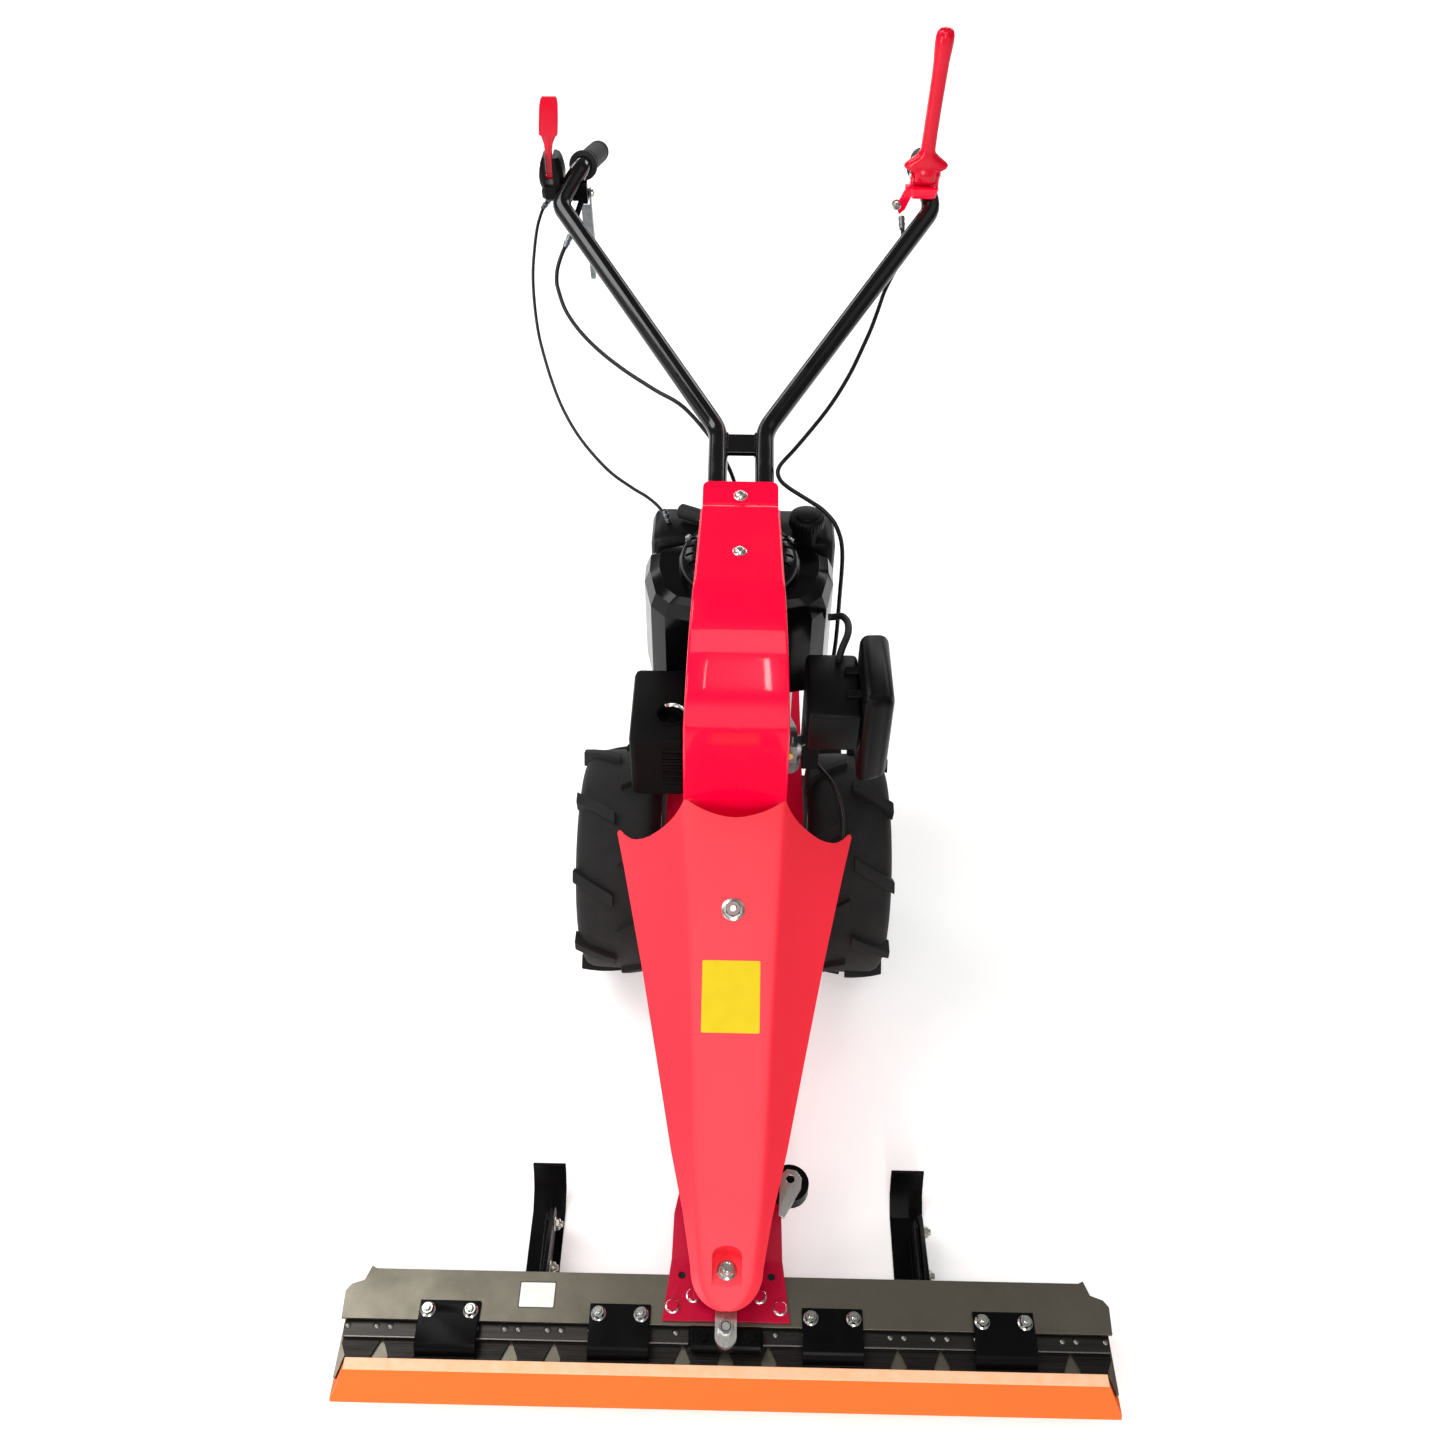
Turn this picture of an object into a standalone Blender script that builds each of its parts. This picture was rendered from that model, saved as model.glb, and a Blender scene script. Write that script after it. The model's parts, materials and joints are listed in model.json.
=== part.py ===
"""Two-wheeled walk-behind mower with a reciprocating cutter bar across its front.

Metres, +Z up. The cutter bar is at -Y, the operator stands at +Y, and +X is the right-hand side in the
photograph. Every piece is placed in a frame whose origin is on the ground under the wheel axle. An empty
then carries the whole machine, so that the finished part's origin is at the middle of its footprint.
"""

import math

import bmesh
import bpy
from mathutils import Vector

for old in list(bpy.data.objects):
    bpy.data.objects.remove(old, do_unlink=True)

# Reach of the grips behind the axle
BACK_REACH = 0.772

# Fits
SEAT_GAP = 0.0003
RUN_GAP = 0.0006
MERGE = 0.00001

# Wheels and axle
WHEEL_RADIUS = 0.165
TYRE_WIDTH = 0.115
TYRE_WALL = 0.007
LUG_COUNT = 9
LUG_HEIGHT = 0.010
RIM_RADIUS = 0.0762
RIM_FLANGE = 0.010
RIM_WALL = 0.003
BEAD_SPACING = 0.094
TRACK = 0.315
AXLE_RADIUS = 0.010
HUB_RADIUS = 0.021
HUB_LENGTH = 0.070

# Worm gearbox
CASE_RADIUS = 0.040
CASE_WIDTH = 0.062
CASE_WALL = 0.005
AXLE_TUBE_RADIUS = 0.020
WORM_OFFSET = 0.045
WORM_RADIUS = 0.011
WORM_LENGTH = 0.040
WORM_BOSS_RADIUS = 0.018
WORM_SHAFT_RADIUS = 0.008
WORM_WHEEL_WIDTH = 0.018

# Chassis
DECK_TOP = 0.272
DECK_THICKNESS = 0.004
DECK_WIDTH = 0.190
DECK_FRONT = -0.115
DECK_BACK = 0.275
SHEET_THICKNESS = 0.003
CHASSIS_WIDTH = 0.170
NOSE_WIDTH = 0.103
NOSE_FRONT = -0.475
BRIDGE_FRONT = -0.345
BRIDGE_TOP = 0.188

# Belt drives
CRANK_Y = 0.140
CRANK_RADIUS = 0.0125
BELT_DEPTH = 0.0085
BELT_HEIGHT = 0.008
DRIVE_PULLEY_RADIUS = 0.035
DRIVE_BELT_Z = 0.2365
KNIFE_BELT_Z = 0.2125
WORM_PULLEY_RADIUS = 0.060
PULLEY_HEIGHT = 0.0125
KNIFE_PULLEY_Y = -0.295
KNIFE_PULLEY_RADIUS = 0.065
KNIFE_SHAFT_RADIUS = 0.008
IDLER_RADIUS = 0.012
IDLER_REST_GAP = 0.0065

# Knife drive
KNIFE_Y = -0.630
ROCKER_Y = -0.360
STROKE = 0.050
ROCKER_THICKNESS = 0.008
ROCKER_WIDTH = 0.025
CRANK_PIN_RADIUS = 0.005
PIVOT_RADIUS = 0.010
KNIFE_PIN_RADIUS = 0.006

# Cutter bar
BAR_LENGTH = 0.898
BACK_PLATE_TOP = 0.074
BACK_PLATE_THICKNESS = 0.004
BACK_PLATE_FRONT = -0.622
BACK_PLATE_BACK = -0.563
FINGER_PITCH = 0.050
KNIFE_END_GAP = 0.003
KNIFE_LENGTH = BAR_LENGTH - 2 * KNIFE_END_GAP
KNIFE_STRIP_WIDTH = 0.025
KNIFE_STRIP_THICKNESS = 0.0065
SECTION_THICKNESS = 0.003
SECTION_TIP_Y = -0.676
FINGER_TIP_Y = -0.6818
FINGER_BOTTOM = 0.050
FINGER_THICKNESS = 0.0065
CLIP_END_INSET = 0.1255
CLIP_OUTER_X = BAR_LENGTH / 2 - CLIP_END_INSET
CLIP_INNER_X = 0.124
CLIP_POSITIONS = (-CLIP_OUTER_X, -CLIP_INNER_X, CLIP_INNER_X, CLIP_OUTER_X)
CLIP_BACK_Y = -0.600
CLIP_NUT_Y = -0.612
CLIP_BEND_Y = -0.650
CLIP_STEP_LENGTH = 0.010
CLIP_LIP_LENGTH = 0.012
CLIP_WIDTH = 0.071
CLIP_THICKNESS = 0.0035
CLIP_NUT_SPACING = 0.050
NUT_WIDTH = 0.013
NUT_HEIGHT = 0.0065
SKID_POSITIONS = (-0.2300, 0.2300)
SKID_WIDTH = 0.042
GUARD_OVERHANG = 0.0055
GUARD_LENGTH = BAR_LENGTH + 2 * GUARD_OVERHANG
GUARD_SLANT = 0.018
GUARD_TOP_Z = 0.070
GUARD_BOTTOM_Z = 0.030
GUARD_TOP_Y = (-0.664, -0.677)
GUARD_FRONT_GAP = 0.0182
FRONT_REACH = GUARD_FRONT_GAP - FINGER_TIP_Y
GUARD_BOTTOM_Y = (-FRONT_REACH, -0.645)
GUARD_LIP = (-0.640, 0.040)
GUARD_THICKNESS = 0.0022

# Carrier plate between the chassis and the bar
CARRIER_TOP = 0.1023
CARRIER_WIDTH = 0.149
CARRIER_BACK_WIDTH = 0.128
CARRIER_THICKNESS = 0.004

# Front cover
COVER_THICKNESS = 0.0025
COVER_TOP_Y = -0.088
COVER_TOP_Z = 0.399
COVER_SLOPE = 0.5463
COVER_WING_SLOPE = 0.72
COVER_WING_SWEEP = 0.084
COVER_NUT_Y = -0.2135
COVER_BOLT_Y = -0.577
POCKET_FLOOR = 0.1225

# Arch column
ARCH_THICKNESS = 0.003
ARCH_FLANGE = 0.012
ARCH_CENTRE_Y = 0.035
ARCH_CENTRE_Z = 0.530
ARCH_RADIUS = 0.135
ARCH_FOOT = (-0.078, 0.0665)
ARCH_KNEE = (-0.088, 0.380, 0.0665)
ARCH_SHOULDER = (-0.097, 0.470, 0.0655)
ARCH_BEND = (0.0997, 0.6680, 0.0520)
ARCH_CREASE = (0.1630, 0.6727)
ARCH_TAB_END = (0.2002, 0.6813)
ARCH_TAB_HALF = 0.048
ARCH_BOLTS_Y = (0.0742, 0.1768)

# Handlebar
TUBE_RADIUS = 0.0127
TUBE_SPACING = 0.061
TUBE_LOW_END_Y = 0.062
SPREAD_BEND_Y = 0.3046
SPREAD_BEND_REACH = 0.018
ELBOW = (0.2590, 0.5940, 0.8652)
ELBOW_REACH = 0.015
CROSS_PLATE_Y = 0.280
CROSS_PLATE_LENGTH = 0.033
MOUNT_PLATE_THICKNESS = 0.005
SPACER_RADIUS = 0.009
GRIP_RADIUS = 0.0155

# Engine
CRANKCASE_RADIUS = 0.078
BARREL_WIDTH = 0.106
BARREL_BOTTOM = 0.310
BARREL_TOP = 0.432
FIN_PITCH = 0.009
FIN_THICKNESS = 0.003
FIN_DEPTH = 0.012
SHROUD_THICKNESS = 0.0025
SHROUD_BOTTOM = 0.436
SHROUD_TOP = 0.590
SHROUD_BACK = 0.1932
SHROUD_ROUND = 0.0831
RECOIL_RADIUS = 0.078
RECOIL_HEIGHT = 0.0315
TANK_BACK = 0.275
TANK_BOTTOM = 0.450
TANK_TOP = 0.5895
TANK_NECK = 0.0165
CAP_PLACE = (0.088, 0.212)
CAP_RADIUS = 0.0235
NECK_RADIUS = 0.019
MUFFLER_SIZE = (0.056, 0.108, 0.080)
MUFFLER_PLACE = (-0.095, -0.010, 0.432)
MUFFLER_GUARD_SIZE = (0.072, 0.130, 0.106)
MUFFLER_GUARD_PLACE = (-0.0980, -0.0050, 0.4310)
FILTER_COVER_SIZE = (0.038, 0.126, 0.151)
FILTER_COVER_PLACE = (0.1693, -0.035, 0.5075)
FILTER_BODY_SIZE = (0.0647, 0.112, 0.062)
FILTER_BODY_PLACE = (0.11735, -0.036, 0.521)

# Bowden cables
CABLE_RADIUS = 0.0028
THIN_CABLE_RADIUS = 0.0022

FACING_X = (0.0, math.pi / 2, 0.0)
FACING_Y = (math.pi / 2, 0.0, 0.0)
UPRIGHT_LENGTHWISE = (math.pi / 2, 0.0, math.pi / 2)

# The part's origin lies midway between its foremost and rearmost points
AXLE_Y = (FRONT_REACH - BACK_REACH) / 2

machine = bpy.data.collections.new("walk_behind_sickle_mower")
cutters = bpy.data.collections.new("cutters_and_guides")
bpy.context.scene.collection.children.link(machine)
bpy.context.scene.collection.children.link(cutters)
machine_frame = bpy.data.objects.new("machine_frame", None)
machine_frame.location = (0.0, AXLE_Y, 0.0)
machine.objects.link(machine_frame)


def material(name, colour, roughness, metallic=0.0):
    found = bpy.data.materials.get(name)
    if found:
        return found
    made = bpy.data.materials.new(name)
    made.use_nodes = True
    shader = made.node_tree.nodes["Principled BSDF"]
    shader.inputs["Base Color"].default_value = (*colour, 1.0)
    shader.inputs["Roughness"].default_value = roughness
    shader.inputs["Metallic"].default_value = metallic
    return made


def red_sheet_steel():
    return material("red_sheet_steel", (0.78, 0.0, 0.045), 0.28)


def red_plastic():
    return material("red_plastic", (0.90, 0.08, 0.10), 0.55)


def black_plastic():
    return material("black_plastic", (0.012, 0.012, 0.014), 0.45)


def black_steel():
    return material("black_steel", (0.010, 0.010, 0.011), 0.30)


def bar_steel():
    return material("bar_steel", (0.34, 0.32, 0.27), 0.45, 1.0)


def knife_steel():
    return material("knife_steel", (0.10, 0.095, 0.085), 0.40, 1.0)


def zinc_steel():
    return material("zinc_steel", (0.62, 0.62, 0.60), 0.32, 1.0)


def cast_aluminium():
    return material("cast_aluminium", (0.50, 0.50, 0.50), 0.55, 1.0)


def tyre_rubber():
    return material("tyre_rubber", (0.020, 0.020, 0.020), 0.80)


def grip_rubber():
    return material("grip_rubber", (0.015, 0.015, 0.016), 0.70)


def orange_plastic():
    return material("orange_plastic", (1.0, 0.21, 0.028), 0.40)


def bronze():
    return material("bronze", (0.55, 0.36, 0.16), 0.40, 1.0)


def move_to(obj, collection):
    for owner in list(obj.users_collection):
        owner.objects.unlink(obj)
    collection.objects.link(obj)
    obj.parent = machine_frame


def finished(obj, name, finish, sharp_angle=35.0):
    """Names a piece, gives it its material and puts it in the machine."""
    obj.name = name
    obj.data.name = name
    obj.data.materials.clear()
    obj.data.materials.append(finish)
    obj.data.shade_smooth()
    obj.data.set_sharp_from_angle(angle=math.radians(sharp_angle))
    move_to(obj, machine)
    return obj


def guide(obj):
    obj.hide_render = True
    obj.display_type = "WIRE"
    move_to(obj, cutters)
    return obj


def joined(obj, *others):
    """Welds the other shapes to this one."""
    for other in others:
        weld = obj.modifiers.new("weld", "BOOLEAN")
        weld.operation = "UNION"
        weld.object = guide(other)
    return obj


def cut(obj, *others):
    for other in others:
        hole = obj.modifiers.new("cut", "BOOLEAN")
        hole.operation = "DIFFERENCE"
        hole.object = guide(other)
    return obj


def rounded(obj, width, segments=2, angle=40.0):
    edge = obj.modifiers.new("rounded_edges", "BEVEL")
    edge.width = width
    edge.segments = segments
    edge.limit_method = "ANGLE"
    edge.angle_limit = math.radians(angle)
    return obj


def block(size, centre, rotation=(0.0, 0.0, 0.0)):
    bpy.ops.mesh.primitive_cube_add(size=1.0, location=centre, rotation=rotation)
    obj = bpy.context.object
    obj.scale = size
    bpy.ops.object.transform_apply(location=False, rotation=False, scale=True)
    return obj


def box_between(low, high):
    size = [high[i] - low[i] for i in range(3)]
    centre = [(high[i] + low[i]) / 2 for i in range(3)]
    return block(size, centre)


def rod(radius, length, centre, rotation=(0.0, 0.0, 0.0), sides=20):
    bpy.ops.mesh.primitive_cylinder_add(
        vertices=sides, radius=radius, depth=length, location=centre, rotation=rotation
    )
    return bpy.context.object


def upright_rod(radius, low, high, place, sides=20):
    return rod(radius, high - low, (place[0], place[1], (low + high) / 2), sides=sides)


def rod_between(start, end, radius, sides=24):
    """A round bar whose axis runs from one point to another."""
    direction = Vector(end) - Vector(start)
    middle = (Vector(end) + Vector(start)) / 2
    turn = direction.to_track_quat("Z", "Y").to_euler()
    return rod(radius, direction.length, middle, turn, sides)


def hexagon(width, low, high, place):
    return upright_rod(width / math.sqrt(3), low, high, place, sides=6)


def object_from(mesh_builder, name="shape"):
    mesh = bpy.data.meshes.new(name)
    mesh_builder.to_mesh(mesh)
    mesh_builder.free()
    obj = bpy.data.objects.new(name, mesh)
    machine.objects.link(obj)
    return obj


def skin(rows, thickness, side=1.0):
    """A folded or curved sheet through rows of points.

    With each row from left to right and the rows running forward, side 1 puts the thickness below.
    """
    builder = bmesh.new()
    grid = [[builder.verts.new(point) for point in row] for row in rows]
    for near, far in zip(grid, grid[1:]):
        for i in range(len(near) - 1):
            builder.faces.new((near[i], near[i + 1], far[i + 1], far[i]))
    obj = object_from(builder)
    wall = obj.modifiers.new("thickness", "SOLIDIFY")
    wall.thickness = thickness
    wall.offset = side
    wall.use_even_offset = True
    return obj


def ring_skin(rings, thickness):
    """As skin, for rings of points from the bottom up. The thickness is inside."""
    return skin([list(ring) + [ring[0]] for ring in rings], thickness, side=-1.0)


def welded(obj):
    """Merges the first and last column of a closed skin."""
    builder = bmesh.new()
    builder.from_mesh(obj.data)
    bmesh.ops.remove_doubles(builder, verts=builder.verts, dist=MERGE)
    builder.to_mesh(obj.data)
    builder.free()
    return obj


def turned(profile, centre, rotation=(0.0, 0.0, 0.0), steps=32):
    """A lathe-turned shape. The profile is (radius, height), outer side from top to bottom."""
    builder = bmesh.new()
    points = [builder.verts.new((radius, 0.0, height)) for radius, height in profile]
    for first, second in zip(points, points[1:]):
        builder.edges.new((first, second))
    if profile[0][0] > 0.0 or profile[-1][0] > 0.0:
        builder.edges.new((points[-1], points[0]))
    obj = object_from(builder)
    obj.location = centre
    obj.rotation_euler = rotation
    lathe = obj.modifiers.new("lathe", "SCREW")
    lathe.steps = steps
    lathe.render_steps = steps
    lathe.use_merge_vertices = True
    lathe.merge_threshold = MERGE
    return obj


def as_mesh(obj):
    """A real mesh of what an object's curve or modifiers make, its caps welded and all faces outward."""
    bpy.context.view_layer.update()
    graph = bpy.context.evaluated_depsgraph_get()
    mesh = bpy.data.meshes.new_from_object(obj.evaluated_get(graph))
    builder = bmesh.new()
    builder.from_mesh(mesh)
    bmesh.ops.remove_doubles(builder, verts=builder.verts, dist=MERGE)
    bmesh.ops.recalc_face_normals(builder, faces=builder.faces)
    builder.to_mesh(mesh)
    builder.free()
    made = bpy.data.objects.new("shape", mesh)
    machine.objects.link(made)
    made.matrix_world = obj.matrix_world
    bpy.data.objects.remove(obj, do_unlink=True)
    return made


def plate(outline, thickness, centre=(0.0, 0.0, 0.0), rotation=(0.0, 0.0, 0.0), holes=()):
    """A flat piece cut to an outline, with its middle plane at the centre."""
    curve = bpy.data.curves.new("outline", "CURVE")
    curve.dimensions = "2D"
    curve.fill_mode = "BOTH"
    curve.extrude = thickness / 2
    for points in (outline, *holes):
        spline = curve.splines.new("POLY")
        spline.points.add(len(points) - 1)
        for target, point in zip(spline.points, points):
            target.co = (point[0], point[1], 0.0, 1.0)
        spline.use_cyclic_u = True
    obj = bpy.data.objects.new("outline", curve)
    obj.location = centre
    obj.rotation_euler = rotation
    machine.objects.link(obj)
    return flat_faced(as_mesh(obj))


def flat_faced(obj):
    """Makes each flat side one face, with none of the fill's thin triangles."""
    builder = bmesh.new()
    builder.from_mesh(obj.data)
    bmesh.ops.dissolve_limit(
        builder, angle_limit=math.radians(0.5), verts=builder.verts, edges=builder.edges
    )
    builder.to_mesh(obj.data)
    builder.free()
    return obj


def wire(points, radius, resolution=2):
    """A round tube or cable through points."""
    curve = bpy.data.curves.new("route", "CURVE")
    curve.dimensions = "3D"
    curve.bevel_depth = radius
    curve.bevel_resolution = resolution
    curve.use_fill_caps = True
    spline = curve.splines.new("POLY")
    spline.points.add(len(points) - 1)
    for target, point in zip(spline.points, points):
        target.co = (*point, 1.0)
    obj = bpy.data.objects.new("route", curve)
    machine.objects.link(obj)
    return as_mesh(obj)


def smooth_route(points, pieces=2):
    """Points on a smooth curve through the given ones."""
    route = [Vector(point) for point in points]
    padded = [route[0] * 2 - route[1], *route, route[-1] * 2 - route[-2]]
    made = []
    for i in range(1, len(padded) - 2):
        before, start, end, after = padded[i - 1 : i + 3]
        for step in range(pieces):
            t = step / pieces
            made.append(
                0.5
                * (
                    2 * start
                    + (end - before) * t
                    + (2 * before - 5 * start + 4 * end - after) * t**2
                    + (3 * start - before - 3 * end + after) * t**3
                )
            )
    made.append(route[-1])
    return made


def prisms(outlines, low, high):
    """Upright prisms as one shape, one for each outline seen from above."""
    builder = bmesh.new()
    for outline in outlines:
        floor = [builder.verts.new((x, y, low)) for x, y in outline]
        roof = [builder.verts.new((x, y, high)) for x, y in outline]
        builder.faces.new(floor)
        builder.faces.new(roof)
        for i in range(len(outline)):
            builder.faces.new((floor[i - 1], floor[i], roof[i], roof[i - 1]))
    bmesh.ops.recalc_face_normals(builder, faces=builder.faces)
    return object_from(builder)


def circle(radius, place=(0.0, 0.0), count=24):
    return [
        (
            place[0] + radius * math.cos(2 * math.pi * i / count),
            place[1] + radius * math.sin(2 * math.pi * i / count),
        )
        for i in range(count)
    ]


def mirrored(half):
    """An outline from its right half, which runs from the front centre to the back centre."""
    return [*half, *[(-x, y) for x, y in reversed(half) if x > 0.0]]


# Wheels


def tyre_section():
    """Closed section of the carcass, as (radius, distance along the axle)."""
    half = TYRE_WIDTH / 2
    bead = BEAD_SPACING / 2 - RUN_GAP
    crown = WHEEL_RADIUS - LUG_HEIGHT + 0.001
    outer = [
        (RIM_RADIUS + SEAT_GAP, bead),
        (RIM_RADIUS + RIM_FLANGE + 0.001, bead),
        (crown - 0.030, half),
        (crown, half * 0.72),
    ]
    side = [(radius, -along) for radius, along in reversed(outer)]
    inner = [(RIM_RADIUS + SEAT_GAP, -bead + 0.009), (crown - TYRE_WALL, -half * 0.78)]
    back = [(radius, -along) for radius, along in reversed(inner)]
    return [*outer, *side, *inner, *back]


def tread_lugs():
    """Slanted lugs on both shoulders, the two sides half a pitch apart."""
    builder = bmesh.new()
    half = TYRE_WIDTH / 2
    length = half * 0.92
    for side in (-1, 1):
        for i in range(LUG_COUNT):
            angle = 2 * math.pi * (i + (0.5 if side > 0 else 0.0)) / LUG_COUNT
            made = bmesh.ops.create_cube(builder, size=1.0)["verts"]
            for vert in made:
                radial, around, along = vert.co
                reach = along + 0.5
                spread = angle + around * 0.105 + reach * 0.20
                height = WHEEL_RADIUS - 0.0055 * reach**2
                low = height - LUG_HEIGHT - 0.003
                distance = height if radial > 0 else low
                vert.co = (
                    distance * math.cos(spread),
                    distance * math.sin(spread),
                    side * (0.002 + reach * length),
                )
    bmesh.ops.recalc_face_normals(builder, faces=builder.faces)
    return object_from(builder)


def make_tyres():
    carcass = as_mesh(turned(tyre_section(), (0.0, 0.0, 0.0), steps=24))
    move_to(carcass, machine)
    whole = as_mesh(joined(carcass, tread_lugs()))
    for name, side in (("tyre_left", -1), ("tyre_right", 1)):
        tyre = bpy.data.objects.new(name, whole.data.copy())
        machine.objects.link(tyre)
        tyre.location = (side * TRACK / 2, 0.0, WHEEL_RADIUS)
        tyre.rotation_euler = (0.0, side * math.pi / 2, 0.0)
        finished(tyre, name, tyre_rubber())
    bpy.data.objects.remove(whole, do_unlink=True)


def rim_section():
    edge = BEAD_SPACING / 2
    lip = RIM_RADIUS + RIM_FLANGE
    bore = AXLE_RADIUS + SEAT_GAP
    inside = RIM_RADIUS - RIM_WALL
    face = 0.012
    return [
        (lip, edge + 0.002),
        (lip, edge),
        (RIM_RADIUS, edge),
        (RIM_RADIUS, -edge),
        (lip, -edge),
        (lip, -edge - 0.002),
        (inside, -edge - 0.002),
        (inside, face - 0.004),
        (HUB_RADIUS, face - 0.006),
        (HUB_RADIUS, -HUB_LENGTH / 2),
        (bore, -HUB_LENGTH / 2),
        (bore, HUB_LENGTH / 2),
        (HUB_RADIUS, HUB_LENGTH / 2),
        (HUB_RADIUS, face),
        (inside, face),
        (inside, edge + 0.002),
    ]


def make_rims():
    for name, side in (("rim_left", -1), ("rim_right", 1)):
        centre = (side * TRACK / 2, 0.0, WHEEL_RADIUS)
        rim = turned(rim_section(), centre, (0.0, side * math.pi / 2, 0.0), steps=24)
        finished(rim, name, black_steel())


def make_axle():
    length = TRACK + HUB_LENGTH + 0.008
    axle = rod(AXLE_RADIUS, length, (0.0, 0.0, WHEEL_RADIUS), FACING_X)
    finished(axle, "axle", zinc_steel())


# Gearbox


def case_half(side):
    """One half of the worm gear case, with its axle tube and half of the worm boss."""
    split = side * SEAT_GAP / 2
    shell = rod(CASE_RADIUS, CASE_WIDTH, (0.0, 0.0, WHEEL_RADIUS), FACING_X, sides=24)
    tube_length = CHASSIS_WIDTH + 0.012
    tube = rod(AXLE_TUBE_RADIUS, tube_length, (0.0, 0.0, WHEEL_RADIUS), FACING_X)
    boss_low = WHEEL_RADIUS - 0.036
    boss_high = WHEEL_RADIUS + 0.036
    boss = upright_rod(WORM_BOSS_RADIUS, boss_low, boss_high, (0.0, -WORM_OFFSET))
    joined(shell, tube, boss)
    wheel_room = rod(
        CASE_RADIUS - CASE_WALL, WORM_WHEEL_WIDTH + 0.006, (0.0, 0.0, WHEEL_RADIUS), FACING_X
    )
    worm_room = upright_rod(
        WORM_RADIUS + 0.002,
        WHEEL_RADIUS - WORM_LENGTH / 2 - 0.003,
        WHEEL_RADIUS + WORM_LENGTH / 2 + 0.003,
        (0.0, -WORM_OFFSET),
    )
    axle_bore = rod(AXLE_RADIUS + RUN_GAP, tube_length + 0.02, (0.0, 0.0, WHEEL_RADIUS), FACING_X)
    worm_bore = upright_rod(
        WORM_SHAFT_RADIUS + RUN_GAP, WHEEL_RADIUS - 0.030, WHEEL_RADIUS + 0.050, (0.0, -WORM_OFFSET)
    )
    far = 0.2
    low = (split, -far, 0.0) if side < 0 else (-far, -far, 0.0)
    high = (far, far, far * 2) if side < 0 else (split, far, far * 2)
    return cut(shell, wheel_room, worm_room, axle_bore, worm_bore, box_between(low, high))


def make_gear_case():
    finished(case_half(-1), "gear_case_left", cast_aluminium())
    finished(case_half(1), "gear_case_right", cast_aluminium())


def make_worm_gear():
    radius = WORM_OFFSET - WORM_RADIUS - RUN_GAP
    width = WORM_WHEEL_WIDTH / 2
    section = [
        (radius, width),
        (radius - 0.002, 0.0),
        (radius, -width),
        (AXLE_RADIUS + SEAT_GAP, -width),
        (AXLE_RADIUS + SEAT_GAP, width),
    ]
    wheel = turned(section, (0.0, 0.0, WHEEL_RADIUS), FACING_X, steps=24)
    finished(wheel, "worm_wheel", bronze())


def make_worm_shaft():
    place = (0.0, -WORM_OFFSET)
    shaft = upright_rod(
        WORM_SHAFT_RADIUS, WHEEL_RADIUS - 0.028, DRIVE_BELT_Z + PULLEY_HEIGHT / 2 + 0.004, place
    )
    worm = upright_rod(
        WORM_RADIUS, WHEEL_RADIUS - WORM_LENGTH / 2, WHEEL_RADIUS + WORM_LENGTH / 2, place
    )
    finished(joined(shaft, worm), "worm_shaft", zinc_steel())


# Belt drives


def pulley_section(radius, bore, height, hub_low, hub_high, hub_radius):
    """A grooved pulley with a hub that may stand out above and below."""
    half = height / 2
    groove = radius - BELT_DEPTH
    return [
        (hub_radius, hub_high),
        (hub_radius, half),
        (radius, half),
        (groove, BELT_HEIGHT / 2 + 0.0006),
        (groove, -BELT_HEIGHT / 2 - 0.0006),
        (radius, -half),
        (hub_radius, -half),
        (hub_radius, hub_low),
        (bore, hub_low),
        (bore, hub_high),
    ]


def make_worm_pulley():
    half = PULLEY_HEIGHT / 2
    section = pulley_section(
        WORM_PULLEY_RADIUS, WORM_SHAFT_RADIUS + SEAT_GAP, PULLEY_HEIGHT, -half - 0.002, half + 0.002, 0.018
    )
    pulley = turned(section, (0.0, -WORM_OFFSET, DRIVE_BELT_Z), steps=24)
    finished(pulley, "worm_pulley", cast_aluminium())


def make_drive_pulley():
    """Two grooves on the crankshaft: the upper one drives the wheels, the lower one the knife."""
    middle = (DRIVE_BELT_Z + KNIFE_BELT_Z) / 2
    upper = DRIVE_BELT_Z - middle
    half = PULLEY_HEIGHT / 2
    groove = DRIVE_PULLEY_RADIUS - BELT_DEPTH
    slack = BELT_HEIGHT / 2 + 0.0006
    section = []
    for centre in (upper, -upper):
        section.append((DRIVE_PULLEY_RADIUS, centre + half))
        section.append((groove, centre + slack))
        section.append((groove, centre - slack))
        section.append((DRIVE_PULLEY_RADIUS, centre - half))
    bore = CRANK_RADIUS + SEAT_GAP
    section.append((bore, -upper - half))
    section.append((bore, upper + half))
    pulley = turned(section, (0.0, CRANK_Y, middle), steps=20)
    finished(pulley, "drive_pulley", cast_aluminium())


def belt_outline(first, first_radius, second, second_radius, count=14):
    """The loop round two pulleys on the centre line, the first one at the back."""
    lean = math.asin((second_radius - first_radius) / (first - second))
    points = []
    for i in range(count + 1):
        angle = lean + (math.pi - 2 * lean) * i / count
        points.append((first_radius * math.cos(angle), first + first_radius * math.sin(angle)))
    for i in range(count + 1):
        angle = math.pi - lean + (math.pi + 2 * lean) * i / count
        points.append((second_radius * math.cos(angle), second + second_radius * math.sin(angle)))
    return points


def make_belt(name, height, far_y, far_radius):
    near = DRIVE_PULLEY_RADIUS - BELT_DEPTH + RUN_GAP
    far = far_radius - BELT_DEPTH + RUN_GAP
    inner = belt_outline(CRANK_Y, near, far_y, far)
    outer = belt_outline(CRANK_Y, near + BELT_DEPTH, far_y, far + BELT_DEPTH)
    belt = plate(outer, BELT_HEIGHT, (0.0, 0.0, height), holes=(inner,))
    finished(belt, name, tyre_rubber())


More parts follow.
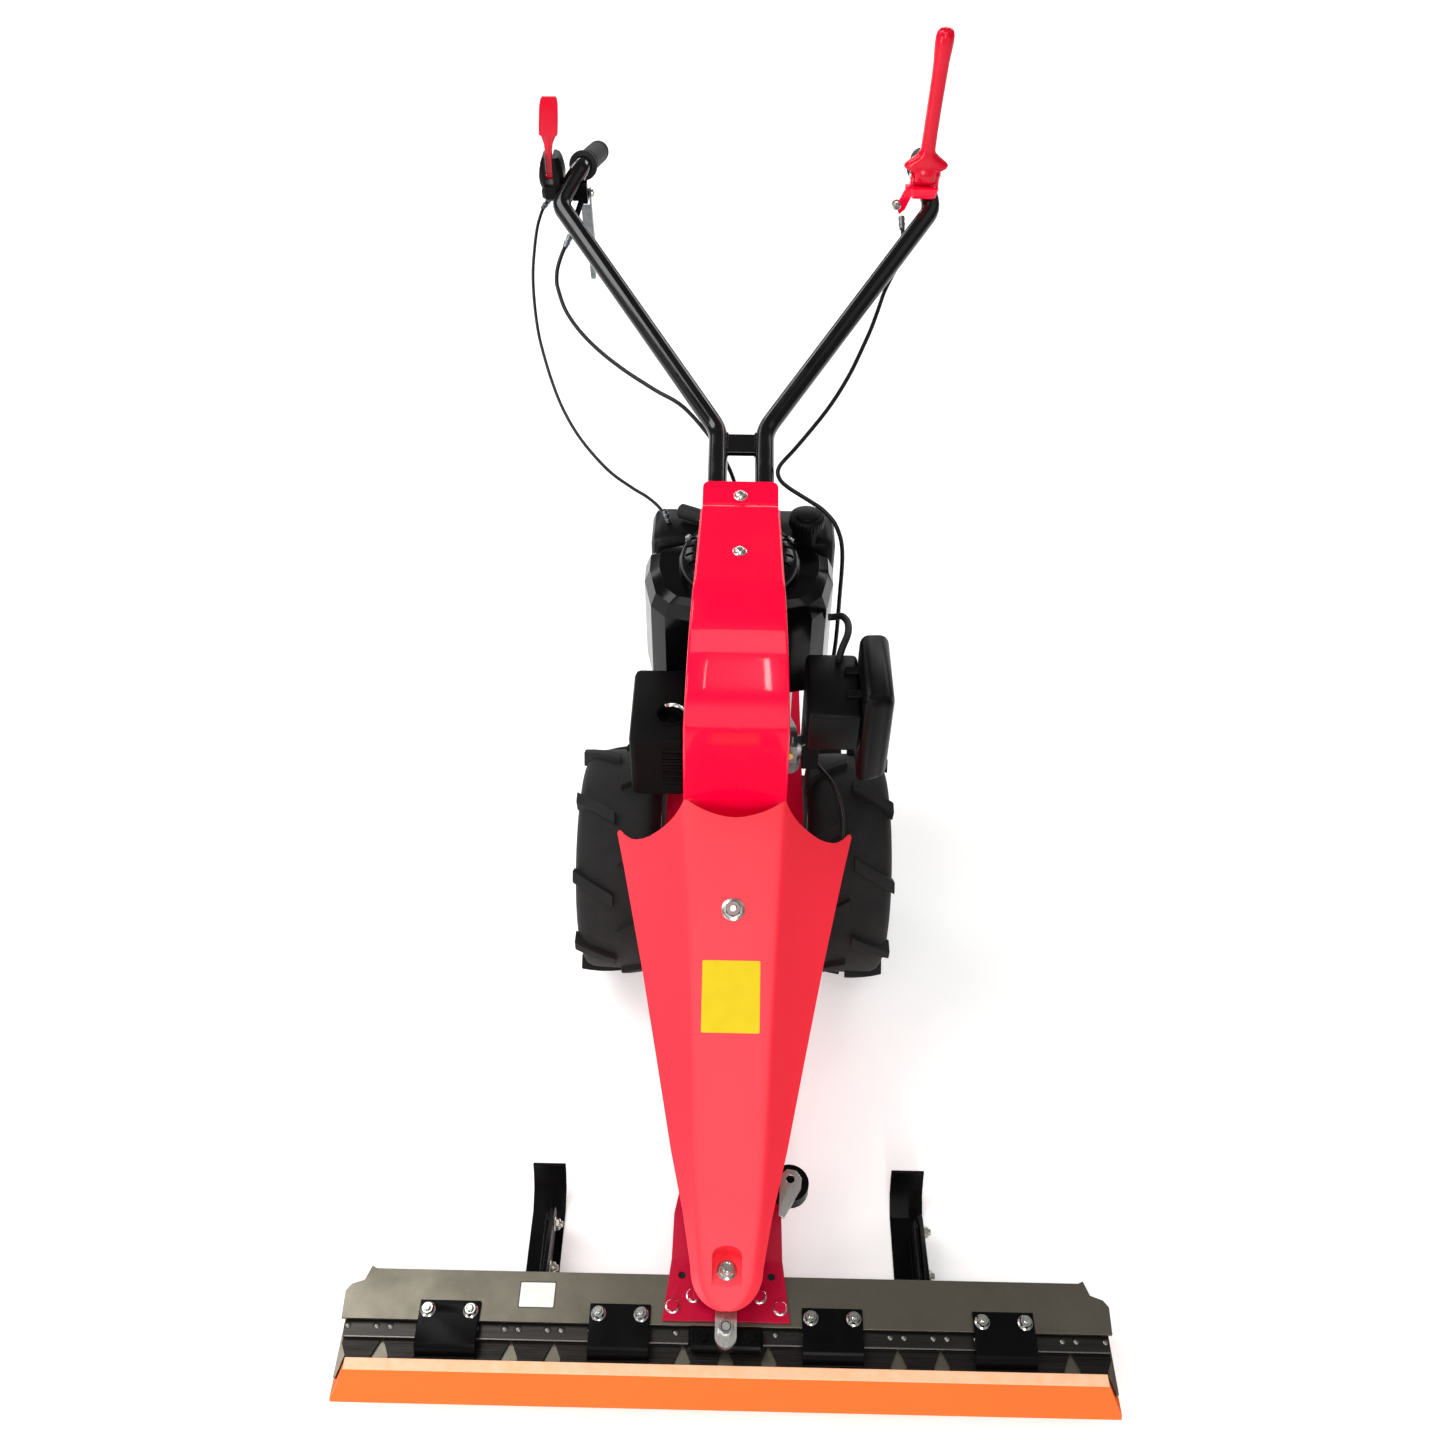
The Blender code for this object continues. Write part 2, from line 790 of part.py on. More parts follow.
def make_knife_pulley():
    """Pulley, shaft, crank disc and crank pin of the knife drive, keyed together."""
    place = (0.0, KNIFE_PULLEY_Y)
    crank_radius = crank_throw()
    half = PULLEY_HEIGHT / 2
    section = pulley_section(KNIFE_PULLEY_RADIUS, 0.0, PULLEY_HEIGHT, -half - 0.002, half + 0.006, 0.020)
    section = [(0.0, section[0][1]), *section[:-2], (0.0, section[-2][1])]
    pulley = turned(section, (*place, KNIFE_BELT_Z), steps=24)
    boss_low = BRIDGE_TOP - 0.012
    disc_top = boss_low - SEAT_GAP
    disc_low = disc_top - 0.008
    shaft = upright_rod(KNIFE_SHAFT_RADIUS, disc_low + 0.002, KNIFE_BELT_Z, place)
    disc = upright_rod(0.022, disc_low, disc_top, place)
    pin_place = (0.0, KNIFE_PULLEY_Y + crank_radius)
    pin = upright_rod(CRANK_PIN_RADIUS, disc_low - 0.017, disc_low + 0.002, pin_place, sides=16)
    finished(joined(pulley, shaft, disc, pin), "knife_pulley", cast_aluminium())


def crank_throw():
    """Radius of the crank pin's circle that gives the knife its stroke through the rocker arm."""
    return STROKE / 2 * (KNIFE_PULLEY_Y - ROCKER_Y) / (ROCKER_Y - KNIFE_Y)


def idler_place():
    """Where the idler roller stands beside the drive belt's right-hand run, at rest."""
    along = 0.080
    near = DRIVE_PULLEY_RADIUS
    share = (CRANK_Y - along) / (CRANK_Y + WORM_OFFSET)
    belt_side = near + (WORM_PULLEY_RADIUS - near) * share
    return (belt_side + IDLER_REST_GAP + IDLER_RADIUS, along)


IDLER_PIVOT = (0.060, 0.200)
IDLER_ARM_TOP = DRIVE_BELT_Z + 0.0175


def make_idler():
    place = idler_place()
    arm_low = IDLER_ARM_TOP - 0.004
    half = 0.010
    outline = [
        (IDLER_PIVOT[0] - half, IDLER_PIVOT[1] + half),
        (place[0] - half, place[1] - half),
        (place[0] + half, place[1] - half),
        (IDLER_PIVOT[0] + half, IDLER_PIVOT[1] + half),
    ]
    arm = plate(outline, 0.004, (0.0, 0.0, IDLER_ARM_TOP - 0.002))
    roller_top = DRIVE_BELT_Z + 0.006
    joined(arm, upright_rod(0.004, DRIVE_BELT_Z - 0.008, arm_low + 0.001, place, sides=16))
    cut(arm, upright_rod(0.005 + RUN_GAP, arm_low - 0.01, IDLER_ARM_TOP + 0.01, IDLER_PIVOT, sides=16))
    finished(arm, "idler_arm", zinc_steel())
    section = [
        (IDLER_RADIUS, 0.006),
        (IDLER_RADIUS, -0.006),
        (0.004 + RUN_GAP, -0.006),
        (0.004 + RUN_GAP, 0.006),
    ]
    roller = turned(section, (*place, roller_top - 0.006), steps=20)
    finished(roller, "idler_roller", black_plastic())


# Chassis


def chassis_walls(side):
    """One side wall: upright under the deck, drawn in towards the nose."""
    half = CHASSIS_WIDTH / 2
    nose = NOSE_WIDTH / 2
    stations = [
        (DECK_BACK, half, 0.215, DECK_TOP - 0.002),
        (0.060, half, 0.150, DECK_TOP - 0.002),
        (0.035, half, 0.128, DECK_TOP - 0.002),
        (-0.035, half, 0.128, DECK_TOP - 0.002),
        (DECK_FRONT, half, 0.146, DECK_TOP - 0.002),
        (DECK_FRONT - 0.015, half, 0.146, BRIDGE_TOP),
        (-0.300, half, 0.124, BRIDGE_TOP),
        (BRIDGE_FRONT, half - 0.0045, 0.118, BRIDGE_TOP),
        (-0.440, nose + 0.006, CARRIER_TOP + SEAT_GAP + 0.0002, 0.122),
        (NOSE_FRONT, nose, CARRIER_TOP + SEAT_GAP, 0.112),
    ]
    rows = [[(side * x, y, low), (side * x, y, high)] for y, x, low, high in stations]
    return skin(rows, SHEET_THICKNESS, -side)


def nose_floor():
    half = CHASSIS_WIDTH / 2 - SHEET_THICKNESS / 2
    nose = NOSE_WIDTH / 2 - SHEET_THICKNESS / 2
    stations = [
        (DECK_FRONT, 0.1505, half),
        (-0.300, 0.1285, half),
        (BRIDGE_FRONT, 0.1225, half - 0.0045),
        (-0.440, CARRIER_TOP + SEAT_GAP + SHEET_THICKNESS + 0.0002, nose + 0.006),
        (NOSE_FRONT, CARRIER_TOP + SEAT_GAP + SHEET_THICKNESS, nose),
    ]
    rows = [[(-x, y, z), (x, y, z)] for y, z, x in stations]
    return skin(rows, SHEET_THICKNESS)


def make_chassis():
    deck_middle = (DECK_FRONT + DECK_BACK) / 2
    deck = block(
        (DECK_WIDTH, DECK_BACK - DECK_FRONT, DECK_THICKNESS),
        (0.0, deck_middle, DECK_TOP - DECK_THICKNESS / 2),
    )
    inner = CHASSIS_WIDTH / 2 - SHEET_THICKNESS / 2
    bridge_outline = mirrored(
        [
            (0.0, BRIDGE_FRONT),
            (inner - 0.0045, BRIDGE_FRONT),
            (inner, -0.300),
            (inner, DECK_FRONT - 0.010),
            (0.0, DECK_FRONT - 0.010),
        ]
    )
    bridge = plate(bridge_outline, 0.004, (0.0, 0.0, BRIDGE_TOP - 0.002))
    bearing_top = KNIFE_BELT_Z - PULLEY_HEIGHT / 2 - 0.002 - SEAT_GAP
    bearing = upright_rod(0.024, BRIDGE_TOP - 0.012, bearing_top, (0.0, KNIFE_PULLEY_Y))
    stud_top = cover_height(COVER_NUT_Y) - COVER_THICKNESS * 1.13 - SEAT_GAP - 0.002
    stud = upright_rod(0.004, BRIDGE_TOP - 0.002, stud_top, (0.0, COVER_NUT_Y), sides=16)
    pivot_floor = 0.1195
    pivot = upright_rod(PIVOT_RADIUS, pivot_floor, 0.1640, (0.0, ROCKER_Y))
    collar = upright_rod(0.016, pivot_floor, pivot_floor + 0.006, (0.0, ROCKER_Y))
    idler_pin = upright_rod(
        0.005, IDLER_ARM_TOP - 0.006, DECK_TOP - DECK_THICKNESS + 0.001, IDLER_PIVOT, sides=16
    )
    idler_collar = upright_rod(
        0.008, IDLER_ARM_TOP + SEAT_GAP, DECK_TOP - DECK_THICKNESS + 0.001, IDLER_PIVOT, sides=16
    )
    joined(deck, chassis_walls(-1), chassis_walls(1), nose_floor(), bridge, bearing, stud)
    joined(deck, collar, pivot, idler_collar, idler_pin)
    cut(deck, upright_rod(KNIFE_SHAFT_RADIUS + RUN_GAP, 0.15, 0.25, (0.0, KNIFE_PULLEY_Y)))
    cut(deck, upright_rod(0.030, 0.255, 0.285, (0.0, CRANK_Y)))
    cut(deck, rod(AXLE_TUBE_RADIUS + SEAT_GAP * 2, 0.3, (0.0, 0.0, WHEEL_RADIUS), FACING_X))
    finished(deck, "chassis", red_sheet_steel())


def make_carrier():
    """The plate that carries the bar, with its bolts and the bridge that the cover is bolted to."""
    top_of_bar = BACK_PLATE_TOP + SEAT_GAP + CARRIER_THICKNESS
    front = BACK_PLATE_FRONT + 0.004
    half = CARRIER_WIDTH / 2
    back_half = CARRIER_BACK_WIDTH / 2
    stations = [
        (-0.440, CARRIER_TOP, back_half - 0.010),
        (-0.500, CARRIER_TOP, back_half + 0.001),
        (-0.545, top_of_bar, half - 0.008),
        (front, top_of_bar, half),
    ]
    rows = [[(-x, y, z), (x, y, z)] for y, z, x in stations]
    carrier = skin(rows, CARRIER_THICKNESS)
    bridge_half = 0.039
    bridge_top = top_of_bar + 0.019
    for side in (-1, 1):
        wall = block(
            (SHEET_THICKNESS, 0.026, 0.021),
            (side * (bridge_half - 0.0015), -0.565, top_of_bar + 0.0085),
        )
        joined(carrier, wall)
        hole_place = (side * 0.053, -0.565)
        cut(carrier, upright_rod(0.0045, 0.06, 0.10, hole_place, sides=16))
    roof = block((bridge_half * 2, 0.048, SHEET_THICKNESS), (0.0, -0.576, bridge_top - 0.0015))
    spacer_top = POCKET_FLOOR - COVER_THICKNESS - SEAT_GAP
    spacer = upright_rod(0.010, bridge_top - 0.001, spacer_top, (0.0, COVER_BOLT_Y))
    joined(carrier, roof, spacer)
    for x, y in ((0.063, -0.602), (0.039, -0.589), (-0.039, -0.589), (-0.063, -0.602)):
        joined(carrier, hexagon(NUT_WIDTH, top_of_bar - 0.001, top_of_bar + 0.0052, (x, y)))
    finished(carrier, "bar_carrier", red_sheet_steel())


# Knife drive and cutter bar


def make_rocker_arm():
    half = ROCKER_WIDTH / 2
    stations = [
        (KNIFE_PULLEY_Y - 0.022, 0.1600, half),
        (ROCKER_Y + 0.016, 0.1600, half),
        (ROCKER_Y - 0.016, 0.1520, half),
        (-0.420, 0.1370, half),
        (-0.505, 0.1170, half),
        (-0.545, 0.0930, half),
        (-0.560, 0.0925, half),
        (KNIFE_Y - 0.010, 0.0925, half),
    ]
    rows = [[(-x, y, z), (x, y, z)] for y, z, x in stations]
    arm = skin(rows, ROCKER_THICKNESS)
    hub = upright_rod(0.019, 0.1265, 0.1625, (0.0, ROCKER_Y))
    eye = upright_rod(0.026, 0.1510, 0.1610, (0.0, KNIFE_PULLEY_Y), sides=28)
    nose = upright_rod(half, 0.0925 - ROCKER_THICKNESS, 0.0925, (0.0, KNIFE_Y - 0.010))
    pin = upright_rod(KNIFE_PIN_RADIUS, 0.0705, 0.0965, (0.0, KNIFE_Y), sides=16)
    joined(arm, hub, eye, nose, pin)
    cut(arm, upright_rod(PIVOT_RADIUS + RUN_GAP, 0.10, 0.20, (0.0, ROCKER_Y)))
    eye_room = 2 * crank_throw() + CRANK_PIN_RADIUS + 0.001
    cut(arm, upright_rod(eye_room, 0.10, 0.20, (0.0, KNIFE_PULLEY_Y), sides=28))
    finished(arm, "rocker_arm", zinc_steel())


def gaps_between_tips(centres, valley, tip_y, base_half, tip_half):
    """Outlines of the gaps that leave a pointed tooth at every centre."""
    front = tip_y - 0.010
    outlines = []
    for left, right in zip(centres, centres[1:]):
        outlines.append(
            [
                (left + base_half, valley),
                (left + tip_half, tip_y),
                (left + tip_half, front),
                (right - tip_half, front),
                (right - tip_half, tip_y),
                (right - base_half, valley),
            ]
        )
    return outlines


def pitches_per_side():
    """How many finger pitches fit between the bar's middle and its end."""
    return round(BAR_LENGTH / 2 / FINGER_PITCH)


def make_knife():
    floor = FINGER_BOTTOM + FINGER_THICKNESS + SEAT_GAP
    strip_back = KNIFE_Y + 0.0155
    strip_front = strip_back - KNIFE_STRIP_WIDTH
    half = KNIFE_LENGTH / 2
    sections = box_between((-half, SECTION_TIP_Y, floor), (half, strip_back, floor + SECTION_THICKNESS))
    strip_low = floor + SECTION_THICKNESS - 0.0005
    strip = box_between(
        (-half + 0.0005, strip_front, strip_low),
        (half - 0.0005, strip_back - 0.0003, strip_low + KNIFE_STRIP_THICKNESS),
    )
    side = pitches_per_side()
    centres = [(i + 0.5) * FINGER_PITCH for i in range(-side - 1, side + 1)]
    gaps = gaps_between_tips(centres, strip_front - 0.0004, SECTION_TIP_Y, FINGER_PITCH / 2 - 0.0015, 0.007)
    joined(sections, strip)
    cut(sections, prisms(gaps, floor - 0.005, strip_low + KNIFE_STRIP_THICKNESS + 0.005))
    finished(sections, "knife", knife_steel())


def knife_top():
    return FINGER_BOTTOM + FINGER_THICKNESS + SEAT_GAP + SECTION_THICKNESS - 0.0005 + KNIFE_STRIP_THICKNESS


def make_knife_head():
    low = knife_top() + SEAT_GAP
    back = BACK_PLATE_FRONT - 0.0015
    head = box_between((-0.043, back - 0.026, low), (0.043, back, 0.0800))
    rounded(head, 0.003, 1)
    for x in (-0.028, 0.028):
        joined(head, hexagon(NUT_WIDTH, 0.079, 0.0850, (x, back - 0.012)))
    slot_half = KNIFE_PIN_RADIUS + RUN_GAP
    slot = box_between((-slot_half, KNIFE_Y - 0.0085, 0.0700), (slot_half, back + 0.01, 0.09))
    cut(head, slot)
    finished(head, "knife_head", black_steel())


def make_back_plate():
    """The bar's upper plate with its stepped ends, and the two upright plates that hold the skids."""
    end = BAR_LENGTH / 2
    half_outline = [
        (0.0, BACK_PLATE_FRONT),
        (end, BACK_PLATE_FRONT),
        (end + 0.002, -0.590),
        (end - 0.004, -0.582),
        (end - 0.018, -0.577),
        (end - 0.024, BACK_PLATE_BACK + 0.003),
        (end - 0.030, BACK_PLATE_BACK),
        (0.0, BACK_PLATE_BACK),
    ]
    bar = plate(
        mirrored(half_outline),
        BACK_PLATE_THICKNESS,
        (0.0, 0.0, BACK_PLATE_TOP - BACK_PLATE_THICKNESS / 2),
    )
    for centre in SKID_POSITIONS:
        plane = centre + SKID_WIDTH / 2 - 0.010
        outline = [
            (-0.590, 0.0715),
            (-0.565, 0.0715),
            (-0.478, 0.0560),
            (-0.470, 0.0480),
            (-0.470, 0.0300),
            (-0.480, 0.0240),
            (-0.560, 0.0240),
            (-0.590, 0.0440),
        ]
        joined(bar, plate(outline, 0.005, (plane, 0.0, 0.0), UPRIGHT_LENGTHWISE))
    finished(bar, "back_plate", bar_steel())


def make_finger_bar():
    """The guard fingers, one between every two knife sections, on a bar under the back plate."""
    end = BAR_LENGTH / 2
    fingers = box_between(
        (-end, FINGER_TIP_Y, FINGER_BOTTOM), (end, -0.5920, FINGER_BOTTOM + FINGER_THICKNESS)
    )
    spine = box_between(
        (-end + 0.001, KNIFE_Y + 0.0160, FINGER_BOTTOM + 0.001),
        (end - 0.001, -0.5925, BACK_PLATE_TOP - BACK_PLATE_THICKNESS - SEAT_GAP),
    )
    side = pitches_per_side()
    centres = [i * FINGER_PITCH for i in range(-side, side + 1)]
    gaps = gaps_between_tips(centres, KNIFE_Y - 0.012, FINGER_TIP_Y, 0.013, 0.004)
    joined(fingers, spine)
    cut(fingers, prisms(gaps, FINGER_BOTTOM - 0.005, FINGER_BOTTOM + FINGER_THICKNESS + 0.0005))
    finished(fingers, "finger_bar", bar_steel())


def make_hold_downs():
    """Four pressed clips over the knife, each on two studs with nuts."""
    top = BACK_PLATE_TOP + SEAT_GAP + CLIP_THICKNESS
    low = knife_top() - KNIFE_STRIP_THICKNESS + 0.0007 + CLIP_THICKNESS
    step_foot = CLIP_BEND_Y - CLIP_STEP_LENGTH
    profile = [
        (CLIP_BACK_Y, top),
        (CLIP_BEND_Y, top),
        (CLIP_BEND_Y - CLIP_STEP_LENGTH * 0.50, top - 0.004),
        (CLIP_BEND_Y - CLIP_STEP_LENGTH * 0.75, low + 0.002),
        (step_foot, low),
        (step_foot - CLIP_LIP_LENGTH, low),
    ]
    for number, centre in enumerate(CLIP_POSITIONS, start=1):
        half = CLIP_WIDTH / 2
        rows = [[(centre - half, y, z), (centre + half, y, z)] for y, z in profile]
        clip = skin(rows, CLIP_THICKNESS)
        for side in (-1, 1):
            place = (centre + side * CLIP_NUT_SPACING / 2, CLIP_NUT_Y)
            nut = hexagon(NUT_WIDTH, top - 0.001, top + NUT_HEIGHT, place)
            stud = upright_rod(0.004, top, top + NUT_HEIGHT + 0.003, place, sides=12)
            joined(clip, nut, stud)
        finished(clip, f"hold_down_{number}", black_steel())


def make_skids():
    """Runner shoes, bolted through slots to the bar's upright plates to set the cutting height."""
    profile = [
        (-0.600, 0.0300),
        (-0.585, 0.0120),
        (-0.565, 0.0040),
        (-0.455, 0.0040),
        (-0.432, 0.0200),
        (-0.421, 0.0420),
        (-0.418, 0.0540),
    ]
    for name, centre in zip(("skid_left", "skid_right"), SKID_POSITIONS):
        half = SKID_WIDTH / 2
        rows = [[(centre - half, y, z), (centre + half, y, z)] for y, z in profile]
        shoe = skin(rows, 0.004, -1.0)
        plane = centre + half - 0.010 - 0.005 / 2 - SEAT_GAP - 0.0025
        lug_outline = [
            (-0.560, 0.0020),
            (-0.560, 0.0500),
            (-0.548, 0.0560),
            (-0.490, 0.0540),
            (-0.478, 0.0480),
            (-0.478, 0.0020),
        ]
        lug = plate(lug_outline, 0.005, (plane, 0.0, 0.0), UPRIGHT_LENGTHWISE)
        joined(shoe, lug)
        finished(shoe, name, black_steel())


def make_transport_guard():
    """A plastic channel pushed over the fingers, its ends slanted outwards."""
    half = GUARD_LENGTH / 2
    profile = [
        (GUARD_TOP_Y[0], GUARD_TOP_Z, half - GUARD_SLANT),
        (GUARD_TOP_Y[1], GUARD_TOP_Z, half - GUARD_SLANT),
        (GUARD_BOTTOM_Y[0], GUARD_BOTTOM_Z, half),
        (GUARD_BOTTOM_Y[1], GUARD_BOTTOM_Z, half),
        (GUARD_LIP[0], GUARD_LIP[1], half - 0.0025),
    ]
    rows = [[(x, y, z), (-x, y, z)] for y, z, x in profile]
    guard = skin(rows, GUARD_THICKNESS, -1.0)
    finished(guard, "transport_guard", orange_plastic())


def make_side_bracket():
    """A black bracket at the nose's right side, with a plated lug on it."""
    body = upright_rod(0.0235, 0.1235, 0.1430, (0.0735, -0.4780), sides=24)
    tab = prisms([[(0.0572, -0.444), (0.0539, -0.463), (0.0620, -0.463), (0.0620, -0.444)]], 0.1080, 0.1250)
    finished(joined(body, tab), "side_bracket", black_steel())
    lug_outline = [
        (0.0600, -0.5200),
        (0.0660, -0.5240),
        (0.0870, -0.4870),
        (0.0885, -0.4740),
        (0.0820, -0.4640),
        (0.0710, -0.4620),
        (0.0620, -0.4700),
    ]
    hole = circle(0.0050, (0.0745, -0.4750), 16)
    lug = plate(lug_outline, 0.003, (0.0, 0.0, 0.1430 + SEAT_GAP + 0.0015), holes=(hole,))
    finished(lug, "bracket_lug", zinc_steel())


# Covers and column


def cover_height(y):
    """Height of the front cover's middle panel."""
    return COVER_TOP_Z + (y - COVER_TOP_Y) * COVER_SLOPE


def make_front_cover():
    """A moulded cover with a flat middle panel and a sloping wing on each side."""
    stations = [
        (-0.0910, 0.0650, 0.1530),
        (-0.1370, 0.0608, 0.1405),
        (-0.2450, 0.0549, 0.1150),
        (-0.3460, 0.0497, 0.0930),
        (-0.4550, 0.0447, 0.0697),
        (-0.5220, 0.0400, 0.0528),
        (-0.5610, 0.0340, 0.0443),
        (-0.5905, 0.0260, 0.0384),
        (-0.6060, 0.0180, 0.0290),
        (-0.6165, 0.0080, 0.0130),
    ]
    arc = [
        (0.0, -0.0200),
        (0.5, -0.0140),
        (1.0, 0.0),
        (1.25, -0.0160),
        (1.5, -0.0190),
        (1.75, -0.0130),
        (2.0, 0.0100),
    ]
    rows = []
    for index, (y, crease, edge) in enumerate(stations):
        row = []
        for across, dip in arc:
            out = max(across - 1.0, 0.0) * (edge - crease)
            x = min(across, 1.0) * crease + out
            along = y + (dip if index == 0 else 0.0) - COVER_WING_SWEEP * out
            row.append((x, along, cover_height(along) - COVER_WING_SLOPE * out))
        rows.append([(-x, b, c) for x, b, c in reversed(row[1:])] + row)
    cover = skin(rows, COVER_THICKNESS)
    pocket_front = COVER_TOP_Y + (POCKET_FLOOR - COVER_TOP_Z) / COVER_SLOPE
    pocket_back = pocket_front + 0.034
    half_width = 0.0175
    outer = box_between(
        (-half_width - COVER_THICKNESS, pocket_front + 0.002, POCKET_FLOOR - COVER_THICKNESS),
        (half_width + COVER_THICKNESS, pocket_back + COVER_THICKNESS, cover_height(pocket_back) - 0.001),
    )
    cup_cut_roof = block(
        (0.08, 0.08, 0.02),
        (0.0, COVER_BOLT_Y, cover_height(COVER_BOLT_Y) + 0.0102),
        (math.atan(COVER_SLOPE), 0.0, 0.0),
    )
    cut(outer, cup_cut_roof)
    joined(cover, outer)
    hollow = box_between(
        (-half_width, pocket_front - 0.004, POCKET_FLOOR),
        (half_width, pocket_back, POCKET_FLOOR + 0.05),
    )
    cut(cover, hollow)
    cut(cover, upright_rod(0.0045, POCKET_FLOOR - 0.01, POCKET_FLOOR + 0.01, (0.0, COVER_BOLT_Y), sides=16))
    finished(cover, "front_cover", red_plastic(), 25.0)


def arch_profile():
    """Side view of the column's outer face, from its foot on the deck to the tab under the handlebar."""
    points = [(ARCH_FOOT[0], DECK_TOP + SEAT_GAP, ARCH_FOOT[1]), ARCH_KNEE, ARCH_SHOULDER]
    for i in range(9):
        angle = math.radians(180 - i * 90 / 8)
        width = 0.0645 - 0.0105 * i / 8
        y = ARCH_CENTRE_Y + ARCH_RADIUS * math.cos(angle)
        z = ARCH_CENTRE_Z + ARCH_RADIUS * math.sin(angle)
        points.append((y, z, width))
    points.append(ARCH_BEND)
    points.append((*lerp_pair(ARCH_BEND, ARCH_CREASE, 0.87), 0.0500))
    return points


def lerp_pair(start, end, share):
    """A point between two places in side view."""
    return start[0] + (end[0] - start[0]) * share, start[1] + (end[1] - start[1]) * share


def arch_seat(y):
    """Height of the column's top face above a place behind the arch, and its rise for each metre."""
    crown = (ARCH_CENTRE_Y, ARCH_CENTRE_Z + ARCH_RADIUS)
    line = [crown, ARCH_BEND, ARCH_CREASE, ARCH_TAB_END]
    for start, end in zip(line, line[1:]):
        if y <= end[0] or end == ARCH_TAB_END:
            rise = (end[1] - start[1]) / (end[0] - start[0])
            return start[1] + (y - start[0]) * rise, rise


def make_arch():
    rows = []
    profile = arch_profile()
    for i, (y, z, half) in enumerate(profile):
        before = profile[max(i - 1, 0)]
        after = profile[min(i + 1, len(profile) - 1)]
        run = Vector((0.0, after[0] - before[0], after[1] - before[1])).normalized()
        inward = Vector((0.0, run.z, -run.y)) * ARCH_FLANGE
        rows.append(
            [
                (-half, y + inward.y, z + inward.z),
                (-half, y, z),
                (half, y, z),
                (half, y + inward.y, z + inward.z),
            ]
        )
    arch = skin(rows, ARCH_THICKNESS, -1.0)
    tab_line = [lerp_pair(ARCH_BEND, ARCH_CREASE, 0.80), ARCH_CREASE]
    tab_line += [lerp_pair(ARCH_CREASE, ARCH_TAB_END, 0.80), ARCH_TAB_END]
    tab_rows = []
    for (y, z), half in zip(tab_line, (ARCH_TAB_HALF, ARCH_TAB_HALF, ARCH_TAB_HALF, ARCH_TAB_HALF - 0.006)):
        tab_rows.append([(-half, y, z), (half, y, z)])
    joined(arch, skin(tab_rows, ARCH_THICKNESS, -1.0))
    for y in ARCH_BOLTS_Y:
        seat, rise = arch_seat(y)
        direction = Vector((0.0, -rise, 1.0)).normalized()
        place = Vector((0.0, y, seat))
        radius = NUT_WIDTH / math.sqrt(3)
        joined(arch, rod_between(place - direction * 0.002, place + direction * 0.0055, radius, 6))
    finished(arch, "arch_column", red_sheet_steel())


# Engine


def fin_gaps(front, back):
    """The gaps between upright cooling fins on both sides of the cylinder."""
    half = BARREL_WIDTH / 2
    core = half - FIN_DEPTH
    outlines = []
    y = front
    while y + FIN_PITCH - FIN_THICKNESS <= back:
        far = y + FIN_PITCH - FIN_THICKNESS
        for side in (-1, 1):
            near = side * core
            out = side * (half + 0.005)
            outlines.append([(near, y), (out, y), (out, far), (near, far)])
        y += FIN_PITCH
    return outlines


def make_engine_block():
    bottom = DECK_TOP + SEAT_GAP
    place = (0.0, CRANK_Y)
    flange = upright_rod(0.090, bottom, bottom + 0.008, place, sides=28)
    case = upright_rod(CRANKCASE_RADIUS, bottom + 0.006, 0.392, place, sides=28)
    half = BARREL_WIDTH / 2
    barrel = box_between((-half, 0.0, BARREL_BOTTOM), (half, 0.085, BARREL_TOP))
    top_boss = upright_rod(0.030, 0.388, 0.440, place)
    joined(flange, case, barrel, top_boss)
    cut(flange, upright_rod(CRANK_RADIUS + RUN_GAP, 0.20, 0.50, place))
    cut(flange, prisms(fin_gaps(0.004, 0.060), BARREL_BOTTOM - 0.003, BARREL_TOP + 0.005))
    finished(flange, "engine_block", cast_aluminium())


def make_cylinder_head():
    half = BARREL_WIDTH / 2
    head = box_between((-half, -0.034, BARREL_BOTTOM), (half, -SEAT_GAP, BARREL_TOP))
    cover = rounded(box_between((-0.036, -0.057, 0.328), (0.036, -0.030, 0.412)), 0.008, 2)
    joined(head, cover)
    cut(head, prisms(fin_gaps(-0.0300, -0.004), BARREL_BOTTOM - 0.005, BARREL_TOP + 0.005))
    finished(head, "cylinder_head", cast_aluminium())


def make_crankshaft():
    place = (0.0, CRANK_Y)
    shaft = upright_rod(CRANK_RADIUS, 0.200, 0.572, place)
    flywheel = upright_rod(0.058, 0.500, 0.522, place, sides=28)
    cup = upright_rod(0.030, 0.520, 0.585, place)
    finished(joined(shaft, flywheel, cup), "crankshaft", zinc_steel())


SHROUD_PLAN = [
    (0.044, -0.060),
    (0.053, -0.050),
    (0.053, 0.046),
    (0.062, 0.066),
    (0.094, 0.074),
    (0.113, 0.095),
    (0.124, 0.145),
    (0.124, 0.178),
    (0.112, 0.190),
    (0.064, 0.193),
    (0.042, 0.2116),
    (0.015, 0.2217),
]


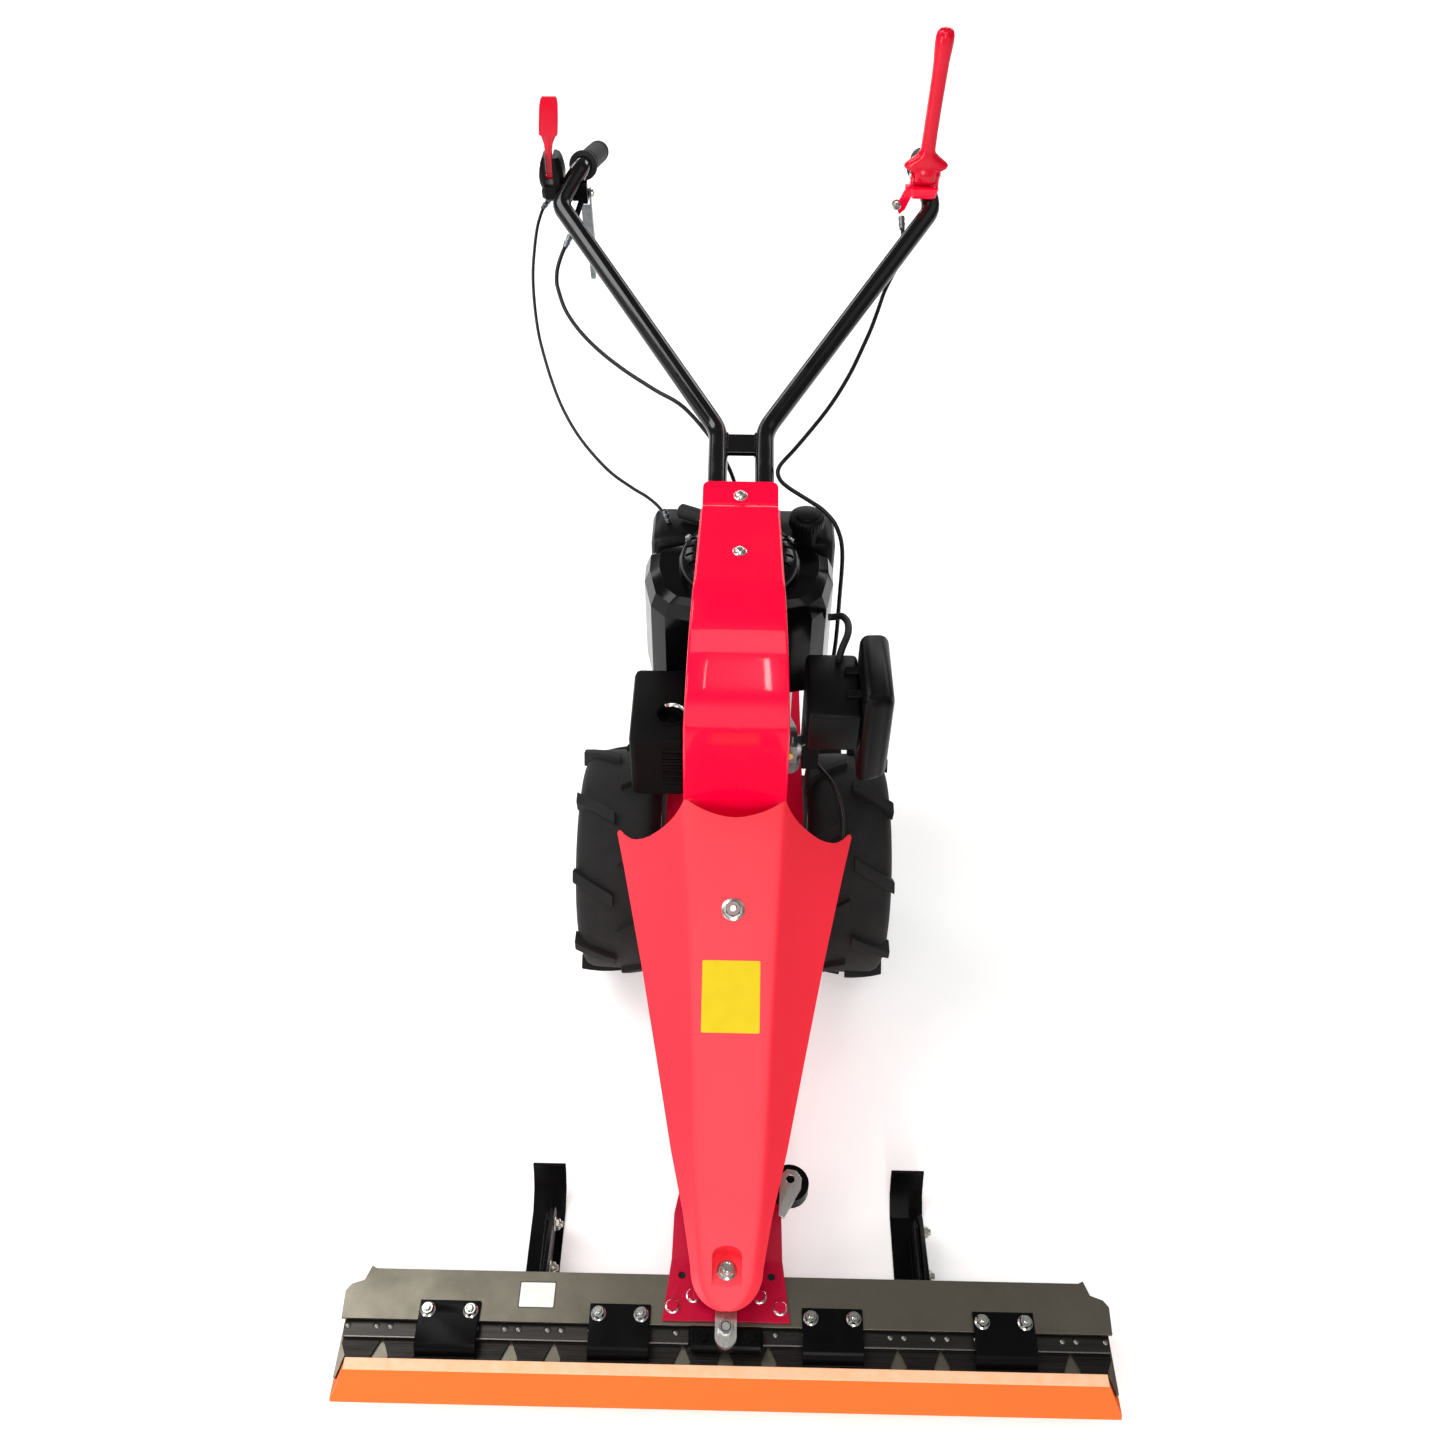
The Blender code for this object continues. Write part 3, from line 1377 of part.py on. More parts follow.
def make_fan_shroud():
    """Blower housing: narrow over the cylinder, wide round the flywheel, open underneath."""
    plan = [*SHROUD_PLAN, *[(-x, y) for x, y in reversed(SHROUD_PLAN)]]
    centre_y = CRANK_Y - 0.010

    def shaped(scale, top, front_top):
        ring = []
        for x, y in plan:
            place = Vector((x * scale, centre_y + (y - centre_y) * scale - CRANK_Y))
            if place.length < RECOIL_RADIUS + 0.0015:
                place = place.normalized() * (RECOIL_RADIUS + 0.0015)
            height = front_top if y < 0.050 else top
            ring.append((place.x, place.y + CRANK_Y, height))
        return ring

    def round_ring(radius, height):
        ring = []
        for x, y in plan:
            angle = math.atan2(y - centre_y, x)
            ring.append((radius * math.cos(angle), CRANK_Y + radius * math.sin(angle), height))
        return ring

    rings = [
        shaped(1.0, SHROUD_BOTTOM, SHROUD_BOTTOM),
        shaped(1.0, SHROUD_TOP - 0.030, 0.500),
        shaped(0.94, SHROUD_TOP - 0.010, 0.520),
        shaped(0.84, SHROUD_TOP - 0.002, 0.530),
        round_ring(RECOIL_RADIUS, SHROUD_TOP),
        round_ring(0.055, SHROUD_TOP),
    ]
    shroud = welded(ring_skin(rings, SHROUD_THICKNESS))
    finished(shroud, "fan_shroud", black_plastic(), 50.0)


def make_recoil_housing():
    low = SHROUD_TOP + SEAT_GAP
    top = low + RECOIL_HEIGHT
    wall = 0.0025
    section = [
        (0.0, top),
        (0.050, top - 0.001),
        (RECOIL_RADIUS - 0.006, top - 0.008),
        (RECOIL_RADIUS, top - 0.018),
        (RECOIL_RADIUS, low),
        (RECOIL_RADIUS - wall, low),
        (RECOIL_RADIUS - wall, top - 0.018 - wall),
        (RECOIL_RADIUS - 0.006 - wall, top - 0.008 - wall),
        (0.050, top - 0.001 - wall),
        (0.0, top - wall),
    ]
    housing = turned(section, (0.0, CRANK_Y, 0.0), steps=20)
    for i in range(6):
        angle = 2 * math.pi * i / 6
        place = (0.040 * math.cos(angle), CRANK_Y + 0.040 * math.sin(angle), top)
        cut(housing, block((0.036, 0.007, 0.012), place, (0.0, 0.0, angle)))
    finished(housing, "recoil_housing", black_plastic())


STARTER_PLACE = (-0.062, 0.2360, 0.6020)


def make_starter_handle():
    """A T-shaped pull with a short length of its rope, which goes in at the recoil housing's edge."""
    handle = rounded(block((0.044, 0.020, 0.020), STARTER_PLACE, (0.0, 0.0, math.radians(-25))), 0.006, 2)
    middle = Vector((0.0, CRANK_Y, STARTER_PLACE[2]))
    outward = (Vector(STARTER_PLACE) - middle).normalized()
    rope = rod_between(middle + outward * (RECOIL_RADIUS + RUN_GAP), STARTER_PLACE, 0.002, 8)
    joined(handle, rope)
    finished(handle, "starter_handle", black_plastic())


def make_fuel_tank():
    front = SHROUD_BACK + RUN_GAP
    tank = rounded(
        box_between((-0.118, front, TANK_BOTTOM), (0.128, TANK_BACK, TANK_TOP)), 0.014, 2
    )
    neck = upright_rod(NECK_RADIUS, TANK_TOP - 0.006, TANK_TOP + TANK_NECK, CAP_PLACE, sides=20)
    joined(tank, neck)
    wall = 0.004
    room = box_between(
        (-0.118 + wall * 2, SHROUD_ROUND + CRANK_Y + wall, TANK_BOTTOM + wall * 2),
        (0.128 - wall * 2, TANK_BACK - wall * 2, TANK_TOP - wall),
    )
    mouth = upright_rod(NECK_RADIUS - 0.004, TANK_TOP - 0.012, TANK_TOP + 0.030, CAP_PLACE, sides=20)
    recess = upright_rod(SHROUD_ROUND + 0.0011, 0.40, 0.70, (0.0, CRANK_Y), sides=32)
    cut(tank, room, mouth, recess)
    finished(tank, "fuel_tank", black_plastic())


def make_fuel_cap():
    low = TANK_TOP + TANK_NECK + SEAT_GAP
    section = [
        (0.0, 0.0190),
        (0.0150, 0.0190),
        (0.0165, 0.0160),
        (CAP_RADIUS - 0.003, 0.0150),
        (CAP_RADIUS, 0.0120),
        (CAP_RADIUS, 0.0),
        (0.0, 0.0),
    ]
    cap = turned(section, (*CAP_PLACE, low), steps=24)
    finished(cap, "fuel_cap", black_plastic())


def make_muffler():
    can = rounded(block(MUFFLER_SIZE, MUFFLER_PLACE), 0.014, 2)
    pipe_end = -BARREL_WIDTH / 2 - SEAT_GAP
    pipe = rod_between((MUFFLER_PLACE[0], -0.017, 0.4180), (pipe_end, -0.017, 0.4180), 0.009, 16)
    joined(can, pipe)
    for y in (-0.040, 0.022):
        stud_top = MUFFLER_GUARD_PLACE[2] + MUFFLER_GUARD_SIZE[2] / 2 - 0.002 - SEAT_GAP
        stud_place = (MUFFLER_PLACE[0] + 0.008, y)
        joined(can, upright_rod(0.005, MUFFLER_PLACE[2] + 0.03, stud_top, stud_place, sides=12))
    finished(can, "muffler", black_steel())


def make_muffler_guard():
    """A pressed box round the muffler, open towards the engine, with louvres and an outlet hole."""
    guard = rounded(block(MUFFLER_GUARD_SIZE, MUFFLER_GUARD_PLACE), 0.008, 2)
    size = [value - 0.004 for value in MUFFLER_GUARD_SIZE]
    inner = block(
        (size[0] + 0.02, size[1], size[2]),
        (MUFFLER_GUARD_PLACE[0] + 0.010 + 0.002, MUFFLER_GUARD_PLACE[1], MUFFLER_GUARD_PLACE[2]),
    )
    cut(guard, rounded(inner, 0.006, 2))
    front = MUFFLER_GUARD_PLACE[1] - MUFFLER_GUARD_SIZE[1] / 2
    for i in range(6):
        z = MUFFLER_GUARD_PLACE[2] + 0.030 - i * 0.0115
        cut(guard, block((0.034, 0.012, 0.0045), (-0.0765, front, z)))
    top = MUFFLER_GUARD_PLACE[2] + MUFFLER_GUARD_SIZE[2] / 2
    cut(guard, upright_rod(0.018, top - 0.006, top + 0.006, (-0.0825, -0.0260), sides=20))
    finished(guard, "muffler_guard", black_steel())


def make_carburettor():
    start = BARREL_WIDTH / 2 + SEAT_GAP
    end = FILTER_BODY_PLACE[0] - FILTER_BODY_SIZE[0] / 2 - SEAT_GAP
    throat = rod_between((start, -0.012, 0.4160), (end, -0.012, 0.4160), 0.015, 20)
    bowl = upright_rod(0.0155, 0.3800, 0.4060, ((start + end) / 2, -0.012), sides=20)
    body = block((0.020, 0.036, 0.030), ((start + end) / 2, -0.012, 0.4180))
    finished(joined(throat, body, bowl), "carburettor", cast_aluminium())


def make_air_filter():
    body = rounded(block(FILTER_BODY_SIZE, FILTER_BODY_PLACE), 0.006, 2)
    elbow_low = 0.396
    left = FILTER_BODY_PLACE[0] - FILTER_BODY_SIZE[0] / 2
    elbow = box_between((left, -0.034, elbow_low), (left + 0.022, 0.010, FILTER_BODY_PLACE[2]))
    joined(body, elbow)
    finished(body, "air_filter_base", black_plastic())
    cover = rounded(block(FILTER_COVER_SIZE, FILTER_COVER_PLACE), 0.013, 3)
    finished(cover, "air_filter_cover", black_plastic())


def make_breather_hose():
    top = FILTER_BODY_PLACE[2] + FILTER_BODY_SIZE[2] / 2 + SEAT_GAP
    route = [
        (0.1163, 0.0968, 0.5450),
        (0.1235, 0.0955, 0.5465),
        (0.1330, 0.0860, 0.5560),
        (0.1380, 0.0600, 0.5680),
        (0.1370, 0.0350, 0.5720),
        (0.1300, 0.0150, 0.5680),
        (0.1262, 0.0065, 0.5590),
        (0.1260, 0.0060, top + 0.0015),
    ]
    finished(wire([*smooth_route(route), (0.1260, 0.0060, top)], 0.0045), "breather_hose", grip_rubber())


# Handlebar and controls

GRIP_STARTS = {-1: (-0.2300, 0.6500, 0.8950), 1: (0.2445, 0.6500, 0.8990)}
GRIP_ENDS = {-1: (-0.2175, BACK_REACH - 0.0026, 0.8690), 1: (0.2587, BACK_REACH - 0.0026, 0.8645)}


def run_height(y):
    """Height of the handle tubes' middle line where they run under the column's tab."""
    seat, rise = arch_seat(ARCH_TAB_END[0])
    below = (TUBE_RADIUS + ARCH_THICKNESS + SEAT_GAP) * math.sqrt(1 + rise**2)
    return seat + (y - ARCH_TAB_END[0]) * rise - below


def rounded_corner(before, corner, after, reach):
    """Points of a smooth bend in place of a sharp corner."""
    corner = Vector(corner)
    start = corner + (Vector(before) - corner).normalized() * reach
    end = corner + (Vector(after) - corner).normalized() * reach
    made = []
    for i in range(5):
        t = i / 4
        made.append(start * (1 - t) ** 2 + corner * (2 * t * (1 - t)) + end * t**2)
    return made


def spread_bend(side):
    """The corner where a tube leaves the column and spreads outwards."""
    return Vector((side * TUBE_SPACING / 2, SPREAD_BEND_Y, run_height(SPREAD_BEND_Y)))


def elbow(side):
    """The corner at a tube's widest place, where it turns up to the grip."""
    return Vector((side * ELBOW[0], ELBOW[1], ELBOW[2]))


def handle_route(side):
    foot = Vector((side * TUBE_SPACING / 2, TUBE_LOW_END_Y, run_height(TUBE_LOW_END_Y)))
    grip_start = Vector(GRIP_STARTS[side])
    grip_end = Vector(GRIP_ENDS[side])
    grip_way = (grip_end - grip_start).normalized()
    grip_bend = grip_start - grip_way * 0.010
    return [
        foot,
        *rounded_corner(foot, spread_bend(side), elbow(side), SPREAD_BEND_REACH),
        *rounded_corner(spread_bend(side), elbow(side), grip_bend, ELBOW_REACH),
        *rounded_corner(elbow(side), grip_bend, grip_end, 0.010),
        grip_end - grip_way * 0.0050,
    ]


def make_handlebar():
    """Two bent tubes welded to a cross plate above and a mounting plate under the column's tab."""
    bar = wire(handle_route(-1), TUBE_RADIUS, 3)
    other = wire(handle_route(1), TUBE_RADIUS, 3)
    rise = arch_seat(ARCH_TAB_END[0])[1]
    tilt = (math.atan(rise), 0.0, 0.0)
    cross_place = (0.0, CROSS_PLATE_Y, run_height(CROSS_PLATE_Y))
    cross = block((TUBE_SPACING, CROSS_PLATE_LENGTH, 0.008), cross_place, tilt)
    mount_end_y = ARCH_BOLTS_Y[1] + 0.0122
    mount_y = (TUBE_LOW_END_Y + mount_end_y) / 2
    mount_length = (mount_end_y - TUBE_LOW_END_Y) * math.sqrt(1 + rise**2)
    mount_place = (0.0, mount_y, run_height(mount_y))
    mount = block((TUBE_SPACING, mount_length, MOUNT_PLATE_THICKNESS), mount_place, tilt)
    joined(bar, other, cross, mount)
    for y in ARCH_BOLTS_Y:
        seat, lean_here = arch_seat(y)
        direction = Vector((0.0, -lean_here, 1.0)).normalized()
        top = Vector((0.0, y, seat)) - direction * (ARCH_THICKNESS + SEAT_GAP + 0.0003)
        low = top - direction * (top.z - run_height(y))
        joined(bar, rod_between(low, top, SPACER_RADIUS, 16))
    finished(bar, "handlebar", black_steel(), 50.0)


def make_grips():
    for name, side in (("grip_left", -1), ("grip_right", 1)):
        start = Vector(GRIP_STARTS[side])
        end = Vector(GRIP_ENDS[side])
        length = (end - start).length
        bore = TUBE_RADIUS + 0.0004
        section = [
            (0.0, length),
            (GRIP_RADIUS - 0.004, length),
            (GRIP_RADIUS, length - 0.004),
            (GRIP_RADIUS, length * 0.5),
            (GRIP_RADIUS - 0.001, 0.012),
            (0.019, 0.009),
            (0.020, 0.004),
            (bore, 0.003),
            (bore, length - 0.0045),
            (0.0, length - 0.0045),
        ]
        turn = (end - start).to_track_quat("Z", "Y").to_euler()
        grip = turned(section, start, turn, steps=16)
        finished(grip, name, grip_rubber())


def tube_room(side):
    """The room that a clamp leaves for the handle tube."""
    return wire(handle_route(side), TUBE_RADIUS + 0.0005, 3)


THROTTLE_PIVOT = (-0.2734, 0.6300, 0.8902)
THROTTLE_NECK = 0.010


def lean(height):
    """Sideways lean of the thumb lever above its housing."""
    return max(height - 0.032, 0.0) * 0.09


def make_throttle():
    """A housing clamped behind the left tube's elbow, with a thumb lever in its slot."""
    x, y, z = THROTTLE_PIVOT
    housing = rounded(block((0.034, 0.040, 0.060), (x + 0.0030, y + 0.0010, z - 0.0010)), 0.005, 2)
    arm = box_between((x + 0.0110, y - 0.0180, z - 0.0300), (x + 0.0270, y, z - 0.0180))
    joined(housing, arm)
    slot = block((THROTTLE_NECK + 2 * RUN_GAP, 0.060, 0.050), (x, y + 0.0010, z + 0.0160))
    cut(housing, tube_room(-1), slot)
    joined(housing, rod(0.0025, 0.024, THROTTLE_PIVOT, FACING_X, sides=12))
    finished(housing, "throttle_housing", black_plastic())
    half = [
        (0.0050, 0.0000),
        (0.0050, 0.0350),
        (0.0065, 0.0480),
        (0.0105, 0.0590),
        (0.0112, 0.0850),
        (0.0090, 0.1020),
        (0.0060, 0.1060),
    ]
    outline = [(x + lean(z), z) for x, z in half] + [(-x + lean(z), z) for x, z in reversed(half)]
    lever = plate(outline, 0.0070, THROTTLE_PIVOT, FACING_Y)
    hub = rod(0.0058, THROTTLE_NECK, THROTTLE_PIVOT, FACING_X, sides=16)
    joined(lever, hub)
    cut(lever, rod(0.0031, 0.03, THROTTLE_PIVOT, FACING_X, sides=12))
    finished(lever, "throttle_lever", red_plastic())


CLUTCH_PIVOT = (-0.2265, 0.6400, 0.8610)
CLUTCH_LEVER_WIDTH = 0.014
CLUTCH_LEVER_WALL = 0.002


def make_clutch_lever():
    """A pressed channel lever under the left grip, pinned to a bracket below the tube."""
    x, y, z = CLUTCH_PIVOT
    tongue_half = CLUTCH_LEVER_WIDTH / 2 - CLUTCH_LEVER_WALL - RUN_GAP
    tongue = box_between((x - tongue_half, y - 0.0220, z - 0.0060), (x + tongue_half, y + 0.0050, z + 0.0050))
    saddle = box_between((x - 0.0170, y - 0.0220, z - 0.0020), (x + tongue_half, y - 0.0110, z + 0.0230))
    stay = rod_between((x - 0.0040, y - 0.0180, z - 0.0010), (-0.2442, 0.5800, 0.8292), 0.0040, 12)
    joined(saddle, tongue, stay)
    cut(saddle, tube_room(-1))
    joined(saddle, rod(0.0020, CLUTCH_LEVER_WIDTH + 0.006, CLUTCH_PIVOT, FACING_X, sides=12))
    joined(saddle, rod(0.0045, 0.0030, (x + CLUTCH_LEVER_WIDTH / 2 + 0.0018, y, z), FACING_X, sides=12))
    finished(saddle, "clutch_bracket", zinc_steel())
    outline = [
        (-0.0060, 0.0060),
        (0.0060, 0.0060),
        (0.0075, -0.0200),
        (0.0150, -0.0550),
        (0.0270, -0.1000),
        (0.0360, -0.1280),
        (0.0340, -0.1400),
        (0.0260, -0.1425),
        (0.0190, -0.1280),
        (0.0040, -0.0700),
        (-0.0040, -0.0300),
    ]
    hollow = [
        (-0.0120, 0.0080),
        (0.0120, 0.0080),
        (0.0150, -0.0200),
        (0.0225, -0.0550),
        (0.0290, -0.0820),
        (0.0130, -0.0820),
        (0.0070, -0.0680),
        (-0.0015, -0.0300),
        (-0.0035, -0.0150),
        (-0.0120, -0.0100),
    ]
    hole = (circle(0.0026, count=12),)
    lever = plate(outline, CLUTCH_LEVER_WIDTH, CLUTCH_PIVOT, UPRIGHT_LENGTHWISE, holes=hole)
    room = CLUTCH_LEVER_WIDTH - 2 * CLUTCH_LEVER_WALL
    cut(lever, plate(hollow, room, CLUTCH_PIVOT, UPRIGHT_LENGTHWISE))
    waist = 0.0032
    for side in (-1, 1):
        edge = x + side * (CLUTCH_LEVER_WIDTH / 2 + 0.001)
        low = min(edge, x + side * waist)
        high = max(edge, x + side * waist)
        cut(lever, box_between((low, y - 0.010, z - 0.150), (high, y + 0.050, z - 0.0900)))
    finished(lever, "clutch_lever", zinc_steel())


KNIFE_LEVER_PIVOT = (0.2447, 0.6030, 0.9085)


def make_knife_lever():
    """The tall lever over the right grip, pinned between two ears of a saddle on the tube."""
    x, y, z = KNIFE_LEVER_PIVOT
    saddle = box_between((x - 0.0160, y - 0.0110, z - 0.0275), (x + 0.0160, y + 0.0110, z - 0.0132))
    bridge = box_between((x - 0.0250, y - 0.0020, z - 0.0210), (x - 0.0100, y + 0.0060, z - 0.0150))
    cheek_outline = [
        (-0.0150, -0.0150),
        (-0.0225, -0.0180),
        (-0.0275, -0.0270),
        (-0.0345, -0.0440),
        (-0.0300, -0.0560),
        (-0.0225, -0.0490),
        (-0.0160, -0.0330),
        (-0.0140, -0.0200),
    ]
    cheek = plate(cheek_outline, 0.0040, (x, y + 0.0030, z), FACING_Y)
    bolt = rod(0.0045, 0.006, (x - 0.0345, y + 0.0030, z - 0.0430), FACING_X, sides=6)
    joined(saddle, bridge, cheek, bolt)
    for side in (-1, 1):
        ear_outline = [
            (y - 0.0050, z - 0.0150),
            (y - 0.0050, z),
            (y, z + 0.0050),
            (y + 0.0050, z),
            (y + 0.0050, z - 0.0150),
        ]
        joined(saddle, plate(ear_outline, 0.0030, (x + side * 0.0178, 0.0, 0.0), UPRIGHT_LENGTHWISE))
        foot = block((0.0050, 0.0100, 0.0070), (x + side * 0.0168, y, z - 0.0172))
        joined(saddle, foot)
    cut(saddle, tube_room(1))
    joined(saddle, rod(0.0030, 0.0360, KNIFE_LEVER_PIVOT, FACING_X, sides=12))
    finished(saddle, "knife_lever_bracket", red_sheet_steel())
    hub = rod(0.0125, 0.0320, KNIFE_LEVER_PIVOT, FACING_X, sides=20)
    flare_outline = [
        (-0.0150, 0.0),
        (0.0150, 0.0),
        (0.0155, 0.0064),
        (0.0290, 0.0085),
        (0.0300, 0.0150),
        (0.0180, 0.0250),
        (0.0095, 0.0310),
        (-0.0095, 0.0310),
        (-0.0180, 0.0250),
        (-0.0300, 0.0150),
        (-0.0290, 0.0085),
        (-0.0155, 0.0064),
    ]
    flare = plate(flare_outline, 0.0160, KNIFE_LEVER_PIVOT, FACING_Y)
    stem_line = [
        (x, y, z + 0.010),
        (x + 0.001, y, z + 0.060),
        (x + 0.004, y, z + 0.130),
        (x + 0.006, y, z + 0.187),
    ]
    stem = wire(stem_line, 0.0098, 2)
    joined(hub, flare, stem)
    cut(hub, rod(0.0036, 0.05, KNIFE_LEVER_PIVOT, FACING_X, sides=12))
    finished(hub, "knife_lever", red_plastic())


# Cables


def make_cables():
    throttle = [
        (-0.2772, 0.6280, 0.8568),
        (-0.2835, 0.6180, 0.8515),
        (-0.2884, 0.6050, 0.8434),
        (-0.2924, 0.5870, 0.8314),
        (-0.2947, 0.5620, 0.8130),
        (-0.2956, 0.5340, 0.7898),
        (-0.2924, 0.5040, 0.7633),
        (-0.2861, 0.4730, 0.7391),
        (-0.2784, 0.4480, 0.7225),
        (-0.2636, 0.4090, 0.6989),
        (-0.2446, 0.3690, 0.6766),
        (-0.2174, 0.3270, 0.6564),
        (-0.1790, 0.2850, 0.6373),
        (-0.1449, 0.2600, 0.6265),
        (-0.1270, 0.2515, 0.6200),
        (-0.1130, 0.2440, 0.6125),
        (-0.1030, 0.2380, 0.6035),
        (-0.0975, 0.2348, 0.5955),
        (-0.0960, 0.2340, TANK_TOP + SEAT_GAP + 0.0007),
    ]
    finished(wire(smooth_route(throttle), THIN_CABLE_RADIUS), "throttle_cable", grip_rubber())
    clutch = [
        (-0.2446, 0.5790, 0.8268),
        (-0.2496, 0.5720, 0.8191),
        (-0.2562, 0.5600, 0.8086),
        (-0.2618, 0.5460, 0.7950),
        (-0.2630, 0.5340, 0.7828),
        (-0.2600, 0.5220, 0.7740),
        (-0.2489, 0.4980, 0.7566),
        (-0.2287, 0.4720, 0.7406),
        (-0.2000, 0.4440, 0.7261),
        (-0.1629, 0.4120, 0.7144),
        (-0.1186, 0.3760, 0.7057),
        (-0.0780, 0.3450, 0.6982),
        (-0.0360, 0.3180, 0.6600),
        (-0.0100, 0.3080, 0.6100),
        (0.0000, 0.3020, 0.5500),
        (0.0000, 0.2920, 0.4200),
        (0.0000, 0.2830, 0.3100),
    ]
    route = [*smooth_route(clutch), (0.0, 0.2782, 0.2720), (0.0, 0.2781, 0.2550)]
    finished(wire(route, CABLE_RADIUS), "clutch_cable", grip_rubber())
    knife = [
        (0.2180, 0.5980, 0.8515),
        (0.2195, 0.5700, 0.8330),
        (0.2130, 0.5400, 0.8125),
        (0.2018, 0.5200, 0.7972),
        (0.1928, 0.5000, 0.7880),
        (0.1837, 0.4700, 0.7784),
        (0.1728, 0.4400, 0.7647),
        (0.1600, 0.4100, 0.7514),
        (0.1466, 0.3800, 0.7384),
        (0.1308, 0.3500, 0.7258),
        (0.1125, 0.3200, 0.7136),
        (0.0911, 0.2900, 0.7017),
        (0.0688, 0.2630, 0.6883),
        (0.0578, 0.2500, 0.6829),
        (0.0504, 0.2415, 0.6777),
        (0.0479, 0.2330, 0.6726),
        (0.0522, 0.2240, 0.6665),
        (0.0627, 0.2160, 0.6614),
        (0.0769, 0.2070, 0.6571),
        (0.0924, 0.1980, 0.6521),
        (0.1080, 0.1885, 0.6459),
        (0.1245, 0.1770, 0.6300),
        (0.1342, 0.1685, 0.5960),
        (0.1345, 0.1550, 0.5300),
        (0.1310, 0.1250, 0.4600),
        (0.1180, 0.0820, 0.4040),
        (0.1010, 0.0490, 0.3780),
        (0.0975, 0.0190, 0.3730),
        (0.1090, -0.0060, 0.3740),
        (0.1256, -0.0300, 0.3705),
        (0.1360, -0.0505, 0.3600),
        (0.1420, -0.0720, 0.3440),
        (0.1400, -0.1000, 0.3180),
        (0.1240, -0.1450, 0.2780),
        (0.1020, -0.1850, 0.2280),
        (0.0890, -0.2100, 0.1780),
    ]
    finished(wire(smooth_route(knife), CABLE_RADIUS), "knife_cable", grip_rubber())


make_tyres()
make_rims()
make_axle()
make_gear_case()
make_worm_gear()
make_worm_shaft()
make_worm_pulley()
make_drive_pulley()
make_belt("drive_belt", DRIVE_BELT_Z, -WORM_OFFSET, WORM_PULLEY_RADIUS)
make_belt("knife_belt", KNIFE_BELT_Z, KNIFE_PULLEY_Y, KNIFE_PULLEY_RADIUS)
make_knife_pulley()
make_idler()
make_chassis()
make_carrier()
make_rocker_arm()
make_knife()
make_knife_head()
make_back_plate()
make_finger_bar()
make_hold_downs()
make_skids()
make_transport_guard()
make_side_bracket()
make_front_cover()
make_arch()
make_engine_block()
make_cylinder_head()
make_crankshaft()
make_fan_shroud()
make_recoil_housing()
make_starter_handle()
make_fuel_tank()
make_fuel_cap()
make_muffler()
make_muffler_guard()
make_carburettor()
make_air_filter()
make_breather_hose()
make_handlebar()
make_grips()
make_throttle()
make_clutch_lever()
make_knife_lever()
make_cables()
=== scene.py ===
import json
import math

import bmesh
import bpy
from mathutils import Matrix, Vector

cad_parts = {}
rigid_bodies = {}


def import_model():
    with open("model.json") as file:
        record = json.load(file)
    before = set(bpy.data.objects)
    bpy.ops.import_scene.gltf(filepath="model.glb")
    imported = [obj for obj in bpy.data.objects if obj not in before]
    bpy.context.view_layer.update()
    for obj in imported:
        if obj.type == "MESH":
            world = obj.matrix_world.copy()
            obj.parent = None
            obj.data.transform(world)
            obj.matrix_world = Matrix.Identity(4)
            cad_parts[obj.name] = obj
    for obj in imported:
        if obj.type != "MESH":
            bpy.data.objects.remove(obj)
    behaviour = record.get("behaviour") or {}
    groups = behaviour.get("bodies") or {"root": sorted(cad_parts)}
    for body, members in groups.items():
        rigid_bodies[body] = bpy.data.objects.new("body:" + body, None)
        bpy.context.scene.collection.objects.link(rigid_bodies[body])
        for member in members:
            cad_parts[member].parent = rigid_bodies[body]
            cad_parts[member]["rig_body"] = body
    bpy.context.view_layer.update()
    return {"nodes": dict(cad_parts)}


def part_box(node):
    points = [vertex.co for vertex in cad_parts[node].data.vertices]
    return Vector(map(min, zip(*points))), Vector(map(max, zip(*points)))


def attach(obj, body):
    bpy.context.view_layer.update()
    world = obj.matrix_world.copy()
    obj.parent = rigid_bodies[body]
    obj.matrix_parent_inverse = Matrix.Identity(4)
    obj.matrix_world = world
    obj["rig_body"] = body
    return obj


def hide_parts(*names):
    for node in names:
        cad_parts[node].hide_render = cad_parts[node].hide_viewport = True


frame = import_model()
cad = frame["nodes"]

# Camera: a phone held above the cutter bar, looking 45 degrees down along the machine.
# Its 33 mm lens on a 36 mm square frame gives the photograph's strong foreshortening.
camera_data = bpy.data.cameras.new("camera")
camera_data.lens = 33.35
camera_data.sensor_width = 36.0
camera_data.clip_end = 50.0
camera = bpy.data.objects.new("camera", camera_data)
bpy.context.scene.collection.objects.link(camera)
heading = Matrix.Rotation(math.radians(0.8104), 4, "Z")
tilt = Matrix.Rotation(math.radians(45.0), 4, "X")
roll = Matrix.Rotation(math.radians(0.4628), 4, "Z")
camera.matrix_world = Matrix.Translation((-0.00404, -1.257, 1.671)) @ heading @ tilt @ roll
bpy.context.scene.camera = camera
bpy.context.scene.view_settings.view_transform = "Standard"


# Studio: a pale seamless floor under soft lamps. High side lamps and three behind light it evenly, a
# sheet over the camera whitens the cover, and two narrow strips draw the column's streaks.
def linear(colour):
    """An sRGB hex colour as the linear values that a shader takes."""
    parts = [int(colour[i : i + 2], 16) / 255 for i in (1, 3, 5)]
    return [p / 12.92 if p <= 0.04045 else ((p + 0.055) / 1.055) ** 2.4 for p in parts] + [1.0]


def add(material, kind, inputs=None, **settings):
    """Adds a node. Settings are its properties, inputs its sockets' values or the outputs that feed them."""
    node = material.node_tree.nodes.new("ShaderNode" + kind)
    for name, value in settings.items():
        setattr(node, name, value)
    for socket, value in (inputs or {}).items():
        if isinstance(value, bpy.types.NodeSocket):
            material.node_tree.links.new(value, node.inputs[socket])
        else:
            node.inputs[socket].default_value = value
    return node


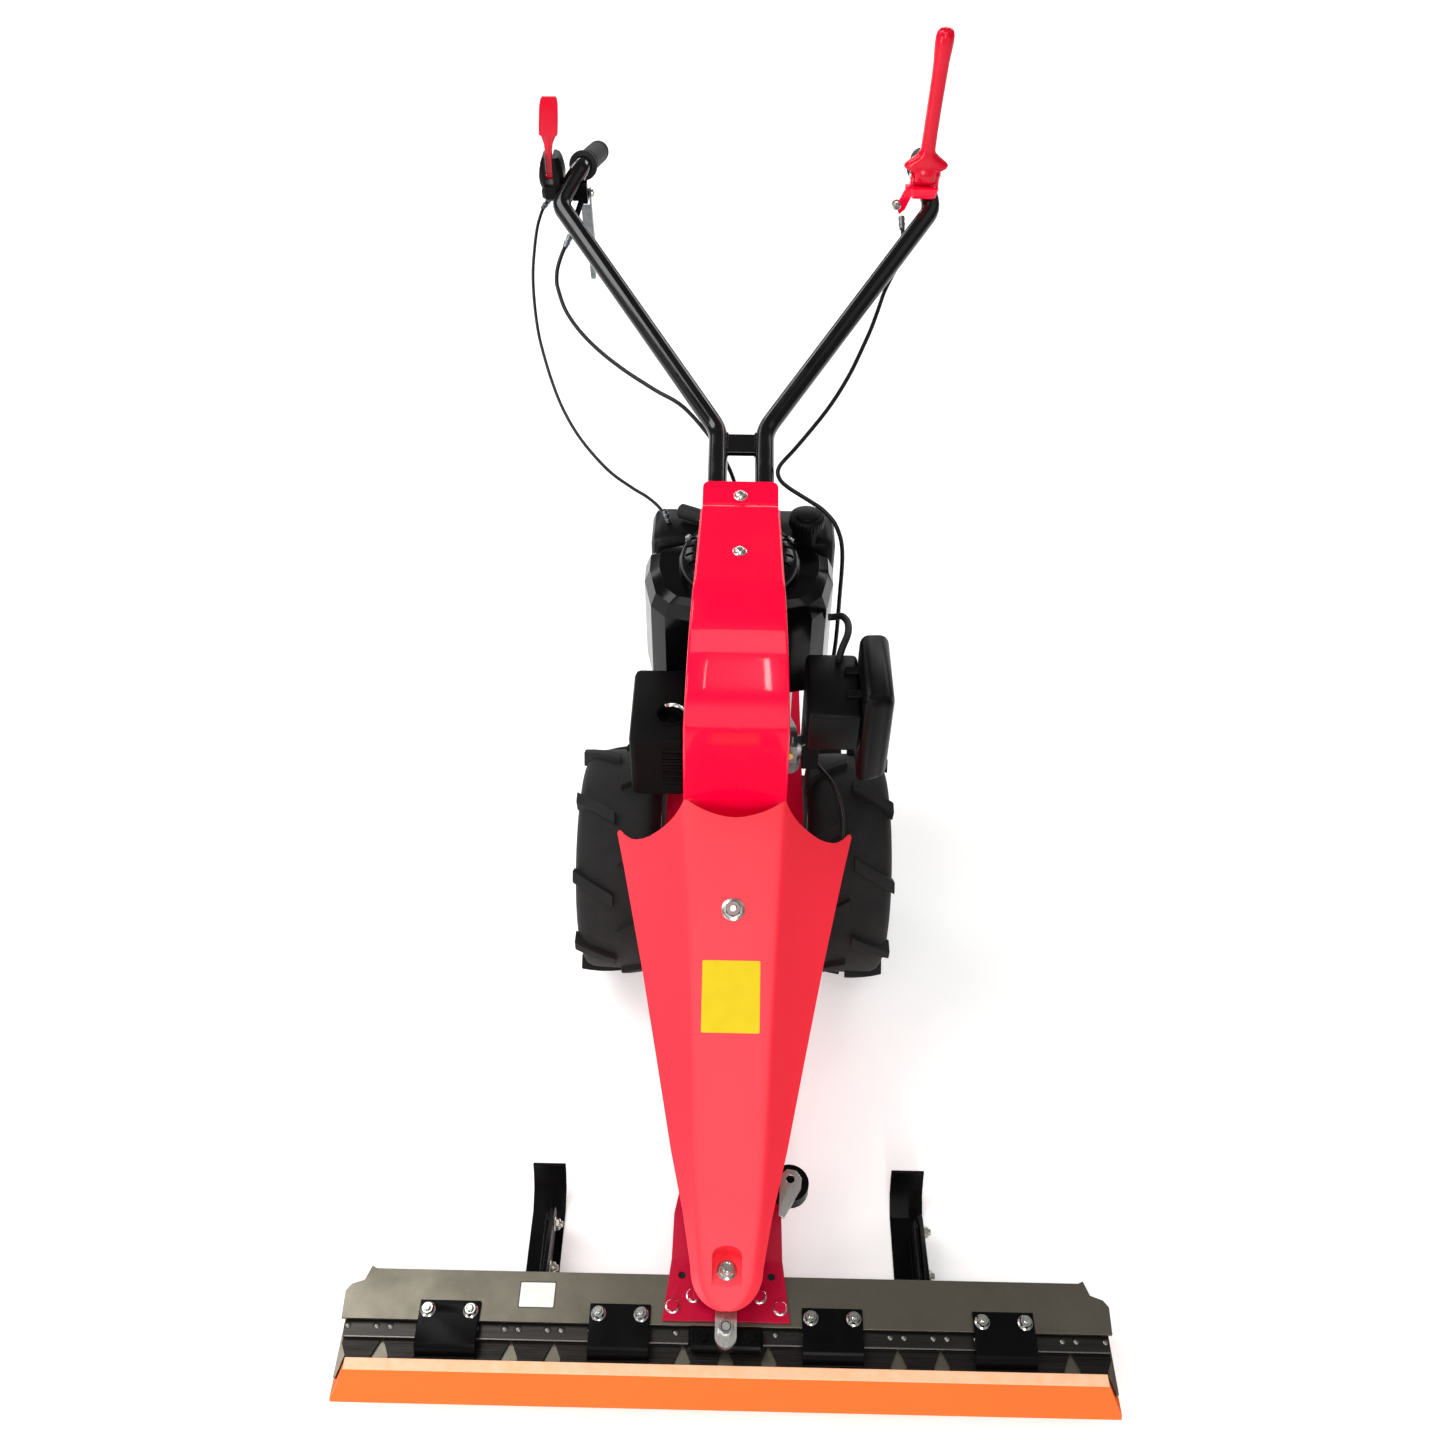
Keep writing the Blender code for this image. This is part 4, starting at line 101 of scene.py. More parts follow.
def drive(material, **sources):
    """Feeds the shader's sockets from nodes' outputs."""
    shader = material.node_tree.nodes["Principled BSDF"]
    for socket, output in sources.items():
        material.node_tree.links.new(output, shader.inputs[socket.replace("_", " ")])


def noise(material, scale, detail, stretch=None, **inputs):
    """Noise in the object's own coordinates, in cycles a metre, or drawn out by a scale for each axis."""
    place = add(material, "TexCoord").outputs["Object"]
    if stretch:
        place = add(material, "Mapping", {"Vector": place, "Scale": stretch}).outputs["Vector"]
    inputs.update({"Vector": place, "Scale": scale, "Detail": detail})
    return add(material, "TexNoise", inputs).outputs["Fac"]


def tinted(material, source, first, second):
    """Lets a pattern mix two colours for the base colour."""
    mixed = add(material, "MixRGB", {"Fac": source, "Color1": linear(first), "Color2": linear(second)})
    drive(material, Base_Color=mixed.outputs["Color"])


def dulled(material, source, low, high, **limits):
    """Lets a pattern vary the roughness."""
    spread = add(material, "MapRange", {"Value": source, "To Min": low, "To Max": high, **limits})
    drive(material, Roughness=spread.outputs["Result"])


def embossed(material, source, strength, depth):
    """Lets a pattern raise the surface, depth in metres."""
    bump = add(material, "Bump", {"Height": source, "Strength": strength, "Distance": depth})
    drive(material, Normal=bump.outputs["Normal"])


def finish(name, colour, roughness, tones=None, sheen=None, relief=None, **sockets):
    """A material on one Principled shader. What is the same all over is set on its sockets.
    Each pattern is a noise's scale and detail, two colours, roughnesses, or bump values, and any stretch."""
    material = bpy.data.materials.new(name)
    material.use_nodes = True
    shader = material.node_tree.nodes["Principled BSDF"]
    shader.inputs["Base Color"].default_value = linear(colour)
    shader.inputs["Roughness"].default_value = roughness
    for socket, value in sockets.items():
        shader.inputs[socket.replace("_", " ")].default_value = value
    for pattern, effect in ((tones, tinted), (sheen, dulled), (relief, embossed)):
        if pattern:
            scale, detail, first, second, *stretch = pattern
            effect(material, noise(material, scale, detail, *stretch), first, second)
    return material


bpy.ops.object.select_all(action="DESELECT")
bpy.ops.mesh.primitive_plane_add(size=14.0, location=(0.0, 0.0, 0.0))
floor = bpy.context.object
floor.name = "floor"
floor.data.materials.append(finish("backlit_matt_paper", "#F8F8F7", 0.9, Emission_Strength=0.34))
world = bpy.data.worlds.new("studio")
bpy.context.scene.world = world
world.use_nodes = True
world.node_tree.nodes["Background"].inputs["Color"].default_value = linear("#FFFFFF")
world.node_tree.nodes["Background"].inputs["Strength"].default_value = 0.17
for name, place, aim, size, power in (
    ("left_high", (-1.8, 0.2, 2.9), (0.0, 0.0, 0.2), (1.2, 2.2), 50.0),
    ("right_high", (1.8, 0.2, 2.9), (0.0, 0.0, 0.2), (1.2, 2.2), 3.0),
    ("front_sheet", (0.0, -1.7, 3.2), (0.0, -0.3, 0.3), (2.6, 1.3), 30.0),
    ("left_side", (-2.4, -0.2, 1.3), (0.0, -0.2, 0.3), (1.6, 1.2), 3.0),
    ("front_left", (-1.9, -2.2, 0.9), (-0.1, -0.7, 0.1), (0.9, 0.9), 22.0),
    ("front_right", (1.9, -2.2, 0.9), (0.1, -0.7, 0.1), (0.9, 0.9), 3.0),
    ("back_left", (-2.3, 3.4, 2.4), (-0.4, 3.0, 0.0), (1.6, 1.6), 38.0),
    ("back_right", (2.3, 3.4, 2.4), (0.4, 3.0, 0.0), (1.6, 1.6), 40.0),
    ("far_back", (0.0, 6.5, 2.6), (0.0, 5.0, 0.0), (5.0, 1.2), 110.0),
    ("right_streak", (0.205, -2.7, 1.75), (0.06, -0.1, 0.55), (0.157, 1.7), 20.0),
    ("left_streak", (-0.247, -2.7, 1.7), (-0.06, -0.1, 0.55), (0.03, 1.5), 3.3),
):
    lamp = bpy.data.lights.new(name, "AREA")
    lamp.shape = "RECTANGLE"
    lamp.size, lamp.size_y = size
    lamp.energy = power
    holder = bpy.data.objects.new(name, lamp)
    bpy.context.scene.collection.objects.link(holder)
    holder.location = place
    holder.rotation_euler = (Vector(aim) - Vector(place)).to_track_quat("-Z", "Y").to_euler()


# Cables: steel wire in a black PVC jacket, from the hand controls down to the engine, the clutch
# arm and the knife drive, each tied in by a crimped metal end at its lever.
# The jacket's skin has a fine grain of about 1 mm, which softens the glint along it.
pvc_jacket = finish(
    "black_pvc_jacket", "#0E0E0E", 0.38, relief=(900.0, 2.0, 0.15, 0.0003), Specular_IOR_Level=0.3
)


def smooth_route(points, pieces):
    """The points with others between them on a smooth curve."""
    points = [Vector(p) for p in points]
    ends = [2 * points[0] - points[1], *points, 2 * points[-1] - points[-2]]
    route = []
    for a, b, c, d in zip(ends, ends[1:], ends[2:], ends[3:]):
        for step in range(pieces):
            t = step / pieces
            bend = (2 * a - 5 * b + 4 * c - d) * t * t + (3 * b - a - 3 * c + d) * t**3
            route.append(0.5 * (2 * b + (c - a) * t + bend))
    return [*route, points[-1]]


def selected(*pieces):
    """Selects pieces alone, the first one active, for the operators that work on the selection."""
    bpy.ops.object.select_all(action="DESELECT")
    for piece in pieces:
        piece.select_set(True)
    if pieces:
        bpy.context.view_layer.objects.active = pieces[0]


def flush(piece, name, material):
    """Names a new piece and leaves its place in its mesh, its object at the origin."""
    bpy.ops.object.transform_apply(location=True, rotation=True, scale=True)
    piece.name = name
    piece.data.materials.clear()
    piece.data.materials.append(material)
    return piece


def tube(name, points, radius, material, sides=6):
    """A round tube or jacket along points."""
    curve = bpy.data.curves.new(name, "CURVE")
    curve.dimensions = "3D"
    curve.bevel_depth = radius
    curve.bevel_resolution = sides
    curve.use_fill_caps = True
    curve.resolution_u = 1
    curve.render_resolution_u = 1
    spline = curve.splines.new("POLY")
    spline.points.add(len(points) - 1)
    for target, point in zip(spline.points, points):
        target.co = (*point, 1.0)
    piece = bpy.data.objects.new(name, curve)
    bpy.context.scene.collection.objects.link(piece)
    curve.materials.append(material)
    return piece


def meshed(piece):
    """A curve as a smooth mesh."""
    selected(piece)
    bpy.ops.object.convert(target="MESH")
    bpy.ops.object.shade_smooth_by_angle(angle=math.radians(40.0))
    return bpy.context.object


AXLE_Y = -0.036
throttle_points = [
    (-0.2772, 0.628, 0.8568), (-0.2835, 0.618, 0.8515), (-0.2884, 0.605, 0.8434), (-0.2924, 0.587, 0.8314),
    (-0.2947, 0.562, 0.813), (-0.2956, 0.534, 0.7898), (-0.2924, 0.504, 0.7633), (-0.2861, 0.473, 0.7391),
    (-0.2784, 0.448, 0.7225), (-0.2636, 0.409, 0.6989), (-0.2446, 0.369, 0.6766), (-0.2174, 0.327, 0.6564),
    (-0.179, 0.285, 0.6373), (-0.1449, 0.26, 0.6265), (-0.127, 0.2515, 0.62), (-0.113, 0.244, 0.6125),
    (-0.103, 0.238, 0.6035), (-0.0975, 0.2348, 0.5955), (-0.096, 0.234, 0.5905)
]
clutch_points = [
    (-0.2446, 0.579, 0.8268), (-0.2496, 0.572, 0.8191), (-0.2562, 0.56, 0.8086), (-0.2618, 0.546, 0.795),
    (-0.263, 0.534, 0.7828), (-0.26, 0.522, 0.774), (-0.2489, 0.498, 0.7566), (-0.2287, 0.472, 0.7406),
    (-0.2, 0.444, 0.7261), (-0.1629, 0.412, 0.7144), (-0.1186, 0.376, 0.7057), (-0.078, 0.345, 0.6982),
    (-0.036, 0.318, 0.66), (-0.01, 0.308, 0.61), (0.0, 0.302, 0.55), (0.0, 0.292, 0.42), (0.0, 0.283, 0.31),
    (0.0, 0.2782, 0.272), (0.0, 0.2781, 0.255)
]
knife_points = [
    (0.218, 0.598, 0.8515), (0.2195, 0.57, 0.833), (0.213, 0.54, 0.8125), (0.2018, 0.52, 0.7972),
    (0.1928, 0.5, 0.788), (0.1837, 0.47, 0.7784), (0.1728, 0.44, 0.7647), (0.16, 0.41, 0.7514),
    (0.1466, 0.38, 0.7384), (0.1308, 0.35, 0.7258), (0.1125, 0.32, 0.7136), (0.0911, 0.29, 0.7017),
    (0.0688, 0.263, 0.6883), (0.0578, 0.25, 0.6829), (0.0504, 0.2415, 0.6777), (0.0479, 0.233, 0.6726),
    (0.0522, 0.224, 0.6665), (0.0627, 0.216, 0.6614), (0.0769, 0.207, 0.6571), (0.0924, 0.198, 0.6521),
    (0.108, 0.1885, 0.6459), (0.1245, 0.177, 0.63), (0.1342, 0.1685, 0.596), (0.1345, 0.155, 0.53),
    (0.131, 0.125, 0.46), (0.118, 0.082, 0.404), (0.101, 0.049, 0.378), (0.0975, 0.019, 0.373),
    (0.109, -0.006, 0.374), (0.1256, -0.03, 0.3705), (0.136, -0.0505, 0.36), (0.142, -0.072, 0.344),
    (0.14, -0.1, 0.318), (0.124, -0.145, 0.278), (0.102, -0.185, 0.228), (0.089, -0.21, 0.178)
]
for name, points, radius in (
    ("throttle_cable", throttle_points, 0.0022),
    ("clutch_cable", clutch_points, 0.0028),
    ("knife_cable", knife_points, 0.0028),
):
    route = smooth_route([(x, y + AXLE_Y, z) for x, y, z in points], 6)
    cable = tube(name + "_jacket", route, radius, pvc_jacket, 4)
    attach(cable, "machine")
    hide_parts(name)


# Chassis: folded and welded 3 mm sheet steel, powder coated deep red. It carries the engine on
# its deck, the gearbox under it and the knife pulley on its bridge.
# Powder flows out to a faint orange peel of about 2 mm, with slightly duller patches.
red_powder_coat = finish(
    "gloss_red_powder_coat_on_steel", "#FF0038", 0.26, sheen=(18.0, 3.0, 0.2, 0.32),
    relief=(450.0, 1.0, 0.12, 0.0004), Specular_IOR_Level=0.1, Coat_Weight=0.38, Coat_Roughness=0.05
)


def apply(piece, kind, **settings):
    """Adds a modifier and applies it."""
    selected(piece)
    modifier = piece.modifiers.new(kind.lower(), kind)
    for name, value in settings.items():
        setattr(modifier, name, value)
    bpy.ops.object.modifier_apply(modifier=modifier.name)
    return piece


def broken_edges(piece, width, angle=35.0, segments=2):
    """Small rounded edges whose shading leaves the flat faces flat."""
    selected(piece)
    bpy.ops.object.shade_smooth_by_angle(angle=math.radians(angle))
    apply(
        piece, "BEVEL", width=width, segments=segments, limit_method="ANGLE", angle_limit=math.radians(angle),
        harden_normals=True, loop_slide=True,
    )
    return piece


def refined(node, material, edge=0.0008, angle=35.0):
    """A copy of a CAD piece, merged, its edges broken, shown in the piece's place on its body."""
    piece = bpy.data.objects.new(node + "_finished", cad[node].data.copy())
    bpy.context.scene.collection.objects.link(piece)
    piece.data.materials.clear()
    piece.data.materials.append(material)
    shape = bmesh.new()
    shape.from_mesh(piece.data)
    bmesh.ops.remove_doubles(shape, verts=shape.verts, dist=0.00003)
    bmesh.ops.dissolve_limit(shape, angle_limit=math.radians(0.8), verts=shape.verts, edges=shape.edges)
    shape.to_mesh(piece.data)
    shape.free()
    broken_edges(piece, edge, angle)
    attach(piece, cad[node]["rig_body"])
    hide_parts(node)
    return piece


refined("chassis", red_powder_coat, 0.0009)


# Gearbox: two die-cast aluminium halves bolted on the middle line, round a bronze worm wheel on the
# axle and a hardened steel worm that stands upright in front of it.
# The casting skin is mottled at about 3 mm, with a fine grit of half a millimetre.
cast_aluminium = finish(
    "die_cast_aluminium", "#B4B6B8", 0.48, tones=(320.0, 4.0, "#8E9092", "#C9CBCC"),
    relief=(1800.0, 2.0, 0.25, 0.0003), Metallic=1.0
)
# Grinding and a thin film of oil make the shine change every 2 mm.
ground_steel = finish(
    "ground_steel_with_oil_film", "#A9A9A6", 0.24, sheen=(600.0, 3.0, 0.18, 0.36), Metallic=1.0,
    Anisotropic=0.4
)
# Turned bronze is clouded darker and lighter over about 4 mm.
bronze = finish("turned_tin_bronze", "#B07A3E", 0.32, tones=(260.0, 3.0, "#9A6530", "#C8924F"), Metallic=1.0)
refined("gear_case_left", cast_aluminium, 0.0012)
refined("gear_case_right", cast_aluminium, 0.0012)
refined("axle", ground_steel, 0.001)
refined("worm_shaft", ground_steel, 0.0004)


def turned(name, profile, material, steps=64, centre=(0.0, 0.0, 0.0), axis=(0.0, 0.0, 1.0), arc=2 * math.pi):
    """A profile of (distance from the axis, height along it), spun round the axis through centre."""
    selected()
    bpy.ops.mesh.primitive_circle_add(vertices=len(profile), fill_type="NOTHING")
    piece = bpy.context.object
    for vert, (out, up) in zip(piece.data.vertices, profile):
        vert.co = (out, 0.0, up)
    bpy.ops.object.mode_set(mode="EDIT")
    bpy.ops.mesh.select_all(action="SELECT")
    bpy.ops.mesh.spin(steps=steps, angle=arc, center=(0.0, 0.0, 0.0), axis=(0.0, 0.0, 1.0))
    bpy.ops.mesh.select_all(action="SELECT")
    bpy.ops.mesh.remove_doubles(threshold=0.00002)
    bpy.ops.mesh.dissolve_degenerate(threshold=0.00001)
    bpy.ops.mesh.normals_make_consistent(inside=False)
    bpy.ops.object.mode_set(mode="OBJECT")
    turn = Vector(axis).normalized().to_track_quat("Z", "Y").to_matrix().to_4x4()
    piece.data.transform(Matrix.Translation(centre) @ turn)
    flush(piece, name, material)
    bpy.ops.object.shade_smooth_by_angle(angle=math.radians(32.0))
    return piece


# The worm wheel's teeth are cut slightly hollow across its width, to wrap the worm.
WORM_WHEEL_STEPS = 80
wheel_low, wheel_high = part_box("worm_wheel")
wheel_middle = (wheel_low + wheel_high) / 2
tooth_top = (wheel_high.z - wheel_low.z) / 2
half_width = (wheel_high.x - wheel_low.x) / 2
section = [
    (tooth_top, half_width), (tooth_top - 0.0016, 0.0), (tooth_top, -half_width), (0.0103, -half_width),
    (0.0103, half_width)
]
ACROSS = (1.0, 0.0, 0.0)
worm_wheel = turned(
    "worm_wheel_blank", section, bronze, WORM_WHEEL_STEPS, centre=wheel_middle, axis=ACROSS
)
for vert in worm_wheel.data.vertices:
    out = Vector((0.0, vert.co.y - wheel_middle.y, vert.co.z - wheel_middle.z))
    tooth = round(math.atan2(out.z, out.y) / (2 * math.pi) * WORM_WHEEL_STEPS) % 2
    if out.length > 0.02 and tooth:
        vert.co -= out.normalized() * 0.0022
worm_wheel.data.update()
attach(worm_wheel, "wheels")
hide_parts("worm_wheel")


# Belt drives: die-cast pulleys with two V-belts from the crankshaft, one back to the worm and one
# forward to the knife. A sprung idler roller on a plated arm tightens the driving belt.
belt_rubber = finish("fabric_covered_belt_rubber", "#1B1B1C", 0.75)


def waves(material, scale, distortion, **settings):
    """Bands in the object's own coordinates."""
    place = add(material, "TexCoord").outputs["Object"]
    inputs = {"Vector": place, "Scale": scale, "Distortion": distortion}
    return add(material, "TexWave", inputs, **settings).outputs["Fac"]


# The cloth cover shows as a weave of about 1 mm.
embossed(belt_rubber, waves(belt_rubber, 160.0, 1.5, bands_direction="DIAGONAL"), 0.4, 0.0003)
# Zinc is faintly blue and yellow in patches of a few millimetres, with a fine crystal grain.
zinc_plate = finish(
    "bright_zinc_plated_steel", "#C4C8C6", 0.26, tones=(210.0, 2.0, "#B4BCC2", "#D6D2C2"),
    sheen=(2400.0, 1.0, 0.18, 0.36), Metallic=1.0
)
for node in ("drive_pulley", "worm_pulley", "knife_pulley"):
    refined(node, cast_aluminium, 0.0006)
for node in ("drive_belt", "knife_belt"):
    refined(node, belt_rubber, 0.0006)
refined("idler_arm", zinc_plate, 0.0006)
refined("idler_roller", belt_rubber, 0.0008)
refined("crankshaft", ground_steel, 0.0008)


# Wheels: tractor-pattern rubber tyres on pressed steel rims. Thick slanted lugs stand on both
# shoulders, the two sides half a pitch apart; five bolts hold the disc to the hub.
# Mould lines and a little dust leave slow changes of about 30 mm, over a 1 mm grain.
tyre_rubber = finish(
    "moulded_tyre_rubber", "#161617", 0.78, tones=(32.0, 5.0, "#0F0F10", "#232221"),
    relief=(900.0, 2.0, 0.35, 0.0005), Specular_IOR_Level=0.3
)
# The enamel shows a faint peel of 2 mm under its clear gloss.
rim_paint = finish(
    "satin_black_enamel_on_steel", "#101012", 0.3, relief=(420.0, 2.0, 0.15, 0.0004), Specular_IOR_Level=0.3,
    Coat_Weight=0.15, Coat_Roughness=0.12
)
WHEEL_RADIUS = 0.165
LUG_PAIRS = 9
carcass_half = [
    (0.0766, 0.0464), (0.0872, 0.0468), (0.09, 0.05), (0.096, 0.053), (0.101, 0.0552), (0.112, 0.0566),
    (0.124, 0.0562), (0.134, 0.0545), (0.144, 0.051), (0.151, 0.046), (0.1545, 0.039), (0.1558, 0.026),
    (0.1562, 0.01)
]
carcass = carcass_half + [(out, -along) for out, along in reversed(carcass_half)]
carcass += [
    (0.0766, -0.0374), (0.124, -0.048), (0.149, -0.04), (0.149, 0.04), (0.124, 0.048), (0.0766, 0.0374)
]
rim_profile = [
    (0.0862, 0.049), (0.0866, 0.048), (0.0862, 0.047), (0.0785, 0.0466), (0.0762, 0.044), (0.0762, 0.03),
    (0.07, 0.027), (0.07, 0.018), (0.0762, 0.015), (0.0762, -0.044), (0.0785, -0.0466), (0.0862, -0.047),
    (0.0866, -0.048), (0.0862, -0.049), (0.0768, -0.0488), (0.0735, -0.045), (0.0735, 0.006),
    (0.07, 0.0075), (0.052, 0.003), (0.042, 0.003), (0.036, 0.006), (0.0215, 0.006), (0.021, -0.035),
    (0.0103, -0.035), (0.0103, 0.035), (0.021, 0.035), (0.0215, 0.01), (0.036, 0.01), (0.042, 0.007),
    (0.052, 0.007), (0.067, 0.0115), (0.067, 0.029), (0.0735, 0.033), (0.0735, 0.045), (0.0768, 0.0488)
]


def lug_at(side, angle):
    """One lug: a block with drawn-in flanks, bent round the tyre and swept back towards the shoulder."""
    selected()
    bpy.ops.mesh.primitive_cube_add(size=1.0)
    lug = bpy.context.object
    bpy.ops.object.mode_set(mode="EDIT")
    bpy.ops.mesh.subdivide(number_cuts=3)
    bpy.ops.object.mode_set(mode="OBJECT")
    for vert in lug.data.vertices:
        radial, around, along = vert.co
        reach = along + 0.5
        width = 0.105 + 0.02 * (0.5 - radial)
        spread = angle + around * width + reach * 0.2
        top = WHEEL_RADIUS - 0.0003 - 0.0055 * reach**2
        low = top - 0.015 - 0.006 * reach
        distance = low + (top - low) * (radial + 0.5)
        vert.co = (distance * math.cos(spread), distance * math.sin(spread), side * (0.002 + reach * 0.0545))
    if side < 0:
        lug.data.flip_normals()
    return lug


for name, side in (("left", -1), ("right", 1)):
    centre = Vector((side * 0.1575, AXLE_Y, WHEEL_RADIUS))
    tyre = turned(f"tyre_{name}_carcass", carcass, tyre_rubber, 96)
    lugs = []
    for i in range(LUG_PAIRS):
        lugs += [lug_at(end, 2 * math.pi * (i + (0.5 if end > 0 else 0.0)) / LUG_PAIRS) for end in (-1, 1)]
    selected(*lugs)
    bpy.ops.object.join()
    tread = flush(lugs[0], f"tyre_{name}_lugs", tyre_rubber)
    broken_edges(tread, 0.0016, 40.0)
    turn = Matrix.Rotation(side * math.pi / 2, 4, "Y")
    for piece in (tyre, tread):
        piece.data.transform(Matrix.Translation(centre) @ turn)
        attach(piece, "wheels")
        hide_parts(f"tyre_{name}")
    rim = turned(f"rim_{name}_pressing", rim_profile, rim_paint, 72, centre=centre, axis=(side, 0.0, 0.0))
    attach(rim, "wheels")
    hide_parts(f"rim_{name}")


# Bar carrier: a red powder-coated steel plate under the chassis nose, bent down to the cutter bar
# and held to it by four zinc-plated flange bolts, with a free hole on each side.
def moved_copy(master, place, normal, turn=0.0):
    """Another of a fastener, seated at place with its head along normal."""
    twin = bpy.data.objects.new(master.name + "_copy", master.data.copy())
    bpy.context.scene.collection.objects.link(twin)
    aim = Vector(normal).normalized().to_track_quat("Z", "Y").to_matrix().to_4x4()
    twin.data.transform(Matrix.Translation(place) @ aim @ Matrix.Rotation(turn, 4, "Z"))
    return twin


def joined(name, pieces):
    """Pieces as one."""
    selected(*pieces)
    bpy.ops.object.join()
    pieces[0].name = name
    return pieces[0]


def set_of(name, master, places, body, normal=(0.0, 0.0, 1.0)):
    """Copies of a fastener at several places, as one piece on a body."""
    copies = [moved_copy(master, place, normal, 0.7 * i) for i, place in enumerate(places)]
    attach(joined(name, copies), body)


def hexagon(width, low, high, material):
    """A hexagon with its upper corners turned off, as on a bolt head or nut."""
    selected()
    bpy.ops.mesh.primitive_cylinder_add(
        vertices=6, radius=width / math.sqrt(3), depth=high - low, location=(0.0, 0.0, (low + high) / 2)
    )
    head = flush(bpy.context.object, "hexagon", material)
    selected()
    bpy.ops.mesh.primitive_cone_add(
        vertices=32, radius1=width / 2 * 1.42, radius2=width / 2 * 0.94, depth=(high - low) * 1.02,
        location=(0.0, 0.0, (low + high) / 2),
    )
    cone = flush(bpy.context.object, "corner_cone", material)
    apply(head, "BOOLEAN", operation="INTERSECT", object=cone, solver="EXACT")
    bpy.data.objects.remove(cone)
    bpy.context.view_layer.objects.active = head
    head.select_set(True)
    bpy.ops.object.shade_smooth_by_angle(angle=math.radians(28.0))
    return head


def flange_profile(radius, height):
    """A flange that tapers up from a thin edge, for turned."""
    return [
        (0.0, 0.0), (radius, 0.0), (radius + 0.0002, height * 0.35), (radius * 0.8, height), (0.0, height)
    ]


# M8 flange bolt: hexagon 13 mm, flange 16.5 mm, a shallow dish in its head.
flange = turned("flange", flange_profile(0.0083, 0.0022), zinc_plate, 40)
head = hexagon(0.013, 0.0015, 0.0082, zinc_plate)
ring = turned("head_rim", [(0.004, 0.008), (0.0046, 0.0087), (0.0054, 0.008)], zinc_plate, 32)
flange_bolt = joined("flange_bolt", [flange, head, ring])
# The carrier's red is the column's red painted darker, as painted shade under the cover's nose, with slow
# changes of tone some 20 mm wide and a faint peel of 2 mm.
shaded_red_coat = finish(
    "red_coat_darkened_as_painted_shade", "#B4002E", 0.34, tones=(50.0, 3.0, "#A80030", "#C00630"),
    relief=(450.0, 1.0, 0.12, 0.0004), Specular_IOR_Level=0.2
)
# The carrier takes the darker red, which is painted shade under the cover's nose.
refined("bar_carrier", shaded_red_coat, 0.0008)
carrier_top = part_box("back_plate")[1].z + 0.0043
# The bar's four bolts have low heads, which the rocker arm clears.
LOW_HEAD = 0.58
low_bolt = moved_copy(flange_bolt, (0.0, 0.0, 0.0), (0.0, 0.0, 1.0))
low_bolt.data.transform(Matrix.Diagonal((1.0, 1.0, LOW_HEAD, 1.0)))
bolt_places = ((0.063, -0.602), (0.039, -0.589), (-0.039, -0.589), (-0.063, -0.602))
places = [(x, y + AXLE_Y, carrier_top) for x, y in bolt_places]
set_of("carrier_bolts", low_bolt, places, "machine")
bpy.data.objects.remove(low_bolt)
# A black disc sits in each free hole, a little below its top, as painted shade in the hole.
hole_shade_discs = []
for side in (-1, 1):
    plug = [
        (0.0, -0.0022), (0.0024, -0.0022), (0.003, -0.0015), (0.0044, -0.0015), (0.0044, -0.0036),
        (0.0, -0.0036)
    ]
    hole_shade_discs.append(
        turned("hole_shade_disc", plug, tyre_rubber, 28, centre=(side * 0.053, -0.565 + AXLE_Y, carrier_top))
    )
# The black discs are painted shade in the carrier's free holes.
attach(joined("carrier_hole_shade_discs", hole_shade_discs), "machine")


# Rocker arm: a forged steel lever on the chassis pivot. Its slotted eye takes the crank pin behind,
# and its bright rounded front end drives the knife head through a pin with a collar.
# Belt grinding leaves lines along the arm about 0.6 mm apart.
bright_steel = finish(
    "brushed_bright_steel", "#DCDAD4", 0.3, sheen=(1.0, 3.0, 0.2, 0.42, (1600.0, 60.0, 600.0)),
    relief=(1.0, 3.0, 0.2, 0.0002, (1600.0, 60.0, 600.0)), Metallic=1.0
)
refined("rocker_arm", bright_steel, 0.0004)
arm_top = 0.0925
pin_place = (0.0, -0.63 + AXLE_Y, arm_top)
collar = turned(
    "rocker_pin_collar",
    [(0.0034, 0.0), (0.0088, 0.0), (0.0088, 0.003), (0.008, 0.004), (0.0048, 0.004), (0.0034, 0.0026)],
    zinc_plate, 40, centre=pin_place
)
pin_end = turned(
    "rocker_pin_end", [(0.0, 0.0022), (0.003, 0.0022), (0.0036, 0.0016), (0.0036, 0.0), (0.0, 0.0)],
    tyre_rubber, 24, centre=pin_place
)
for piece in (collar, pin_end):
    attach(piece, "rocker")


# Cutter bar: a stainless upper plate with stepped and rounded ends, over the fingers' bar, with
# the two upright plates for the skids under it.
bar_steel = finish("rolled_stainless_plate", "#706C60", 0.34, Metallic=1.0)
# Rolling lines run along the bar about 2 mm apart, under handling stains some 60 mm wide.
stains = noise(bar_steel, 15.0, 5.0, Roughness=0.6)
edge = add(bar_steel, "MapRange", {"Value": stains, "From Min": 0.3, "From Max": 0.75})
tinted(bar_steel, edge.outputs["Result"], "#7C776A", "#646055")
dulled(bar_steel, stains, 0.28, 0.5)
embossed(bar_steel, noise(bar_steel, 1.0, 4.0, (10.0, 520.0, 520.0)), 0.12, 0.0002)
refined("back_plate", bar_steel, 0.0007)
refined("finger_bar", bar_steel, 0.0006)
# A blank white vinyl label, 38 x 26 mm with a thin dark edge line, is stuck on the plate's left half.
# Handling soils the white film faintly, in patches of 8 mm.
white_vinyl = finish(
    "white_vinyl_label", "#F2F2EC", 0.35, tones=(120.0, 3.0, "#FBFBF6", "#E4E5DC"), Coat_Weight=0.5,
    Coat_Roughness=0.2
)
# The printed edge is worn paler in fine specks.
label_ink = finish("dark_label_ink", "#26302C", 0.5, tones=(700.0, 2.0, "#1C2421", "#39423E"))


